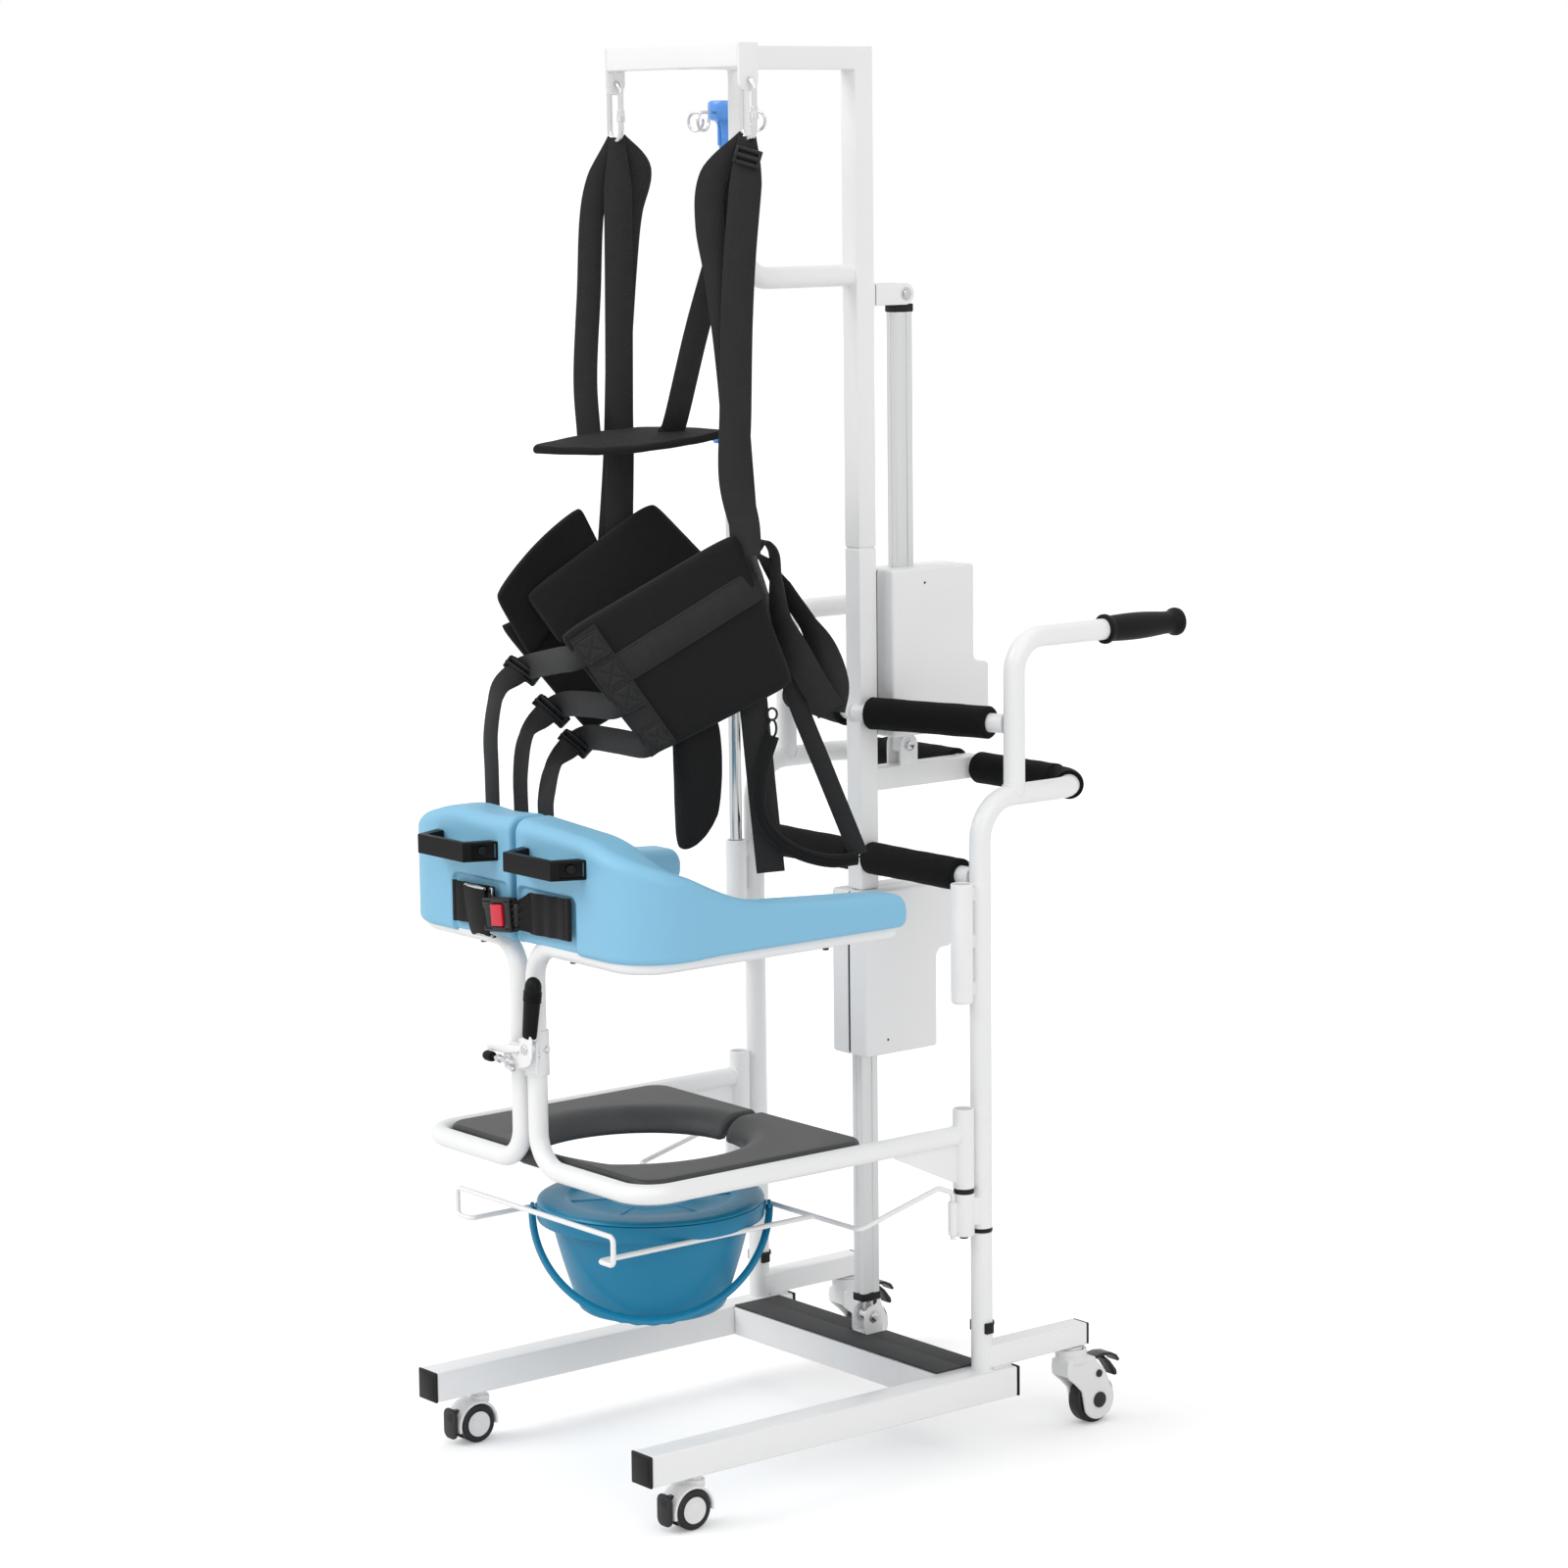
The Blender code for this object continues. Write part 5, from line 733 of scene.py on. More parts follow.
grip_rubber = painted(
    "grip_rubber", "black_rubber", (0.004, 0.004, 0.0042), (0.0025, 0.0025, 0.0027), 0.52, 0.0007, 0.00012,
    specular=0.16
)
for hand, side in SIDES.items():
    grip = bmesh.new()
    outline = [(0, 0), (0.0145, 0.0), (0.0178, 0.0), (0.0196, 0.0012), (0.0196, 0.005), (0.0184, 0.0072)]
    for i in range(25):
        share = i / 24
        swell = 0.0168 + 0.0013 * sin(pi * min(1.0, share * 1.15)) - 0.0022 * share**3
        outline.append((swell, 0.0095 + share * 0.108))
    outline += [
        (0.0154, 0.1205), (0.0168, 0.123), (0.0184, 0.126), (0.0188, 0.13),
        (0.018, 0.1334), (0.016, 0.1352), (0.011, 0.1358), (0, 0.1358),
    ]
    add_turned(grip, outline, along_y(side * LEG_X, 0.771, HANDLE_Z), 48)
    show(f"push_grip_{hand}", grip, grip_rubber, "carriage", f"handle_grip_{hand}", sharp=50)


# Column: a 30 mm square tube that the mast slides in. Two pairs of bars for the knee and chest
# pads are welded to it, and the shelf behind it carries the upper actuator.

COLUMN_HALF, UPPER_Y, SHELF_Z = 0.015, 0.625, 0.903
BAR_R, KNEE_Z, CHEST_Z = 0.0125, 0.759, 0.953
column = bmesh.new()
add_block(
    column, (-COLUMN_HALF, POST_Y - COLUMN_HALF, 0.7163), (COLUMN_HALF, POST_Y + COLUMN_HALF, 1.1696), 0.0022, 4
)
add_block(column, (-COLUMN_HALF, POST_Y + 0.013, 0.847), (COLUMN_HALF, 0.7555, 0.877), 0.0022, 4)
add_clevis(column, UPPER_Y, 0.8755, SHELF_Z)
bars, KNEE_ENDS = {}, ((0.014, 0.2207), (0.0162, 0.1992))
for hand, side in SIDES.items():
    knee_bar, knee_foam = [[Vector((side * end, POST_Y, KNEE_Z)) for end in ends] for ends in KNEE_ENDS]
    bars[f"lower_foam_{hand}"] = knee_foam
    add_sweep(column, knee_bar, ring(BAR_R, 28))
    add_bead(column, along_x(side * 0.2205, POST_Y, KNEE_Z), BAR_R, 0.0015)
    start, axis = Vector((0, POST_Y - 0.011, CHEST_Z)), Vector((side * LEG_X, RISER_Y, CHEST_Z))
    slant = (axis - start).normalized()
    room = (COLUMN_HALF + 0.0012 + 0.0215 * abs(slant.y)) / abs(slant.x)
    bars[f"upper_foam_{hand}"] = (start + slant * room, axis - slant * 0.0355)
    add_sweep(column, [start, axis - slant * 0.0143], ring(BAR_R, 28))
    rear = Vector((0, REAR_BAR_Y, SIDE_TOP))
    bars[f"rear_foam_{hand}"] = (rear + Vector((side * 0.0222, 0, 0)), rear + Vector((side * 0.177, 0, 0)))
show("column_frame", column, powder_white, "carriage", "column")
shelf_bolts = add_ear_bolts(bmesh.new(), UPPER_Y, SHELF_Z)
show("shelf_bolt", shelf_bolts, guide_steel, "carriage")


# Foam sleeves: closed cell rubber foam tubes pushed over the pad bars and the rear bar, with
# soft rolled ends and a skin full of fine pores.

foam_black = painted(
    "black_cell_foam", "black_foam", (0.006, 0.006, 0.0061), (0.003, 0.003, 0.0031), 0.78, 0.0011, 0.00035,
    specular=0.14
)
FOAM_R, WRAP_TURN, WRAP_R = 0.0214, 42, 0.019
for node, (start, end) in bars.items():
    length = (end - start).length
    sleeve = bmesh.new()
    r = FOAM_R
    inner = 0.0142 if node.startswith("rear") else 0.0128
    lip = [
        (inner, 0.0006), (inner + 0.0012, 0.0), (r - 0.0042, 0.0), (r - 0.0014, 0.0008), (r, 0.003), (r, 0.006),
        (r - 0.0005, 0.0072)
    ]
    outline = lip + [(r - 0.0001, 0.0088)]
    for i in range(1, 24):
        share = i / 24
        wave = 0.00022 * sin(9.1 * share + 40 * start.x) + 0.00016 * sin(23 * share + 17 * start.z)
        outline.append((r - 0.0003 + wave, 0.009 + share * (length - 0.018)))
    outline += [(radius, length - h) for radius, h in reversed(lip + [(r - 0.0001, 0.0088)])]
    turn = upright.rotation_difference(end - start).to_matrix().to_4x4()
    add_turned(sleeve, outline, Matrix.Translation(start) @ turn, 48)
    if node.startswith("rear"):
        side = copysign(1, end.x)
        bend = arc((LEG_X - SIDE_BEND, REAR_BAR_Y - SIDE_BEND), SIDE_BEND, 90, WRAP_TURN, 12)
        bend = [(side * px, py, SIDE_TOP) for px, py in [(abs(end.x) - 0.02, REAR_BAR_Y)] + bend]
        add_sweep(sleeve, bend, ring(WRAP_R, 40))
    piece = show(f"{node}_sleeve", sleeve, foam_black, "carriage", node, sharp=50)


# Lifting actuators: two white plastic gearbox covers, each moulded in a front and a rear shell
# with a deeper end for the motor, and a drawn aluminium profile with a black end cap.

cover_white = painted(
    "white_cover_plastic", "white_cover_plastic", (0.87, 0.87, 0.875), (0.82, 0.82, 0.825), 0.4, 0.0009, 0.00009,
    coat=0.05
)


def drawn_aluminium():
    """Anodised aluminium with faint lines along the drawing direction."""
    finish, shader, start = new_finish("drawn_aluminium", "anodised_aluminium", Metallic=0.85)
    where = start.node("TexCoord", out="Object")
    stretched = start.node("Mapping", {}, {"Vector": where, "Scale": (900.0, 900.0, 6.0)})
    lines = start.noise(stretched, 1.0, 3.0, 0.6)
    tint = start.mix(lines, (0.6, 0.605, 0.61), (0.76, 0.765, 0.77))
    start.surface(shader, tint, 0.3 + lines * 0.16, lines, 0.00005)
    return finish


aluminium = drawn_aluminium()
COVER_HALF, COVER_HIGH, MOTOR_HIGH, COVER_DEEP, STEP = 0.0345, 0.222, 0.089, 0.099, 0.026
COVER_CORNERS = (0.005, 0.005, 0.018, 0.006, 0.005, 0.005)


def cover_outline(axis_y, front, bottom, motor_on_top):
    """The side view of a cover: a box with one deeper end, run together in a concave sweep."""
    y0, y1, y2 = axis_y - front, axis_y + COVER_DEEP, axis_y + COVER_DEEP + STEP
    turn = COVER_HIGH - MOTOR_HIGH
    shape = [(y0, 0), (y1, 0), (y1, turn), (y2, turn), (y2, COVER_HIGH), (y0, COVER_HIGH)]
    path = []
    for i, (spot, radius) in enumerate(zip(shape, COVER_CORNERS)):
        before, after = shape[i - 1], shape[(i + 1) % 6]
        path += [(p.x, p.y) for p in rounded([(*before, 0), (*spot, 0), (*after, 0)], radius, 8)[1:-1]]
    if not motor_on_top:
        path = [(y, COVER_HIGH - z) for y, z in reversed(path)]
    return [(y, bottom + z) for y, z in path]


def add_cover(name, axis_y, front, bottom, motor_on_top, node):
    cover, dark = bmesh.new(), bmesh.new()
    outline = cover_outline(axis_y, front, bottom, motor_on_top)
    add_plate(cover, outline, -COVER_HALF, -0.0004, side_on(0), 0.0042, 5)
    add_plate(cover, outline, 0.0004, COVER_HALF, side_on(0), 0.0042, 5)
    # A black sheet just inside the split between the two shells is painted shade: it darkens the seam groove.
    middle = bottom + COVER_HIGH / 2
    deep = [(axis_y + (y - axis_y) * 0.975, middle + (z - bottom - COVER_HIGH / 2) * 0.985) for y, z in outline]
    add_plate(dark, deep, -0.001, 0.001, side_on(0), 0.0)
    for z in (bottom + 0.02, bottom + COVER_HIGH - 0.02):
        for end in (-1, 1):
            hole = along_x(end * (COVER_HALF - 0.0002), axis_y + 0.012, z, end)
            add_bead(cover, hole, 0.0024, 0.0004, 28)
            # A black disc in each screw hole is painted shade in the hole.
            add_bar(dark, hole, 0.0017, 0.0, 0.0004, 0.0001, 24)
    if not motor_on_top:
        add_block(cover, (-0.0098, axis_y - 0.01, 0.8935), (0.0098, axis_y + 0.01, bottom + 0.006), 0.0012)
    show(name, cover, cover_white, "carriage", node)
    # The seam piece is painted shade only: the sheet in the split and the discs in the screw holes.
    show(f"{name}_seam", dark, plug_black, "carriage")


add_cover("lower_gearbox", POST_Y, 0.027, 0.494, True, "lower_motor_cover")
add_cover("upper_gearbox", UPPER_Y, 0.044, 0.918, False, "upper_motor_cover")


def add_profile(name, axis_y, low, high, cap_low, node):
    profile, cap = bmesh.new(), bmesh.new()
    groove, w, d, c = 0.0012, 0.01, 0.015, 0.0018
    outline = [
        (-w + c, -d), (-0.003, -d), (-0.0022, -d + groove), (0.0022, -d + groove), (0.003, -d), (w - c, -d)
    ]
    outline += [(w, -d + c), (w, -0.0045), (w - groove, -0.0036), (w - groove, 0.0036), (w, 0.0045), (w, d - c)]
    outline += [(-px, -py) for px, py in outline]
    add_plate(profile, outline, low, high, standing(0, axis_y), 0.0)
    show(name, profile, aluminium, "carriage", node, sharp=25)
    add_block(cap, (-0.0108, axis_y - 0.0158, cap_low), (0.0108, axis_y + 0.0158, cap_low + 0.011), 0.0016)
    add_bead(cap, standing(0, axis_y, cap_low + (0.011 if cap_low > 1 else 0.0)), 0.0088, 0.0008, 32)
    show(f"{name}_cap", cap, plug_black, "carriage")


add_profile("lower_profile", POST_Y, 0.16, 0.494, 0.153, "lower_actuator_profile")
add_profile("upper_profile", UPPER_Y, 1.1398, 1.48, 1.475, "upper_actuator_profile")
motor_end = bmesh.new()
motor = [(0, 0.013), (0.013, 0.013), (0.0158, 0.0118), (0.0172, 0.009), (0.0178, 0.005), (0.0196, 0.0044)]
motor += [(0.0205, 0.003), (0.0205, 0.0003), (0, 0.0003)]
add_turned(motor_end, motor, along_y(0, 0.75, 0.9536), 48)
show("motor_end", motor_end, pedal_black, "carriage", "motor_end_cap")


# Mast: a square tube that telescopes in the column, with a mitred boom, a cross bar with two
# hanging ears and a bent grab handle under it. A folded bracket holds the upper piston.

ARM_Z, BOOM_Y, BOOM_HALF, PISTON_Z = 1.803, 0.27, 0.1355, 1.499
GRAB_Y, GRAB_Z, HANG_Z, STRAP_LOW, STRAP_TOP = 0.363, 1.525, 1.773, 1.485, 1.513
mast = bmesh.new()
h = COLUMN_HALF
add_block(mast, (-h, POST_Y - h, 1.1706), (h, POST_Y + h, ARM_Z + h), 0.0022, 4)
add_block(mast, (-h + 0.0004, BOOM_Y, ARM_Z - h), (h - 0.0004, POST_Y, ARM_Z + h - 0.0003), 0.0022, 4)
add_block(mast, (-BOOM_HALF, BOOM_Y - h, ARM_Z - h), (BOOM_HALF, BOOM_Y + h, ARM_Z + h), 0.0022, 4)
add_block(mast, (-0.013, POST_Y - 0.013, 0.78), (0.013, POST_Y + 0.013, 1.172), 0.001, 2)
grab = [(0, GRAB_Y, ARM_Z - 0.004), (0, GRAB_Y, GRAB_Z), (0, POST_Y - h + 0.002, GRAB_Z)]
add_sweep(mast, rounded(grab, 0.042, 14), ring(TUBE_R, 32))
add_bead(mast, standing(0, GRAB_Y, ARM_Z - h), TUBE_R, 0.0016)
add_bead(mast, along_y(0, POST_Y - h, GRAB_Z), TUBE_R, 0.0016)
add_block(mast, (-EAR_OUT, POST_Y + h - 0.001, STRAP_LOW), (EAR_OUT, POST_Y + h + 0.004, STRAP_TOP), 0.001, 2)
for side in SIDES.values():
    low, high = sorted((side * EAR_IN, side * EAR_OUT))
    strap = [(POST_Y + h + 0.001, STRAP_LOW), (UPPER_Y, STRAP_LOW)]
    strap += arc((UPPER_Y, PISTON_Z), 0.014, -90, 90, 12) + [(POST_Y + h + 0.001, STRAP_TOP)]
    add_plate(mast, strap, low, high, side_on(0), 0.0008)
    ear = [(BOOM_Y + h, ARM_Z + h - 0.0006), (BOOM_Y - h, ARM_Z + h - 0.0006)]
    ear += arc((BOOM_Y, HANG_Z), h, 180, 360, 18)
    low, high = sorted((side * BOOM_HALF, side * 0.1395))
    add_plate(mast, ear, low, high, side_on(0), 0.0008)
show("mast_frame", mast, powder_white, "mast", "mast_boom")
mast_steel = add_ear_bolts(bmesh.new(), UPPER_Y, PISTON_Z)
add_piston(mast_steel, UPPER_Y, PISTON_Z, 1.156, PISTON_Z)
show("upper_piston", mast_steel, guide_steel, "mast", "upper_lift_rod")


# Snap rings: two bright steel snap hooks, each bent from one wire, with a sprung gate and its
# sleeve. They hang in the eyelets of the boom and carry the sling.

bright_steel = painted(
    "bright_steel", "stainless_steel", (0.72, 0.72, 0.73), (0.66, 0.66, 0.67), 0.12, 0.003, 0.00001, metallic=1.0
)
RING_HALF, RING_LOW, RING_X, GATE_Z = 0.012, 1.713, 0.1375, 1.724
for hand, side in SIDES.items():
    x = side * RING_X
    hook = bmesh.new()
    loop = arc((x, HANG_Z - RING_HALF), RING_HALF, 0, 180, 16) + arc((x, RING_LOW), RING_HALF, 180, 360, 16)
    add_sweep(hook, [(px, BOOM_Y, pz) for px, pz in loop], ring(0.0037, 14), Vector((0, 1, 0)), True)
    gate = standing(x + RING_HALF, BOOM_Y, GATE_Z)
    sleeve = [
        (0.0034, 0), (0.0048, 0), (0.0052, 0.0006), (0.0052, 0.009), (0.0047, 0.0096), (0.0047, 0.015),
        (0.0034, 0.0156)
    ]
    add_turned(hook, sleeve, gate, 24)
    for i in range(3):
        add_bead(hook, standing(x + RING_HALF, BOOM_Y, GATE_Z + 0.0022 + i * 0.0024), 0.0051, 0.0005, 24)
    show(f"snap_hook_{hand}", hook, bright_steel, "sling", f"snap_ring_{hand}")


# Sling: a body vest of black foam panels in smooth fabric, with webbing sewn over it. Shoulder
# straps hang it from the snap rings, and leg straps and a groin flap hang below.

def sling_fabric():
    """Tight black knit over foam: a fine speckled weave with a soft nap."""
    finish, shader, start = new_finish(
        "black_vest_fabric", "black_webbing", Specular_IOR_Level=0.16, Sheen_Weight=0.05, Sheen_Roughness=0.5
    )
    where = start.node("TexCoord", out="Object")
    knit = start.node("TexVoronoi", {"feature": "F1"}, {"Vector": where, "Scale": 900.0})
    fold = start.noise(where, 22.0, 4.0, 0.6)
    tint = start.mix(knit * 0.6 + fold * 0.4, (0.0038, 0.0038, 0.004), (0.014, 0.014, 0.0145))
    start.surface(shader, tint, 0.74 + fold * 0.16, knit + fold * 1.2, 0.0005, 0.8)
    return finish


def strap_webbing(name, dark, light):
    """Woven polyester webbing: cords along the strap, crossed by the weft."""
    finish, shader, start = new_finish(name, "black_webbing", Specular_IOR_Level=0.25, Sheen_Weight=0.06)
    spot = start.node("UVMap")
    across, along = [start.node("SeparateXYZ", {}, {0: spot}, axis) for axis in (0, 1)]
    warp = start.math("SINE", across * (2 * pi / WARP_STEP))
    weft = start.math("SINE", along * (2 * pi / WEFT_STEP) + warp * 1.5)
    weave = warp * 0.16 + weft * 0.3
    lint = start.noise(start.node("TexCoord", out="Object"), 45.0, 5.0, 0.7)
    tint = start.mix(weave * 0.3 + lint * 0.8, dark, light)
    start.surface(shader, tint, 0.66 + lint * 0.2, weave + lint * 0.5, 0.0004, 0.7)
    return finish


WARP_STEP, WEFT_STEP = 0.0022, 0.003
vest_fabric = sling_fabric()
webbing = strap_webbing("black_webbing", (0.0085, 0.0085, 0.009), (0.03, 0.03, 0.031))
VEST_Y, VEST_TURN = 0.265, radians(51.5)
across_vest = Vector((cos(VEST_TURN), sin(VEST_TURN), 0))
toward_vest = Vector((sin(VEST_TURN), -cos(VEST_TURN), 0))


def vest_at(along, out, z):
    """A point of the sling, measured along and out from the middle of the hanging vest."""
    return Vector((0, VEST_Y, z)) + across_vest * along + toward_vest * out


def panel_spot(corners, swell, bow):
    """Gives the place and the outward normal at (u, v) of a panel over its four corners. Its face
    swells a little, and its upper edge bows out."""
    top_left, top_right, low_right, low_left = [vest_at(*corner) for corner in corners]
    normal = (top_right - top_left).cross(low_left - top_left).normalized()
    if normal.dot(toward_vest) < 0:
        normal = -normal
    rise = (top_left - low_left).normalized()

    def spot(u, v):
        hump = sin(pi * min(max(u, 0), 1))
        crown = swell * hump**0.8 * sin(pi * min(max(v, 0), 1)) ** 0.8
        place = top_left.lerp(top_right, u).lerp(low_left.lerp(low_right, u), v)
        return place + normal * crown + rise * (bow * hump * (1 - v)), normal

    return spot


def foam_half(u, v, size, thickness):
    """Half the thickness of a foam panel at (u, v), which rolls off to nothing at its edges."""
    edge = min(u, 1 - u) * size[0], min(v, 1 - v) * size[1]
    reach = min(1.0, max(0.0, min(edge) / (thickness / 2)))
    return thickness / 2 * sqrt(1 - (1 - reach) ** 2)


def add_pad(bm, spot, size, thickness, grid=(30, 24), corner=0.004):
    """A foam panel in a fabric cover: two faces that roll into each other at the edge, with
    rounded corners and a few soft waves."""
    cols, rows = grid
    front, back = [], []
    for j in range(rows + 1):
        front.append([])
        back.append([])
        for i in range(cols + 1):
            a, b = -cos(pi * i / cols), -cos(pi * j / rows)
            pull = (abs(a) * abs(b)) ** 8 * 2 * corner
            u, v = (1 + a * (1 - pull / size[0])) / 2, (1 + b * (1 - pull / size[1])) / 2
            place, normal = spot(u, v)
            half = foam_half((1 + a) / 2, (1 + b) / 2, size, thickness)
            wave = normal * (0.001 * half / thickness * sin(31 * u + 7 * v) * sin(17 * v - 5 * u))
            edge = i in (0, cols) or j in (0, rows)
            front[j].append(bm.verts.new(place + normal * half + wave))
            back[j].append(front[j][i] if edge else bm.verts.new(place - normal * half + wave))
    for j in range(rows):
        for i in range(cols):
            bm.faces.new((front[j][i], front[j][i + 1], front[j + 1][i + 1], front[j + 1][i]))
            bm.faces.new((back[j][i], back[j + 1][i], back[j + 1][i + 1], back[j][i + 1]))
    return bm


def show_pad(name, spot, size, thickness, replaces=(), fill=0.7, **shape):
    """Makes a foam panel of the sling."""
    pad = add_pad(bmesh.new(), spot, size, thickness, **shape)
    piece = show(name, pad, vest_fabric, "sling", *replaces, sharp=70)


def ribbon(width, thickness=0.0026):
    """The section of a flat strap with rounded selvedges."""
    w, t = width / 2, thickness / 2
    return [(-w + t, -t), (w - t, -t), (w, 0), (w - t, t), (-w + t, t), (-w, 0)]


def curve_through(points, steps=8):
    """A smooth path through its points."""
    points = [Vector(p) for p in points]
    run = [points[0] * 2 - points[1]] + points + [points[-1] * 2 - points[-2]]
    path = []
    for a, b, c, d in zip(run, run[1:], run[2:], run[3:]):
        for i in range(steps):
            t = i / steps
            bend = (2 * a - 5 * b + 4 * c - d) * t**2 + (3 * b - a - 3 * c + d) * t**3
            path.append(0.5 * (2 * b + (c - a) * t + bend))
    return path + [points[-1]]


# The four foam panels: corners as (along, out, height), clockwise from the upper left, then the
# swell of the face and the bow of the upper edge.

vest_panels = {
    "near": (
        ((-0.157, 0.098, 1.09), (0.067, 0.104, 1.219), (0.139, 0.096, 1.026), (-0.041, 0.108, 0.937)),
        0.005, 0.0,
    ),
    "inner": (
        ((-0.207, -0.072, 1.124), (-0.043, -0.09, 1.243), (0.045, -0.08, 1.15), (-0.16, -0.056, 1.058)),
        0.004, 0.0,
    ),
    "outer_flap": (
        ((-0.247, -0.076, 1.123), (-0.135, -0.088, 1.237), (-0.104, -0.098, 1.17), (-0.204, -0.098, 1.038)),
        -0.008, 0.008,
    ),
    "far": (
        ((-0.246, -0.104, 1.083), (0.098, -0.108, 1.174), (0.06, -0.106, 1.06), (-0.13, -0.104, 0.938)),
        -0.004, 0.0,
    ),
}
PANEL_THICK = {"near": 0.02, "inner": 0.017, "outer_flap": 0.013, "far": 0.016}
NEAR_SIZE = (0.23, 0.19)
for panel, (corners, swell, bow) in vest_panels.items():
    size = ((Vector(corners[1]) - Vector(corners[0])).length, (Vector(corners[3]) - Vector(corners[0])).length)
    show_pad(f"vest_{panel}", panel_spot(corners, swell, bow), size, PANEL_THICK[panel], ["sling_harness"])


def wrap_spot(u, v):
    """The vest's bend round the body, from the near panel's right edge to the far panel."""
    turn = pi * u
    height = 1.196 - 0.01 * u - (0.16 - 0.02 * u) * v
    along = 0.062 + 0.062 * (1.2195 - height) / 0.194 + 0.01 * sin(turn)
    normal = (across_vest * sin(turn) + toward_vest * cos(turn)).normalized()
    return vest_at(along, -0.003 + 0.097 * cos(turn), height), normal


show_pad("vest_wrap", wrap_spot, (0.22, 0.16), 0.012, grid=(36, 18))


def lens_spot(u, v):
    """The neck rest: a lens shaped pad that hangs level, with its front edge lower."""
    half = 0.054 * sin(pi * (0.012 + 0.976 * u)) ** 0.85
    height = 1.312 + 0.017 * u + sin(pi * u) * (0.0105 - 0.018 * v)
    return vest_at(-0.192 + 0.246 * u, -0.055 + half * (2 * v - 1), height), upright


show_pad("neck_rest", lens_spot, (0.246, 0.1), 0.01, fill=0.8, grid=(40, 18), corner=0.0)


def flap_spot(u, v):
    """The groin flap: a narrow pad that hangs from the near panel, folded at its left edge and
    rounded off at its foot."""
    left, right = -0.015 + 0.003 * v, 0.042 + 0.004 * sin(pi * v)
    top, foot = 0.985, 0.814 + 0.05 * u**2.6
    fold = max(0.0, 1 - u / 0.26)
    normal = toward_vest * (0.9 - 0.35 * fold) + across_vest * (0.44 - 1.25 * fold)
    out = 0.096 - 0.01 * v - 0.016 * fold**2 - 0.02 * max(0.0, u - 0.26)
    return vest_at(left + (right - left) * u, out, top + (foot - top) * v), normal.normalized()


show_pad("groin_flap", flap_spot, (0.06, 0.17), 0.012, grid=(24, 30), corner=0.006)
straps, stitches, buckles = bmesh.new(), bmesh.new(), bmesh.new()
GATHER_RUN = 0.16


def hang_strap(path, width, wides=(across_vest,), gather=1.0):
    """A webbing strap along a path, turned from one wide direction to the next. gather is the
    share of its width that is left where it runs through the snap ring."""
    count = len(path) - 1
    turns = []
    for i in range(count + 1):
        place = i / count * (len(wides) - 1)
        first = min(int(place), len(wides) - 1)
        last = min(first + 1, len(wides) - 1)
        turns.append(wides[first].lerp(wides[last], place - first))
    add_sweep(
        straps, path, lambda share: ribbon(width * (gather + (1 - gather) * min(1.0, share / GATHER_RUN))), turns
    )


def through(*points, steps=8):
    """A smooth path through points of the sling."""
    return curve_through([vest_at(*p) for p in points], steps)


# Shoulder straps and neck straps, from the snap rings down.

turned = across_vest * 0.72 + toward_vest * 0.69
level_web, turned_web = (across_vest,), (across_vest, across_vest, across_vest, across_vest, turned)
shoulder_straps = [
    (
        0.036, level_web,
        (
            (-0.08, -0.1085, 1.705), (-0.08, -0.106, 1.62), (-0.081, -0.107, 1.506), (-0.083, -0.107, 1.355),
            (-0.083, -0.107, 1.3), (-0.088, -0.104, 1.13)
        )
    ),
    (
        0.034, level_web,
        (
            (-0.078, -0.112, 1.704), (-0.054, -0.118, 1.664), (-0.066, -0.12, 1.612), (-0.073, -0.118, 1.555),
            (-0.082, -0.114, 1.44), (-0.088, -0.112, 1.3), (-0.1, -0.11, 1.15)
        )
    ),
    (
        0.031, level_web,
        (
            (-0.084, -0.112, 1.704), (-0.112, -0.118, 1.624), (-0.12, -0.116, 1.506), (-0.126, -0.108, 1.4),
            (-0.122, -0.094, 1.326)
        )
    ),
    (
        0.04, turned_web,
        (
            (0.088, 0.1045, 1.704), (0.086, 0.106, 1.655), (0.077, 0.104, 1.559), (0.072, 0.102, 1.475),
            (0.069, 0.102, 1.367), (0.067, 0.103, 1.285), (0.079, 0.11, 1.225), (0.084, 0.112, 1.188)
        )
    ),
    (
        0.036, level_web,
        (
            (0.086, 0.1, 1.704), (0.046, 0.09, 1.655), (0.04, 0.088, 1.598), (0.052, 0.09, 1.523),
            (0.064, 0.094, 1.414), (0.072, 0.098, 1.3), (0.078, 0.098, 1.21)
        )
    ),
    (
        0.031, level_web,
        (
            (0.086, 0.098, 1.7), (0.072, 0.08, 1.636), (0.049, 0.06, 1.558), (0.02, 0.01, 1.461),
            (-0.01, -0.06, 1.345), (-0.02, -0.07, 1.326)
        )
    )
]
for width, wides, points in shoulder_straps:
    hang_strap(through(*points, steps=10), width, wides, gather=0.55)

near_spot = panel_spot(*vest_panels["near"])


def on_near(u, v, lift=0.0):
    """A place on the face of the near panel, at (u, v)."""
    place, normal = near_spot(u, v)
    return place + normal * (foam_half(u, v, NEAR_SIZE, PANEL_THICK["near"]) + 0.001 + lift)


def line_on_near(start, end, lift, steps=16):
    (u0, v0), (u1, v1) = start, end
    return [on_near(u0 + (u1 - u0) * i / steps, v0 + (v1 - v0) * i / steps, lift) for i in range(steps + 1)]


def sew_strap(start, end, width, lift):
    """Webbing sewn flat over the near panel between two (u, v) places, with a seam along each selvedge."""
    path = line_on_near(start, end, lift)
    wide = (path[-1] - path[0]).cross(near_spot(0.5, 0.5)[1]).normalized()
    add_sweep(straps, path, ribbon(width, 0.0022), wide)
    for edge in (-1, 1):
        seam = [point + wide * (edge * (width / 2 - 0.0022)) for point in line_on_near(start, end, lift + 0.0011)]
        add_sweep(stitches, seam, ring(0.0004, 6))


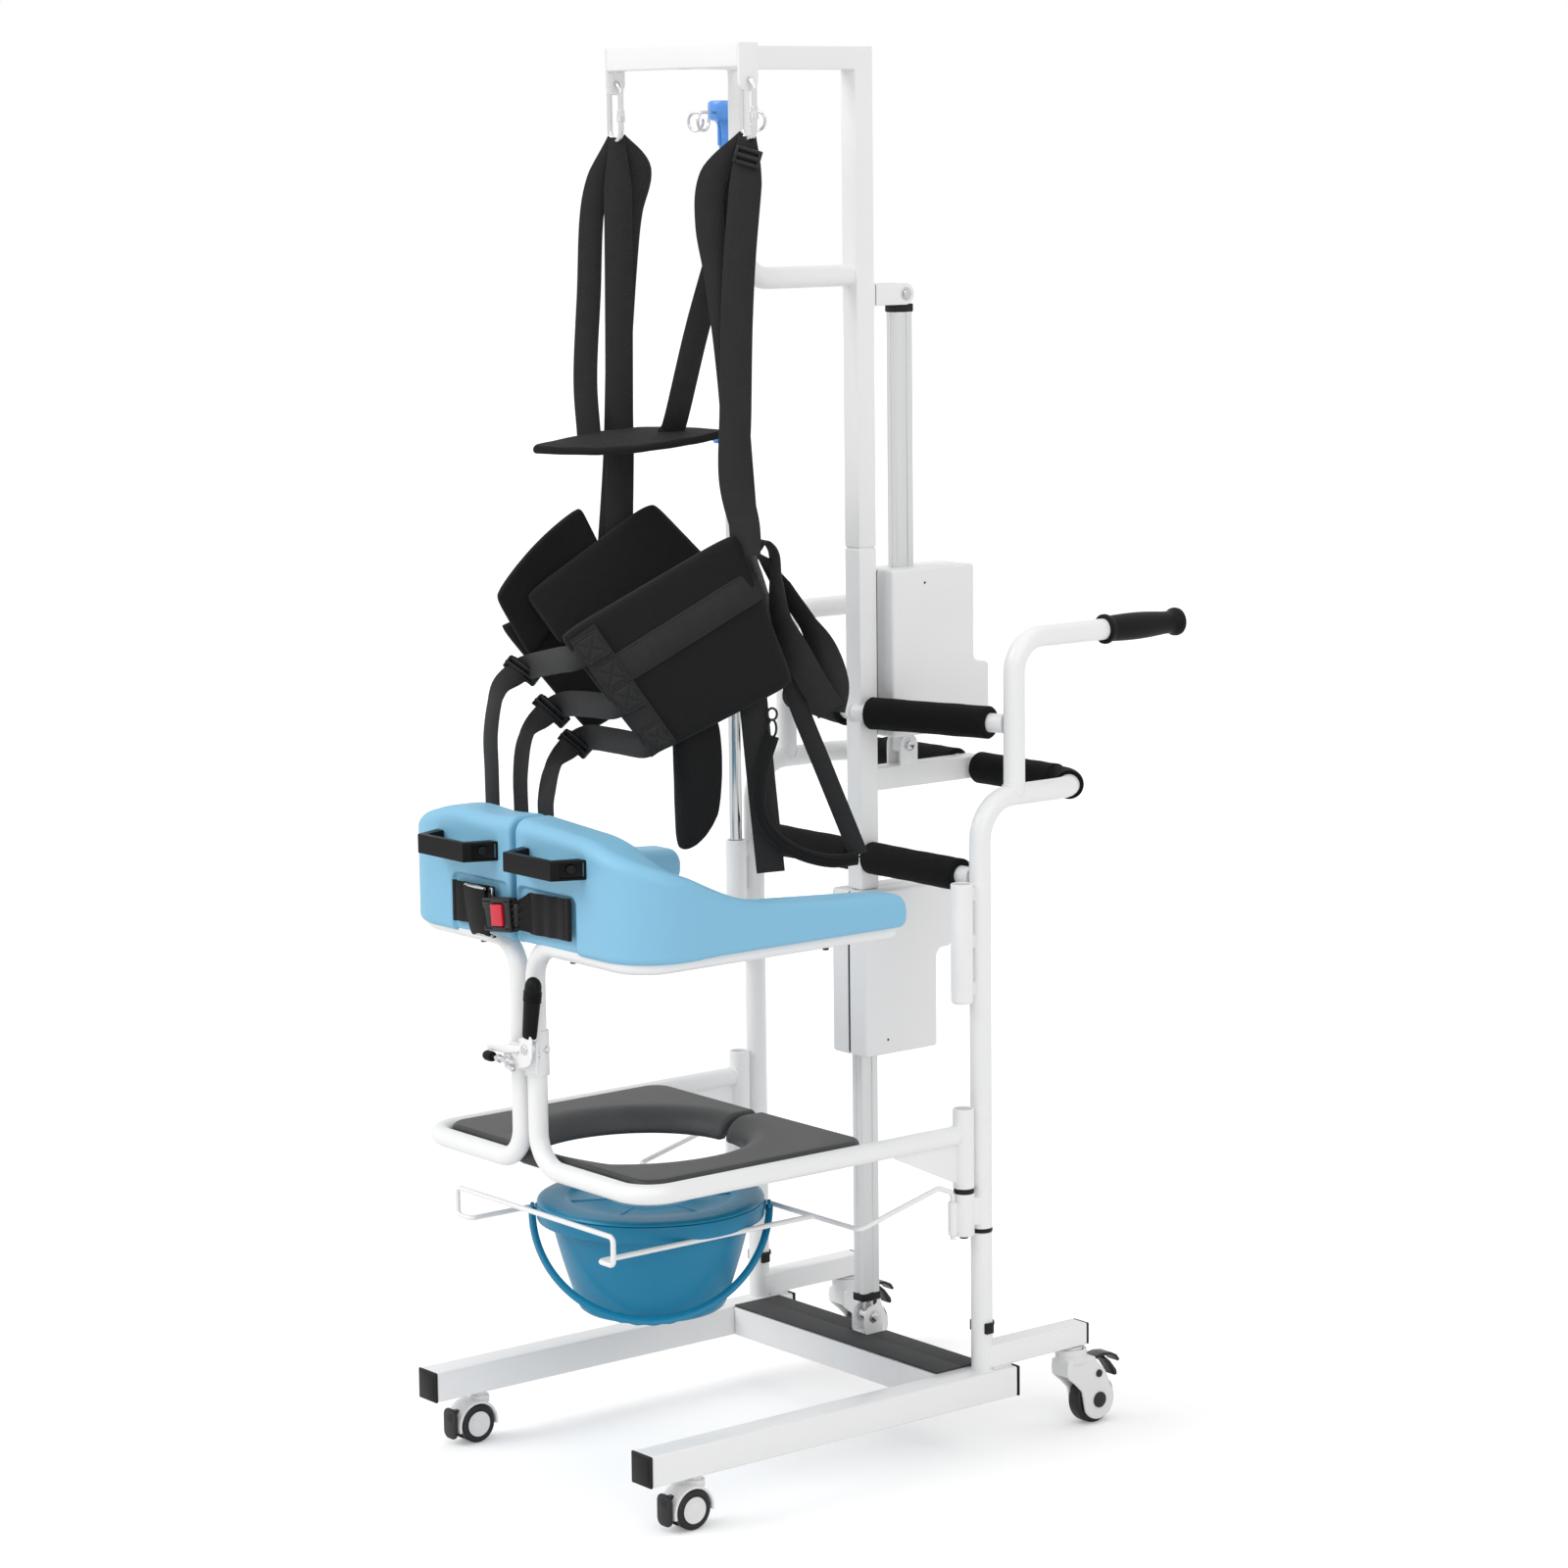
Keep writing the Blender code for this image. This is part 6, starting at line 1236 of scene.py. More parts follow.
COLUMN_U = 0.108
BOX_HALF, BOX_SIZE, SEAM_INSET, SEAM_WIDE = (0.072, 0.092), 0.036, 0.003, 0.0016
sew_strap((0.14, 0.395), (1.012, 0.345), 0.04, 0.0002)
sew_strap((COLUMN_U + 0.004, 0.06), (COLUMN_U - 0.012, 0.985), 0.038, 0.0018)


def stitch_box(v, lift):
    """A square of webbing sewn down with a cross in it, so that it puffs up between the seams."""
    left, upper = COLUMN_U - BOX_HALF[0], v - BOX_HALF[1]

    def spot(a, b):
        cross = min(abs(a - b), abs(a + b - 1)) * BOX_SIZE / sqrt(2)
        border = abs(min(a, 1 - a, b, 1 - b) * BOX_SIZE - SEAM_INSET)
        dip = exp(-((min(cross, border) / SEAM_WIDE) ** 2))
        place = on_near(left + 2 * BOX_HALF[0] * a, upper + 2 * BOX_HALF[1] * b, lift - 0.0016 * dip)
        return place, near_spot(0.5, 0.5)[1]

    add_pad(straps, spot, (BOX_SIZE, BOX_SIZE), 0.003, (34, 34), 0.001)


# The upright webbing carries four stitched boxes. Three front straps run from it to sliding
# buckles on the far panel, where their tails hang down, and the second box holds the belt.

buckle_black = painted(
    "black_buckle_plastic", "black_plastic", (0.0085, 0.0085, 0.009), (0.0055, 0.0055, 0.006), 0.36, 0.0012,
    0.00006, specular=0.35
)
TAIL_END = 0.846
tail_side = across_vest * 0.62 + toward_vest * 0.78
front_straps = {
    0.18: (
        ((-0.159, 0.06, 1.054), (-0.198, -0.05, 1.034), (-0.214, -0.064, 1.027)),
        ((-0.231, -0.058, 1.041), (-0.193, -0.058, 1.013)),
        ((-0.242, -0.05, 1.004), (-0.252, -0.032, 0.954), (-0.251, -0.016, 0.902), (-0.25, -0.008, TAIL_END))
    ),
    0.58: (
        ((-0.124, 0.045, 0.996), (-0.157, -0.05, 0.984), (-0.176, -0.064, 0.974)),
        ((-0.194, -0.058, 0.991), (-0.157, -0.058, 0.957)),
        ((-0.207, -0.045, 0.946), (-0.214, -0.016, 0.901), (-0.213, 0.0, TAIL_END))
    ),
    0.9: (
        ((-0.089, 0.04, 0.948), (-0.126, -0.052, 0.94), (-0.146, -0.064, 0.931)),
        ((-0.162, -0.058, 0.945), (-0.129, -0.058, 0.917)),
        ((-0.173, -0.032, 0.906), (-0.18, 0.01, 0.872), (-0.18, 0.03, TAIL_END))
    )
}


def add_ladder_buckle(start, end, face):
    """A slider between two points of the sling: three bars across the strap in a rounded frame."""
    middle, bar, out = (start + end) / 2, (end - start).normalized(), face.normalized()
    half = (end - start).length / 2
    turn = Matrix((bar, out.cross(bar), out)).transposed().to_4x4()
    frame_at = Matrix.Translation(middle) @ turn
    for y, lift in ((-0.0085, 0.0), (0.0, 0.0022), (0.0085, 0.0)):
        low, high = (-half, y - 0.0026, lift - 0.0024), (half, y + 0.0026, lift + 0.0024)
        add_block(buckles, low, high, 0.0014, 3, frame_at)
    add_block(straps, (-half + 0.003, -0.0105, -0.005), (half - 0.003, 0.0105, -0.0014), 0.001, 2, frame_at)
    for side in SIDES.values():
        low, high = sorted((side * half, side * (half - 0.0045)))
        add_block(buckles, (low, -0.011, -0.003), (high, 0.011, 0.0034), 0.0016, 3, frame_at)


for v, (run, (bar_start, bar_end), tail) in front_straps.items():
    sewn = [on_near(COLUMN_U + 0.06, v, 0.0034), on_near(COLUMN_U - 0.02, v, 0.0034), on_near(0.0, v, 0.006)]
    hang_strap(curve_through(sewn + [vest_at(*p) for p in run]), 0.033, (upright,))
    bar_start, bar_end = vest_at(*bar_start), vest_at(*bar_end)
    add_ladder_buckle(bar_start, bar_end, toward_vest - across_vest * 0.7)
    start = (bar_start + bar_end) / 2 - across_vest * 0.004
    hang_strap(
        [start] + curve_through([start] + [vest_at(*p) for p in tail], 10)[1:], 0.031,
        ((bar_end - bar_start).normalized(), tail_side, tail_side, tail_side)
    )
add_ladder_buckle(vest_at(0.072, 0.111, 1.684), vest_at(0.104, 0.111, 1.674), toward_vest)
for v in (0.18, 0.395, 0.58, 0.9):
    stitch_box(v, 0.0052 if v in front_straps else 0.0036)

# Leg straps, the folded loop at the right edge and the padded leg loop with its clip.

hang_strap(
    through((0.084, 0.078, 1.03), (0.088, 0.08, 0.985), (0.097, 0.074, 0.88), (0.106, 0.066, 0.7815)), 0.036
)
hang_strap(through((0.124, 0.064, 1.06), (0.142, 0.061, 0.997), (0.175, 0.056, 0.911), (0.218, 0.05, 0.8)), 0.024)
edge_on, slanted = across_vest * 0.35 + toward_vest * 0.94, (across_vest * 0.036 + upright * 0.02).normalized()
loop_front = through(
    (0.086, 0.106, 1.196), (0.101, 0.102, 1.206), (0.114, 0.097, 1.192), (0.117, 0.09, 1.158),
    (0.121, 0.085, 1.115), (0.136, 0.078, 1.074), (0.158, 0.073, 1.03), (0.184, 0.07, 0.987)
)
loop_back = through(
    (0.184, 0.066, 0.987), (0.189, 0.06, 1.02), (0.176, 0.058, 1.062), (0.156, 0.058, 1.098),
    (0.133, 0.06, 1.132), (0.116, 0.064, 1.158), (0.1, 0.076, 1.185)
)
hang_strap(loop_front, 0.037, (turned, edge_on, edge_on, turned, slanted, slanted))
hang_strap(loop_back, 0.037, (slanted, slanted, turned, turned, edge_on))
show("sling_straps", straps, webbing, "sling", sharp=60)
show("sling_stitches", stitches, webbing, "sling", sharp=60)

leg_loop = bmesh.new()
loop_path = through(
    (0.11, 0.084, 0.958), (0.096, 0.085, 0.913), (0.093, 0.083, 0.866), (0.108, 0.08, 0.833),
    (0.14, 0.074, 0.808), (0.181, 0.066, 0.795), (0.216, 0.056, 0.796), steps=10
)
padding = [(0.0088 * cos(a), 0.0066 * sin(a)) for a in circle(20)]
add_sweep(leg_loop, loop_path, padding, across_vest + upright)
for edge in (-1, 1):
    piping = [
        point + (across_vest + upright).normalized() * edge * 0.0052 + toward_vest * 0.0058 for point in loop_path
    ]
    add_sweep(leg_loop, piping, ring(0.0012, 8))
loop_piece = show("padded_leg_loop", leg_loop, vest_fabric, "sling", sharp=60)
clip = bmesh.new()
for height, half_wide, half_high in ((0.986, 0.006, 0.0075), (0.968, 0.005, 0.011)):
    oval = [vest_at(0.11 + half_wide * cos(a), 0.085, height + half_high * sin(a)) for a in circle(24)]
    add_sweep(clip, oval, ring(0.0016, 8), toward_vest, True)
show("leg_loop_clip", clip, buckle_black, "sling")
show("sling_buckles", buckles, buckle_black, "sling")


# Seat halves: each is one bent 25 mm steel tube. It runs from the hinge barrel along the seat,
# in to the middle, up as a riser and out again under the armrest. Powder coated white.

RISER_X, SEAT_FRONT, SEAT_Z, ARM_Z_TUBE, SEAT_R = 0.0175, 0.01, 0.428, 0.7135, 0.0125
LATCH_X, LATCH_Y, LATCH_Z = 0.034, -0.0131, 0.585


def along_z_down(x, y, z):
    """A frame on the bench whose Z points down."""
    return Matrix.Translation((x, y, z)) @ Matrix.Rotation(pi, 4, "X")


for hand, side in SIDES.items():
    x, inner = side * LEG_X, side * RISER_X
    seat_body = f"seat_{hand}"
    seat = bmesh.new()
    bends = [(x, HINGE_Y - 0.0093, SEAT_Z), (x, SEAT_FRONT, SEAT_Z), (inner, SEAT_FRONT, SEAT_Z)]
    bends += [(inner, SEAT_FRONT, ARM_Z_TUBE), (x, SEAT_FRONT, ARM_Z_TUBE), (x, 0.405, ARM_Z_TUBE)]
    add_sweep(seat, rounded(bends, 0.045, 14), ring(SEAT_R, 32))
    add_pipe(seat, standing(x, HINGE_Y), TUBE_R, 0.0112, 0.357, 0.462, 0.0008, 44)
    add_bead(seat, along_y(x, HINGE_Y - TUBE_R + 0.001, SEAT_Z), SEAT_R, 0.0016)
    gusset = [(0.514, 0.3637), (0.514, 0.4165), (0.408, 0.4165), (0.412, 0.412)]
    add_plate(seat, gusset, -0.002, 0.002, side_on(x), 0.0008)
    for y in (0.11, 0.315):
        low, high = sorted((side * 0.1615, side * LEG_X))
        add_block(seat, (low, y - 0.0125, 0.4147), (high, y + 0.0125, 0.4177), 0.001, 2)
    sleeve_top = 0.603 if side == RIGHT else 0.572
    add_bar(seat, standing(inner, SEAT_FRONT), 0.0155, 0.546, sleeve_top, 0.0008, 48)
    if side == LEFT:
        add_block(seat, (inner, -0.0171, 0.565), (-0.0013, SEAT_FRONT, 0.573), 0.0012)
    else:
        add_block(seat, (0.003, -0.0085, 0.553), (0.042, -0.0045, 0.593), 0.0012)
    show(f"seat_tube_{hand}", seat, powder_white, seat_body, f"seat_frame_{hand}")

    screws, studs = bmesh.new(), bmesh.new()
    for stud_x, stud_y in ((side * 0.097, 0.012), (x, 0.3)):
        add_bar(studs, along_z_down(stud_x, stud_y, 0.7012), 0.0042, 0.0, 0.0026, 0.0009, 18)
    if side == LEFT:
        add_bar(screws, standing(-0.00525, LATCH_Y), 0.003, 0.572, 0.58, 0.0008, 20)
    else:
        add_bar(screws, along_y(LATCH_X, -0.0045, LATCH_Z, -1), 0.004, 0.0, 0.012, 0.0006, 20)
        facing = Matrix.Translation((inner, SEAT_FRONT, 0.5745)) @ Matrix.Rotation(radians(-40), 4, "Z")
        add_bar(screws, facing @ Matrix.Rotation(pi / 2, 4, "Y"), 0.0052, 0.015, 0.0186, 0.0016, 28)
        add_hex_bolt(screws, along_x(inner + 0.015, SEAT_FRONT + 0.004, 0.58, 1), 0.0042, 0.003)
    show(f"arm_studs_{hand}", studs, plug_black, seat_body)
    show(f"latch_screws_{hand}", screws, bright_steel, seat_body)


# Seat pads: two moulded polyurethane halves with a dark skin, rounded at the rim and rolled
# down into the commode opening. They are screwed to tabs under the seat tubes.

seat_skin = painted(
    "dark_seat_skin", "dark_seat_skin", (0.078, 0.078, 0.079), (0.012, 0.012, 0.0125), 0.48, 0.0011, 0.0003,
    specular=0.35
)
PAD_TOP, PAD_LOW, LIP_LOW, LIP_FULL = 0.4415, 0.418, 0.4092, 0.04
HOLE_Y, HOLE_HALF = 0.175, (0.133, 0.1385)
PAD_FRONT, PAD_OUTER, PAD_REAR, PAD_SPLIT = 0.0272, 0.2206, 0.3764, 0.0056
ROLL, RIM_ROUND, RIM_UNDER, LIP_THICK, SPLIT_ROUND = 0.034, 0.007, 0.003, 0.012, 0.004


def pad_rim():
    """The outer edge of the right half, from the split at the front round to the split at the rear."""
    front, rear = (PAD_OUTER - 0.028, PAD_FRONT + 0.028), (PAD_OUTER - 0.024, PAD_REAR - 0.024)
    corners = [(PAD_SPLIT, PAD_FRONT)] + arc(front, 0.028, -90, 0, 10) + arc(rear, 0.024, 0, 90, 10)
    corners += [(PAD_SPLIT, PAD_REAR)]
    edge = []
    for (x0, y0), (x1, y1) in zip(corners, corners[1:]):
        parts = max(1, round(hypot(x1 - x0, y1 - y0) / 0.006))
        edge += [(x0 + (x1 - x0) * i / parts, y0 + (y1 - y0) * i / parts) for i in range(parts)]
    return edge + corners[-1:]


def pad_section(side, rim, inset, shift):
    """A section of the pad from the opening out to a place on its rim."""
    turn = atan2((rim[1] - HOLE_Y) / HOLE_HALF[1], (rim[0] - PAD_SPLIT) / HOLE_HALF[0])
    edge = Vector((PAD_SPLIT + (HOLE_HALF[0] - PAD_SPLIT) * cos(turn), HOLE_Y + HOLE_HALF[1] * sin(turn), 0))
    run = Vector((*rim, 0)) - edge
    length = run.length
    inset = min(inset, 0.15 * length)
    roll, top = min(ROLL, 0.55 * length), PAD_TOP - inset
    under = PAD_LOW + inset
    lip = under - (PAD_LOW - LIP_LOW) * min(1.0, length / LIP_FULL)
    rounding, sole = min(RIM_ROUND, 0.4 * length), min(RIM_UNDER, 0.3 * length)
    quarter_turns = [pi / 2 * i / 10 for i in range(11)]
    profile = [(inset + roll * (1 - cos(a)), lip + 0.002 + (top - lip - 0.002) * sin(a)) for a in quarter_turns]
    outer = length - inset
    profile += [(roll + (outer - rounding - roll) * i / 6, top) for i in range(1, 6)]
    profile += [(outer - rounding + rounding * sin(a), top - rounding + rounding * cos(a)) for a in quarter_turns]
    profile += [(outer, under + sole), (outer - sole * 0.3, under + sole * 0.3), (outer - sole, under)]
    inner = min(roll, LIP_THICK, 0.5 * length)
    profile += [
        (inner + min(0.012, 0.2 * length), under), (inner, lip + 0.003), (inner * 0.8, lip), (inset + 0.002, lip)
    ]
    points = []
    for along, z in profile:
        place = edge + run * (along / length)
        points.append(Vector((side * (place.x + shift), place.y, z)))
    return points


for hand, side in SIDES.items():
    rim = pad_rim()
    ends = [(SPLIT_ROUND, 0.0), (SPLIT_ROUND * 0.29, SPLIT_ROUND * 0.3)]
    cuts = [(rim[0], *end) for end in ends] + [(place, 0.0, 0.0) for place in rim[1:-1]]
    cuts += [(rim[-1], *end) for end in reversed(ends)]
    pad = add_loft(bmesh.new(), [pad_section(side, *cut) for cut in cuts])
    piece = show(f"seat_half_{hand}", pad, seat_skin, f"seat_{hand}", f"seat_pad_{hand}", sharp=60)


# Backs and armrests: two halves moulded in light blue integral skin foam over the arm tubes,
# with soft corners and a shallow panel pressed in round the belt.

back_blue = painted(
    "blue_moulded_foam", "blue_moulded_foam", (0.228, 0.52, 0.722), (0.208, 0.49, 0.692), 0.46, 0.0011, 0.0003
)
BACK_Y, BACK_HALF, BACK_LOW, BACK_TOP, ARM_TOP = -0.01, 0.0325, 0.7145, 0.8715, 0.759
BACK_CORNER, ARM_OUTER, ARM_END, BACK_GAP = 0.085, 0.268, 0.412, 0.0058
CREST_SLOPE, CREST_FROM, CREST_TO = 0.066, 0.132, 0.398
TOP_ROUND, LOW_ROUND, GAP_ROUND, END_ROUND = 0.018, 0.009, 0.0055, 0.014
PRESS_MID, PRESS_HALF, PRESS_CORNER, PRESS_DEPTH, PRESS_RAMP = (0.072, 0.689), (0.063, 0.1), 0.012, 0.0052, 0.0036
turn_r = BACK_CORNER - BACK_HALF
straight, quarter = ARM_OUTER - BACK_CORNER, (BACK_CORNER - BACK_HALF) * pi / 2
back_length = straight + quarter + ARM_END - BACK_Y - BACK_CORNER
crest_drop = BACK_TOP - CREST_SLOPE * back_length - ARM_TOP


def soft_step(value, low, high):
    share = min(1.0, max(0.0, (value - low) / (high - low)))
    return share * share * (3 - 2 * share)


def pressed(x, z):
    """How far the front face is pressed in at a place: a panel with round corners and a soft edge."""
    over_x = abs(abs(x) - PRESS_MID[0]) - PRESS_HALF[0] + PRESS_CORNER
    over_z = abs(z - PRESS_MID[1]) - PRESS_HALF[1] + PRESS_CORNER
    outside = hypot(max(over_x, 0), max(over_z, 0)) + min(max(over_x, over_z), 0) - PRESS_CORNER
    return PRESS_DEPTH * soft_step(-outside, 0.0, PRESS_RAMP)


def back_ring(side, along, inset):
    """One section of a half, along its middle line from the gap to the armrest's end."""
    turn = min(max((along - straight) / turn_r, 0), pi / 2)
    out = Vector((sin(turn), -cos(turn), 0))
    middle = Vector((min(along, straight), BACK_Y + BACK_CORNER, 0)) + out * turn_r
    middle.y += max(along - straight - quarter, 0)
    share = min(max((along - CREST_FROM) / (CREST_TO - CREST_FROM), 0), 1)
    top = BACK_TOP - CREST_SLOPE * along - crest_drop * (1 - cos(pi * share)) / 2
    low = BACK_LOW + 0.004 * soft_step(along, 0.2, 0.32)
    if side == LEFT:
        shoulder = soft_step(along, 0.05, 0.13) * (1 - soft_step(along, 0.19, 0.3))
        top, low = top + 0.008 * shoulder, low - 0.004 * shoulder
    top, low, reach = top - inset, low + inset, BACK_HALF - inset
    bend, foot = min(TOP_ROUND - inset / 2, 0.6 * (top - low)), min(LOW_ROUND, 0.35 * (top - low))
    profile = arc((bend - reach, top - bend), bend, 180, 90, 8) + arc((reach - bend, top - bend), bend, 90, 0, 8)
    fall = low + foot - top + bend
    front = [top - bend + fall * i / 84 for i in range(1, 84)]
    sides = [top - bend + fall * i / 20 for i in range(1, 20)]
    profile += [(reach, z) for z in front] + arc((reach - foot, low + foot), foot, 0, -90, 5)
    profile += arc((foot - reach, low + foot), foot, 270, 180, 5) + [(-reach, z) for z in reversed(sides)]
    points = []
    for px, pz in profile:
        place = middle + out * px + upright * pz
        if px > BACK_HALF * 0.7 and along < straight:
            place.y += pressed(place.x, pz)
        points.append(Vector((side * place.x, place.y, place.z)))
    return points


def rounded_end(radius, steps=7):
    """Pairs of (run, inset) that round off the end of a moulding."""
    turns = [pi / 2 * i / steps for i in range(steps + 1)]
    return [(radius * (1 - sin(a)), radius * (1 - cos(a))) for a in reversed(turns)]


for hand, side in SIDES.items():
    stops = [(BACK_GAP + run, inset) for run, inset in rounded_end(GAP_ROUND)]
    first, last = BACK_GAP + GAP_ROUND, back_length - END_ROUND
    stops += [(first + (straight - first) * i / 108, 0.0) for i in range(1, 108)]
    stops += [(straight + (last - straight) * i / 60, 0.0) for i in range(60)]
    stops += [(back_length - run, inset) for run, inset in reversed(rounded_end(END_ROUND))]
    back = add_loft(bmesh.new(), [back_ring(side, along, inset) for along, inset in stops])
    name, body = f"back_and_armrest_{hand}", f"seat_{hand}"
    piece = show(name, back, back_blue, body, f"backrest_{hand}", sharp=60)


# Back handles: black nylon bows screwed to the backs, with slanted legs. A pocket in the
# outer face of each leg takes the sunk screw.

handle_black = painted(
    "black_handle_nylon", "black_plastic", (0.004, 0.004, 0.0044), (0.0026, 0.0026, 0.0029), 0.42, 0.0011,
    0.00012, specular=0.14
)
BOW_OUTLINE = [
    (0.026, -0.0103), (0.044, -0.0513), (0.144, -0.0513), (0.162, -0.0103),
    (0.146, -0.0103), (0.135, -0.0423), (0.053, -0.0423), (0.042, -0.0103),
]
BOW_LOW, BOW_HIGH, BOW_SHIFT = 0.8135, 0.8385, -0.0035
POCKET_FROM, POCKET_TO, POCKET_HALF, POCKET_DEEP = 0.0022, 0.034, 0.0095, 0.007


def carve(bm, cutter):
    """Cuts one closed shape out of another."""
    shapes = [loose_object(source, "carving") for source in (bm, cutter)]
    cut = shapes[0].modifiers.new("cut", "BOOLEAN")
    cut.operation, cut.solver, cut.object = "DIFFERENCE", "EXACT", shapes[1]
    mesh = modified(shapes[0])
    for shape in shapes:
        bpy.data.meshes.remove(shape.data)
    return mesh


for hand, side in SIDES.items():
    bow, pockets, screws = bmesh.new(), bmesh.new(), bmesh.new()
    outline = [(side * px + BOW_SHIFT, py) for px, py in BOW_OUTLINE]
    add_plate(bow, outline if side > 0 else outline[::-1], BOW_LOW, BOW_HIGH, None, 0.0015, 3)
    middle = (BOW_LOW + BOW_HIGH) / 2
    for foot, knee in ((outline[0], outline[1]), (outline[3], outline[2])):
        down = (Vector((*knee, 0)) - Vector((*foot, 0))).normalized()
        out = down.cross(upright)
        lengthwise = upright if out.x * (foot[0] - side * 0.094) > 0 else -upright
        leg = Matrix((down, lengthwise, down.cross(lengthwise))).transposed().to_4x4()
        leg = Matrix.Translation((*foot, middle)) @ leg
        low, high = (POCKET_FROM, -POCKET_HALF, -POCKET_DEEP), (POCKET_TO, POCKET_HALF, 0.004)
        add_block(pockets, low, high, 0.0012, 2, leg)
        screw = leg @ Matrix.Translation(((POCKET_FROM + POCKET_TO) / 2, 0, -POCKET_DEEP - 0.0004))
        add_bar(screws, screw, 0.0062, 0.0, 0.0034, 0.0012, 24)
        add_bead(screws, screw @ Matrix.Translation((0, 0, 0.0034)), 0.003, 0.0007, 20)
    bow = carve(bow, pockets)
    body = f"seat_{hand}"
    show(f"bow_handle_{hand}", bow, handle_black, body, f"back_handle_{hand}")
    show(f"bow_screws_{hand}", screws, plug_black, body)


# Safety belt: webbing sewn round each half of the back, a push button buckle on the left half
# and its tongue, with the webbing gathered through it, on the right half.

belt_webbing = strap_webbing("belt_webbing", (0.0006, 0.0006, 0.0007), (0.004, 0.004, 0.0044))
button_red = painted(
    "red_button_plastic", "red_plastic", (0.62, 0.004, 0.03), (0.56, 0.003, 0.024), 0.34, 0.0015, 0.00005,
    coat=0.1
)
BELT_Y, BELT_LEAN = -0.0105, radians(6)
HEM = 0.004


def add_web(bm, start, end, width, wave):
    """A flat length of belt between two (x, z) places, with soft waves and a rolled hem at its outer end."""
    path = []
    for i in range(25):
        share = i / 24
        x, z = start[0] + (end[0] - start[0]) * share, start[1] + (end[1] - start[1]) * share
        path.append((x, BELT_Y - 0.0018 - wave * sin(9 * share) ** 2, z))
    add_sweep(bm, path, ribbon(width, 0.0024), upright)
    hem = path[-1]
    low, high = (hem[0], BELT_Y - HEM / 2, hem[2] - width / 2), (hem[0], BELT_Y - HEM / 2, hem[2] + width / 2)
    add_sweep(bm, [low, high], [(px * 1.2, py * 0.7) for px, py in ring(HEM, 14)], Vector((1, 0, 0)))


left_belt, right_belt = bmesh.new(), bmesh.new()
add_web(left_belt, (-0.036, 0.7545), (-0.1235, 0.752), 0.052, 0.0012)
tab = [
    (-0.0665, -0.015, 0.779), (-0.0655, -0.0225, 0.776), (-0.059, -0.025, 0.75), (-0.0515, -0.0235, 0.7215),
    (-0.051, -0.015, 0.7175),
]
add_sweep(left_belt, curve_through(tab), ribbon(0.043, 0.0026), Vector((1, 0, 0)))
show("belt_web_left", left_belt, belt_webbing, "seat_left", "belt_left", sharp=60)
add_web(right_belt, (0.042, 0.757), (0.1225, 0.7597), 0.0525, 0.0016)


def gathered_web(share):
    """The section of the webbing where it is drawn together in the tongue: pleats that flatten out."""
    half = 0.0165 + 0.0095 * share**1.4
    deep = 0.0046 * (1 - share) + 0.0014
    front = [
        (half * (2 * i / 20 - 1), deep * (0.75 + 0.35 * cos(i * pi / 2.5) * (1.15 - share))) for i in range(21)
    ]
    return [(a, -deep * 0.6) for a, _ in reversed(front)] + front


gather = [(0.017 + 0.029 * i / 14, -0.018 + 0.0055 * i / 14, 0.751 + 0.006 * i / 14) for i in range(15)]
add_sweep(right_belt, gather, gathered_web, upright)
show("belt_web_right", right_belt, belt_webbing, "seat_right", "belt_right", sharp=60)

leaning = Matrix.Translation((-0.014, 0, 0.749)) @ Matrix.Rotation(-BELT_LEAN, 4, "Y")
buckle = bmesh.new()
HOUSING_X, HOUSING_HALF, FACE_Y, BED_Y = (-0.0285, 0.03), 0.0215, -0.0262, -0.0185
WELL_X, WELL_Z, WALL_Z = (-0.0086, 0.0166), 0.0142, 0.019
left, right = HOUSING_X
add_block(buckle, (left, -0.02, -HOUSING_HALF), (right, -0.0112, HOUSING_HALF), 0.003, 4, leaning)
for ends, low, high, rounding in (
    (HOUSING_X, WELL_Z, HOUSING_HALF, 0.0022), (HOUSING_X, -HOUSING_HALF, -WELL_Z, 0.0022),
    ((left, WELL_X[0]), -WALL_Z, WALL_Z, 0.0014), ((WELL_X[1], right), -WALL_Z, WALL_Z, 0.0014),
):
    add_block(buckle, (ends[0], FACE_Y, low), (ends[1], BED_Y, high), rounding, 4, leaning)
show("buckle_housing", buckle, buckle_black, "seat_left")
button = bmesh.new()
add_block(button, (-0.008, -0.029, -0.0136), (0.016, -0.024, 0.0136), 0.0012, 4, leaning)
show("buckle_push_button", button, button_red, "buckle_button", "buckle_button")
adjuster = bmesh.new()
for x, y, z in ((-0.066, -0.0215, 0.7775), (-0.051, -0.0215, 0.7195)):
    add_bar(adjuster, along_x(x, y, z), 0.0024, -0.0215, 0.0215, 0.0008, 18)
add_block(adjuster, (-0.044, -0.016, 0.766), (-0.037, -0.0118, 0.779), 0.0012)
show("belt_adjuster", adjuster, guide_steel, "seat_left")
tongue = bmesh.new()
add_block(tongue, (0.0165, -0.0225, 0.737), (0.0265, -0.012, 0.768), 0.003, 4)
show("buckle_tongue", tongue, buckle_black, "seat_right")


# Latch lever: a toggle of pressed white steel with a ribbed black rubber grip. Its hook drops
# over the stud of the other half and holds the seat shut.

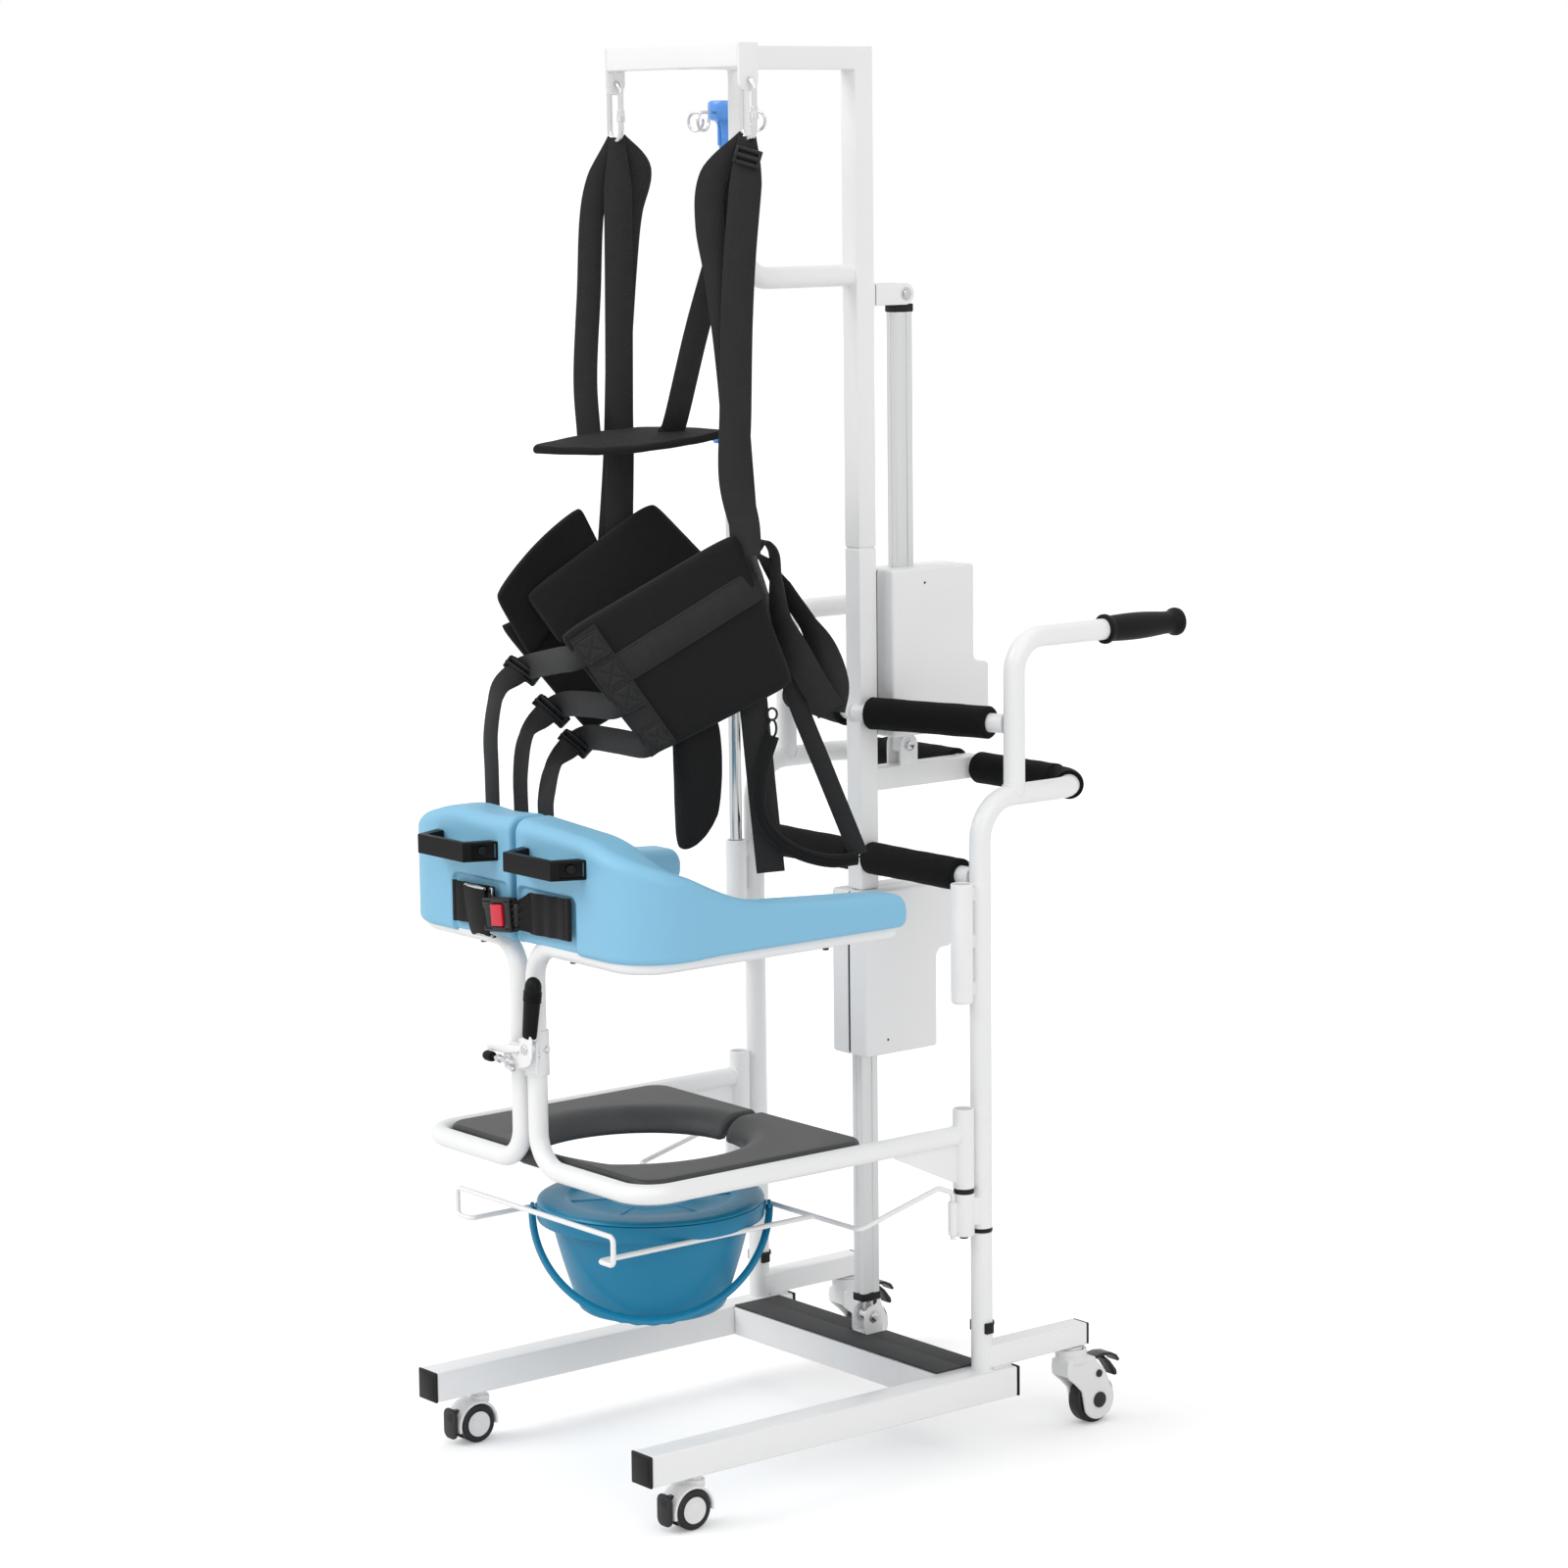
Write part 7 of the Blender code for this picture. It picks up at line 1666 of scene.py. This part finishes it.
GRIP_TILT = radians(9)
lever_frame = Matrix.Translation((LATCH_X, LATCH_Y, LATCH_Z)) @ Matrix.Rotation(GRIP_TILT, 4, "Y")
grip = bmesh.new()
shape = [(0, 0.014), (0.0062, 0.014), (0.0082, 0.0152), (0.0086, 0.018), (0.0096, 0.052), (0.0099, 0.06)]
for i in range(4):
    base = 0.062 + i * 0.0036
    shape += [(0.0099, base), (0.0108, base + 0.0007), (0.0108, base + 0.0019), (0.0099, base + 0.0026)]
shape += [(0.0098 * cos(a), 0.081 + 0.013 * sin(a)) for a in [pi / 2 * i / 8 for i in range(8)]]
shape += [(0, 0.094)]
stout = Matrix.Translation((0, -0.0012, 0)) @ Matrix.Diagonal((1.22, 1.0, 1.0, 1.0))
add_turned(grip, shape, lever_frame @ stout, 36)
show("latch_grip", grip, grip_rubber, "latch_lever", sharp=50)

toggle = bmesh.new()
ROOT = [(-0.013, 0.583), (0.023, 0.588), (0.029, 0.601), (0.03, 0.606), (0.044, 0.604), (0.049, 0.599)]
ROOT += [(0.0485, 0.578), (0.044, 0.567), (0.037, 0.5625), (-0.006, 0.553), (-0.011, 0.555)]
ARM = [(-0.047, 0.5785), (-0.01, 0.5845), (0.03, 0.589), (0.03, 0.582), (-0.008, 0.574), (-0.045, 0.5725)]
add_plate(toggle, ROOT[::-1], 0.018, 0.0202, front_on(0), 0.0006, 2)
add_plate(toggle, ARM[::-1], 0.02, 0.0226, front_on(0), 0.0006, 2)
add_bar(toggle, along_y(LATCH_X, -0.0092, LATCH_Z, -1), 0.008, 0.0, 0.009, 0.001, 36)
add_block(toggle, (-0.0061, -0.0171, LATCH_Z - 0.004), (LATCH_X, -0.0091, LATCH_Z + 0.004), 0.0012)
show("latch_toggle", toggle, powder_white, "latch_lever", "latch_lever", sharp=50)

bolts = bmesh.new()
BUFFER_Z, BUFFER_Y = 0.567, -0.027
add_bar(bolts, along_x(0, BUFFER_Y, BUFFER_Z), 0.003, -0.026, 0.018, 0.0006, 20)
for x in (-0.015, 0.004):
    add_turned(
        bolts, [(0, 0.0056), (0.005, 0.0056), (0.006, 0.0048), (0.006, 0.0008), (0.005, 0), (0, 0)],
        along_x(x, BUFFER_Y, BUFFER_Z), 6
    )
for x, z, radius, height, rounding, steps in (
    (LATCH_X, LATCH_Z, 0.0062, 0.003, 0.0012, 28), (0.017, 0.579, 0.0034, 0.0022, 0.0009, 20),
    (0.011, 0.557, 0.0036, 0.006, 0.001, 20),
):
    add_bar(bolts, along_y(x, -0.02, z, -1), radius, 0.0, height, rounding, steps)
add_block(bolts, (0.0, -0.0245, 0.56), (0.006, -0.02, 0.574), 0.001)
show("latch_bolts", bolts, bright_steel, "latch_lever")
buffer = bmesh.new()
dome = [
    (0, -0.044), (0.003, -0.0436), (0.0054, -0.0418), (0.0066, -0.0385), (0.0068, -0.03), (0.0062, -0.0262),
    (0, -0.0258)
]
add_turned(buffer, dome, along_x(0, BUFFER_Y, BUFFER_Z), 28)
show("latch_buffer", buffer, grip_rubber, "latch_lever")


# Infusion pole: a stainless tube in the left socket, with a thinner rod that slides in it, a
# blue clamp with its knob and a blue head with four bent wire hooks.

pole_steel = painted(
    "pole_stainless", "stainless_steel", (0.66, 0.66, 0.665), (0.6, 0.6, 0.605), 0.16, 0.004, 0.00001,
    metallic=1.0
)
pole_blue = painted(
    "blue_clamp_plastic", "blue_plastic", (0.105, 0.33, 0.83), (0.085, 0.29, 0.77), 0.3, 0.0014, 0.00006,
    coat=0.15
)
POLE_X, CLAMP_Z, KNOB_Z, KNOB_R, HEAD_Z = -LEG_X, 1.2903, 1.3073, 0.0078, 1.69
pole = add_bar(bmesh.new(), standing(POLE_X, SOCKET_Y), 0.0085, 0.607, 1.29, 0.0008, 40)
show("pole_outer", pole, pole_steel, "carriage", "pole_tube")
rod = add_bar(bmesh.new(), standing(POLE_X, SOCKET_Y), 0.006, 1.05, 1.715, 0.0006, 32)
show("pole_inner", rod, pole_steel, "pole_rod", "pole_inner_rod")
clamp = bmesh.new()
collar = [
    (0.0066, 0.0004), (0.011, 0.0), (0.0126, 0.0012), (0.013, 0.004), (0.013, 0.024), (0.0124, 0.029),
    (0.0106, 0.033), (0.009, 0.034), (0.0066, 0.0338)
]
add_turned(clamp, collar, standing(POLE_X, SOCKET_Y, CLAMP_Z), 44)
for z in (1.2945, 1.3165):
    add_bead(clamp, standing(POLE_X, SOCKET_Y, z), 0.013, 0.0006, 44)
show("pole_collar", clamp, pole_blue, "carriage", "pole_clamp")
knob = bmesh.new()
add_bar(knob, along_y(POLE_X, SOCKET_Y, KNOB_Z, -1), 0.0028, 0.008, 0.018, 0.0004, 16)
add_bar(knob, along_y(POLE_X, SOCKET_Y, KNOB_Z, -1), KNOB_R, 0.0155, 0.0275, 0.0016, 30)
for turn in circle(10):
    rib = Matrix.Translation((POLE_X + KNOB_R * cos(turn), SOCKET_Y, KNOB_Z + KNOB_R * sin(turn)))
    add_bar(knob, rib @ Matrix.Rotation(pi / 2, 4, "X"), 0.0016, 0.0165, 0.0265, 0.0006, 10)
show("pole_grip_knob", knob, pole_blue, "pole_knob", "pole_knob")

head = bmesh.new()
crown = [
    (0, 0.063), (0.02, 0.063), (0.0232, 0.0618), (0.0248, 0.059), (0.025, 0.056), (0.0248, 0.04),
    (0.0236, 0.0378), (0.017, 0.0362), (0.0138, 0.034), (0.0122, 0.028), (0.0112, 0.015), (0.0108, 0.001),
    (0.01, 0.0), (0, 0.0),
]
add_turned(head, crown, standing(POLE_X, SOCKET_Y, HEAD_Z), 48)
for i in range(4):
    turn = standing(POLE_X, SOCKET_Y, HEAD_Z) @ Matrix.Rotation(i * pi / 2, 4, "Z")
    add_block(head, (0.0105, -0.0012, 0.004), (0.015, 0.0012, 0.037), 0.0006, 2, turn)
show("pole_head", head, pole_blue, "pole_rod", "pole_hook_head")
hooks = bmesh.new()
HOOK_TURN, HOOK_Z, CURL_R = radians(15.5), 1.737, 0.0122
for quarter in range(4):
    turn = Matrix.Rotation(HOOK_TURN + quarter * pi / 2, 3, "Z")
    axis = Vector((POLE_X, SOCKET_Y, HOOK_Z))
    sweep = [(0.018, 0, 0), (0.03, 0, 0.0004), (0.042, 0, 0.0008)]
    sweep += [(0.0515 + CURL_R * sin(a), 0, -0.0115 + CURL_R * cos(a)) for a in [i / 2 for i in range(11)]]
    add_sweep(hooks, curve_through([axis + turn @ Vector(p) for p in sweep], 5), ring(0.002, 10))
show("pole_hooks", hooks, pole_steel, "pole_rod")


# Bucket rack: two white wires. One hooks into the side frames and crosses from side to side, and
# the other is welded to it as two rails, with a raised wire across their front ends.

RACK_Y, RAIL_Z, RAIL_X, RAIL_REAR, RAIL_END, LOOP_X, WIRE_R = 0.507, 0.33, 0.14, 0.352, 0.0115, 0.17, 0.0034
rack = bmesh.new()
rack_white = painted(
    "white_wire_coat", "white_powder_coat", (0.87, 0.87, 0.87), (0.82, 0.82, 0.825), 0.32, 0.0015, 0.00005,
    coat=0.15
)
arms = [(LEG_X, RACK_Y, 0.291), (LEG_X, RACK_Y, 0.353), (LEG_X, 0.483, 0.363), (LEG_X, RAIL_REAR, RAIL_Z)]
arms += [(-px, py, pz) for px, py, pz in reversed(arms)]
add_sweep(rack, rounded(arms, 0.009, 8), ring(WIRE_R, 16))
rails = [
    (RAIL_X, RAIL_REAR, RAIL_Z), (RAIL_X, RAIL_END, RAIL_Z),
    (LOOP_X, RAIL_END, RAIL_Z), (LOOP_X, RAIL_END, 0.366),
]
rails += [(-px, py, pz) for px, py, pz in reversed(rails)]
add_sweep(rack, rounded(rails, 0.007, 8), ring(WIRE_R, 16))
show("wire_rack", rack, rack_white, "carriage", "bucket_rack")


# Bucket: a teal polypropylene pail with a rolled rim, a sunken lid and a flat bail with finger
# waves. It hangs by its rim on the rails of the rack.

pail_teal = painted(
    "teal_pail_plastic", "teal_plastic", (0.007, 0.205, 0.37), (0.005, 0.185, 0.34), 0.34, 0.003, 0.00006,
    specular=0.35
)
lid_teal = painted(
    "teal_lid_plastic", "teal_plastic", (0.009, 0.235, 0.41), (0.007, 0.215, 0.38), 0.34, 0.003, 0.00006,
    specular=0.4
)
BUCKET_Y, RIM_LOW, RIM_TOP = 0.196, 0.3333, 0.352
BAIL_TURN, BAIL_TILT = radians(51.5), radians(42)
BAIL_HALF, BAIL_DROP, BAIL_STEPS = 0.1529, 0.1638, 96
pail = bmesh.new()
wall = [
    (0, 0.2125), (0.076, 0.2125), (0.078, 0.21), (0.0835, 0.21), (0.09, 0.2118), (0.0945, 0.2152),
    (0.0968, 0.2205)
]
for i in range(1, 16):
    share = i / 16
    wall.append((0.0968 + 0.0322 * share + 0.0015 * sin(pi * share), 0.2205 + 0.1095 * share))
wall += [
    (0.1292, 0.3302), (0.1445, 0.3302), (0.1462, 0.3312), (0.147, 0.3332), (0.147, 0.348), (0.1462, 0.3508),
    (0.144, 0.352), (0.1325, 0.352), (0.1312, 0.3505), (0.1268, 0.333), (0.093, 0.2205), (0.086, 0.216),
    (0, 0.216),
]
add_turned(pail, wall, standing(0, BUCKET_Y), 96)
bail_axis = Vector((cos(BAIL_TURN), sin(BAIL_TURN), 0))
bail_centre = Vector((0, BUCKET_Y, (RIM_LOW + RIM_TOP) / 2))
pivots = []
for side in SIDES.values():
    outward = upright.rotation_difference(bail_axis * side).to_matrix().to_4x4()
    pivots.append(Matrix.Translation(bail_centre) @ outward)
    add_bar(pail, pivots[-1], 0.0062, 0.144, 0.1484, 0.0008, 28)
show("pail", pail, pail_teal, "bucket", "bucket", sharp=40)

lid = bmesh.new()
top = [
    (0, 0.354), (0.05, 0.354), (0.0515, 0.3552), (0.056, 0.3552), (0.0575, 0.354), (0.102, 0.354),
    (0.106, 0.3552), (0.1085, 0.3576), (0.111, 0.3583), (0.138, 0.3583), (0.1425, 0.3577), (0.1456, 0.356),
    (0.1468, 0.3534), (0.1462, 0.3524), (0.1303, 0.3524), (0.1303, 0.347), (0.128, 0.3465), (0.1276, 0.3505),
    (0, 0.3508),
]
add_turned(lid, top, standing(0, BUCKET_Y), 96)
for i in range(6):
    turn = standing(0, BUCKET_Y) @ Matrix.Rotation(i * pi / 3, 4, "Z")
    add_block(lid, (0.057, -0.0012, 0.3532), (0.1035, 0.0012, 0.3552), 0.0006, 2, turn)
show("pail_lid", lid, lid_teal, "bucket_lid", "bucket_lid", sharp=40)

bail = bmesh.new()
bail_out = Vector((bail_axis.y, -bail_axis.x, 0)) * sin(BAIL_TILT) - upright * cos(BAIL_TILT)
path, wide, bail_wide = [], [], []
for i in range(BAIL_STEPS + 1):
    turn = pi * i / BAIL_STEPS
    grip = max(0.0, 1 - abs(turn - pi / 2) / 0.42)
    wave = 0.0016 * sin(turn * 46) * min(1.0, grip * 4)
    path.append(bail_centre + bail_axis * BAIL_HALF * cos(turn) + bail_out * BAIL_DROP * sin(turn))
    wide.append((path[-1] - bail_centre).normalized())
    bail_wide.append(0.0095 + 0.0035 * sin(turn) ** 4 + wave)
add_sweep(bail, path, lambda share: ribbon(bail_wide[round(BAIL_STEPS * share)], 0.0036), wide)
for pivot in pivots:
    add_bar(bail, pivot, 0.0068, 0.1506, 0.155, 0.001, 28)
show("pail_bail", bail, pail_teal, "bucket_bail", "bucket_bail", sharp=50)
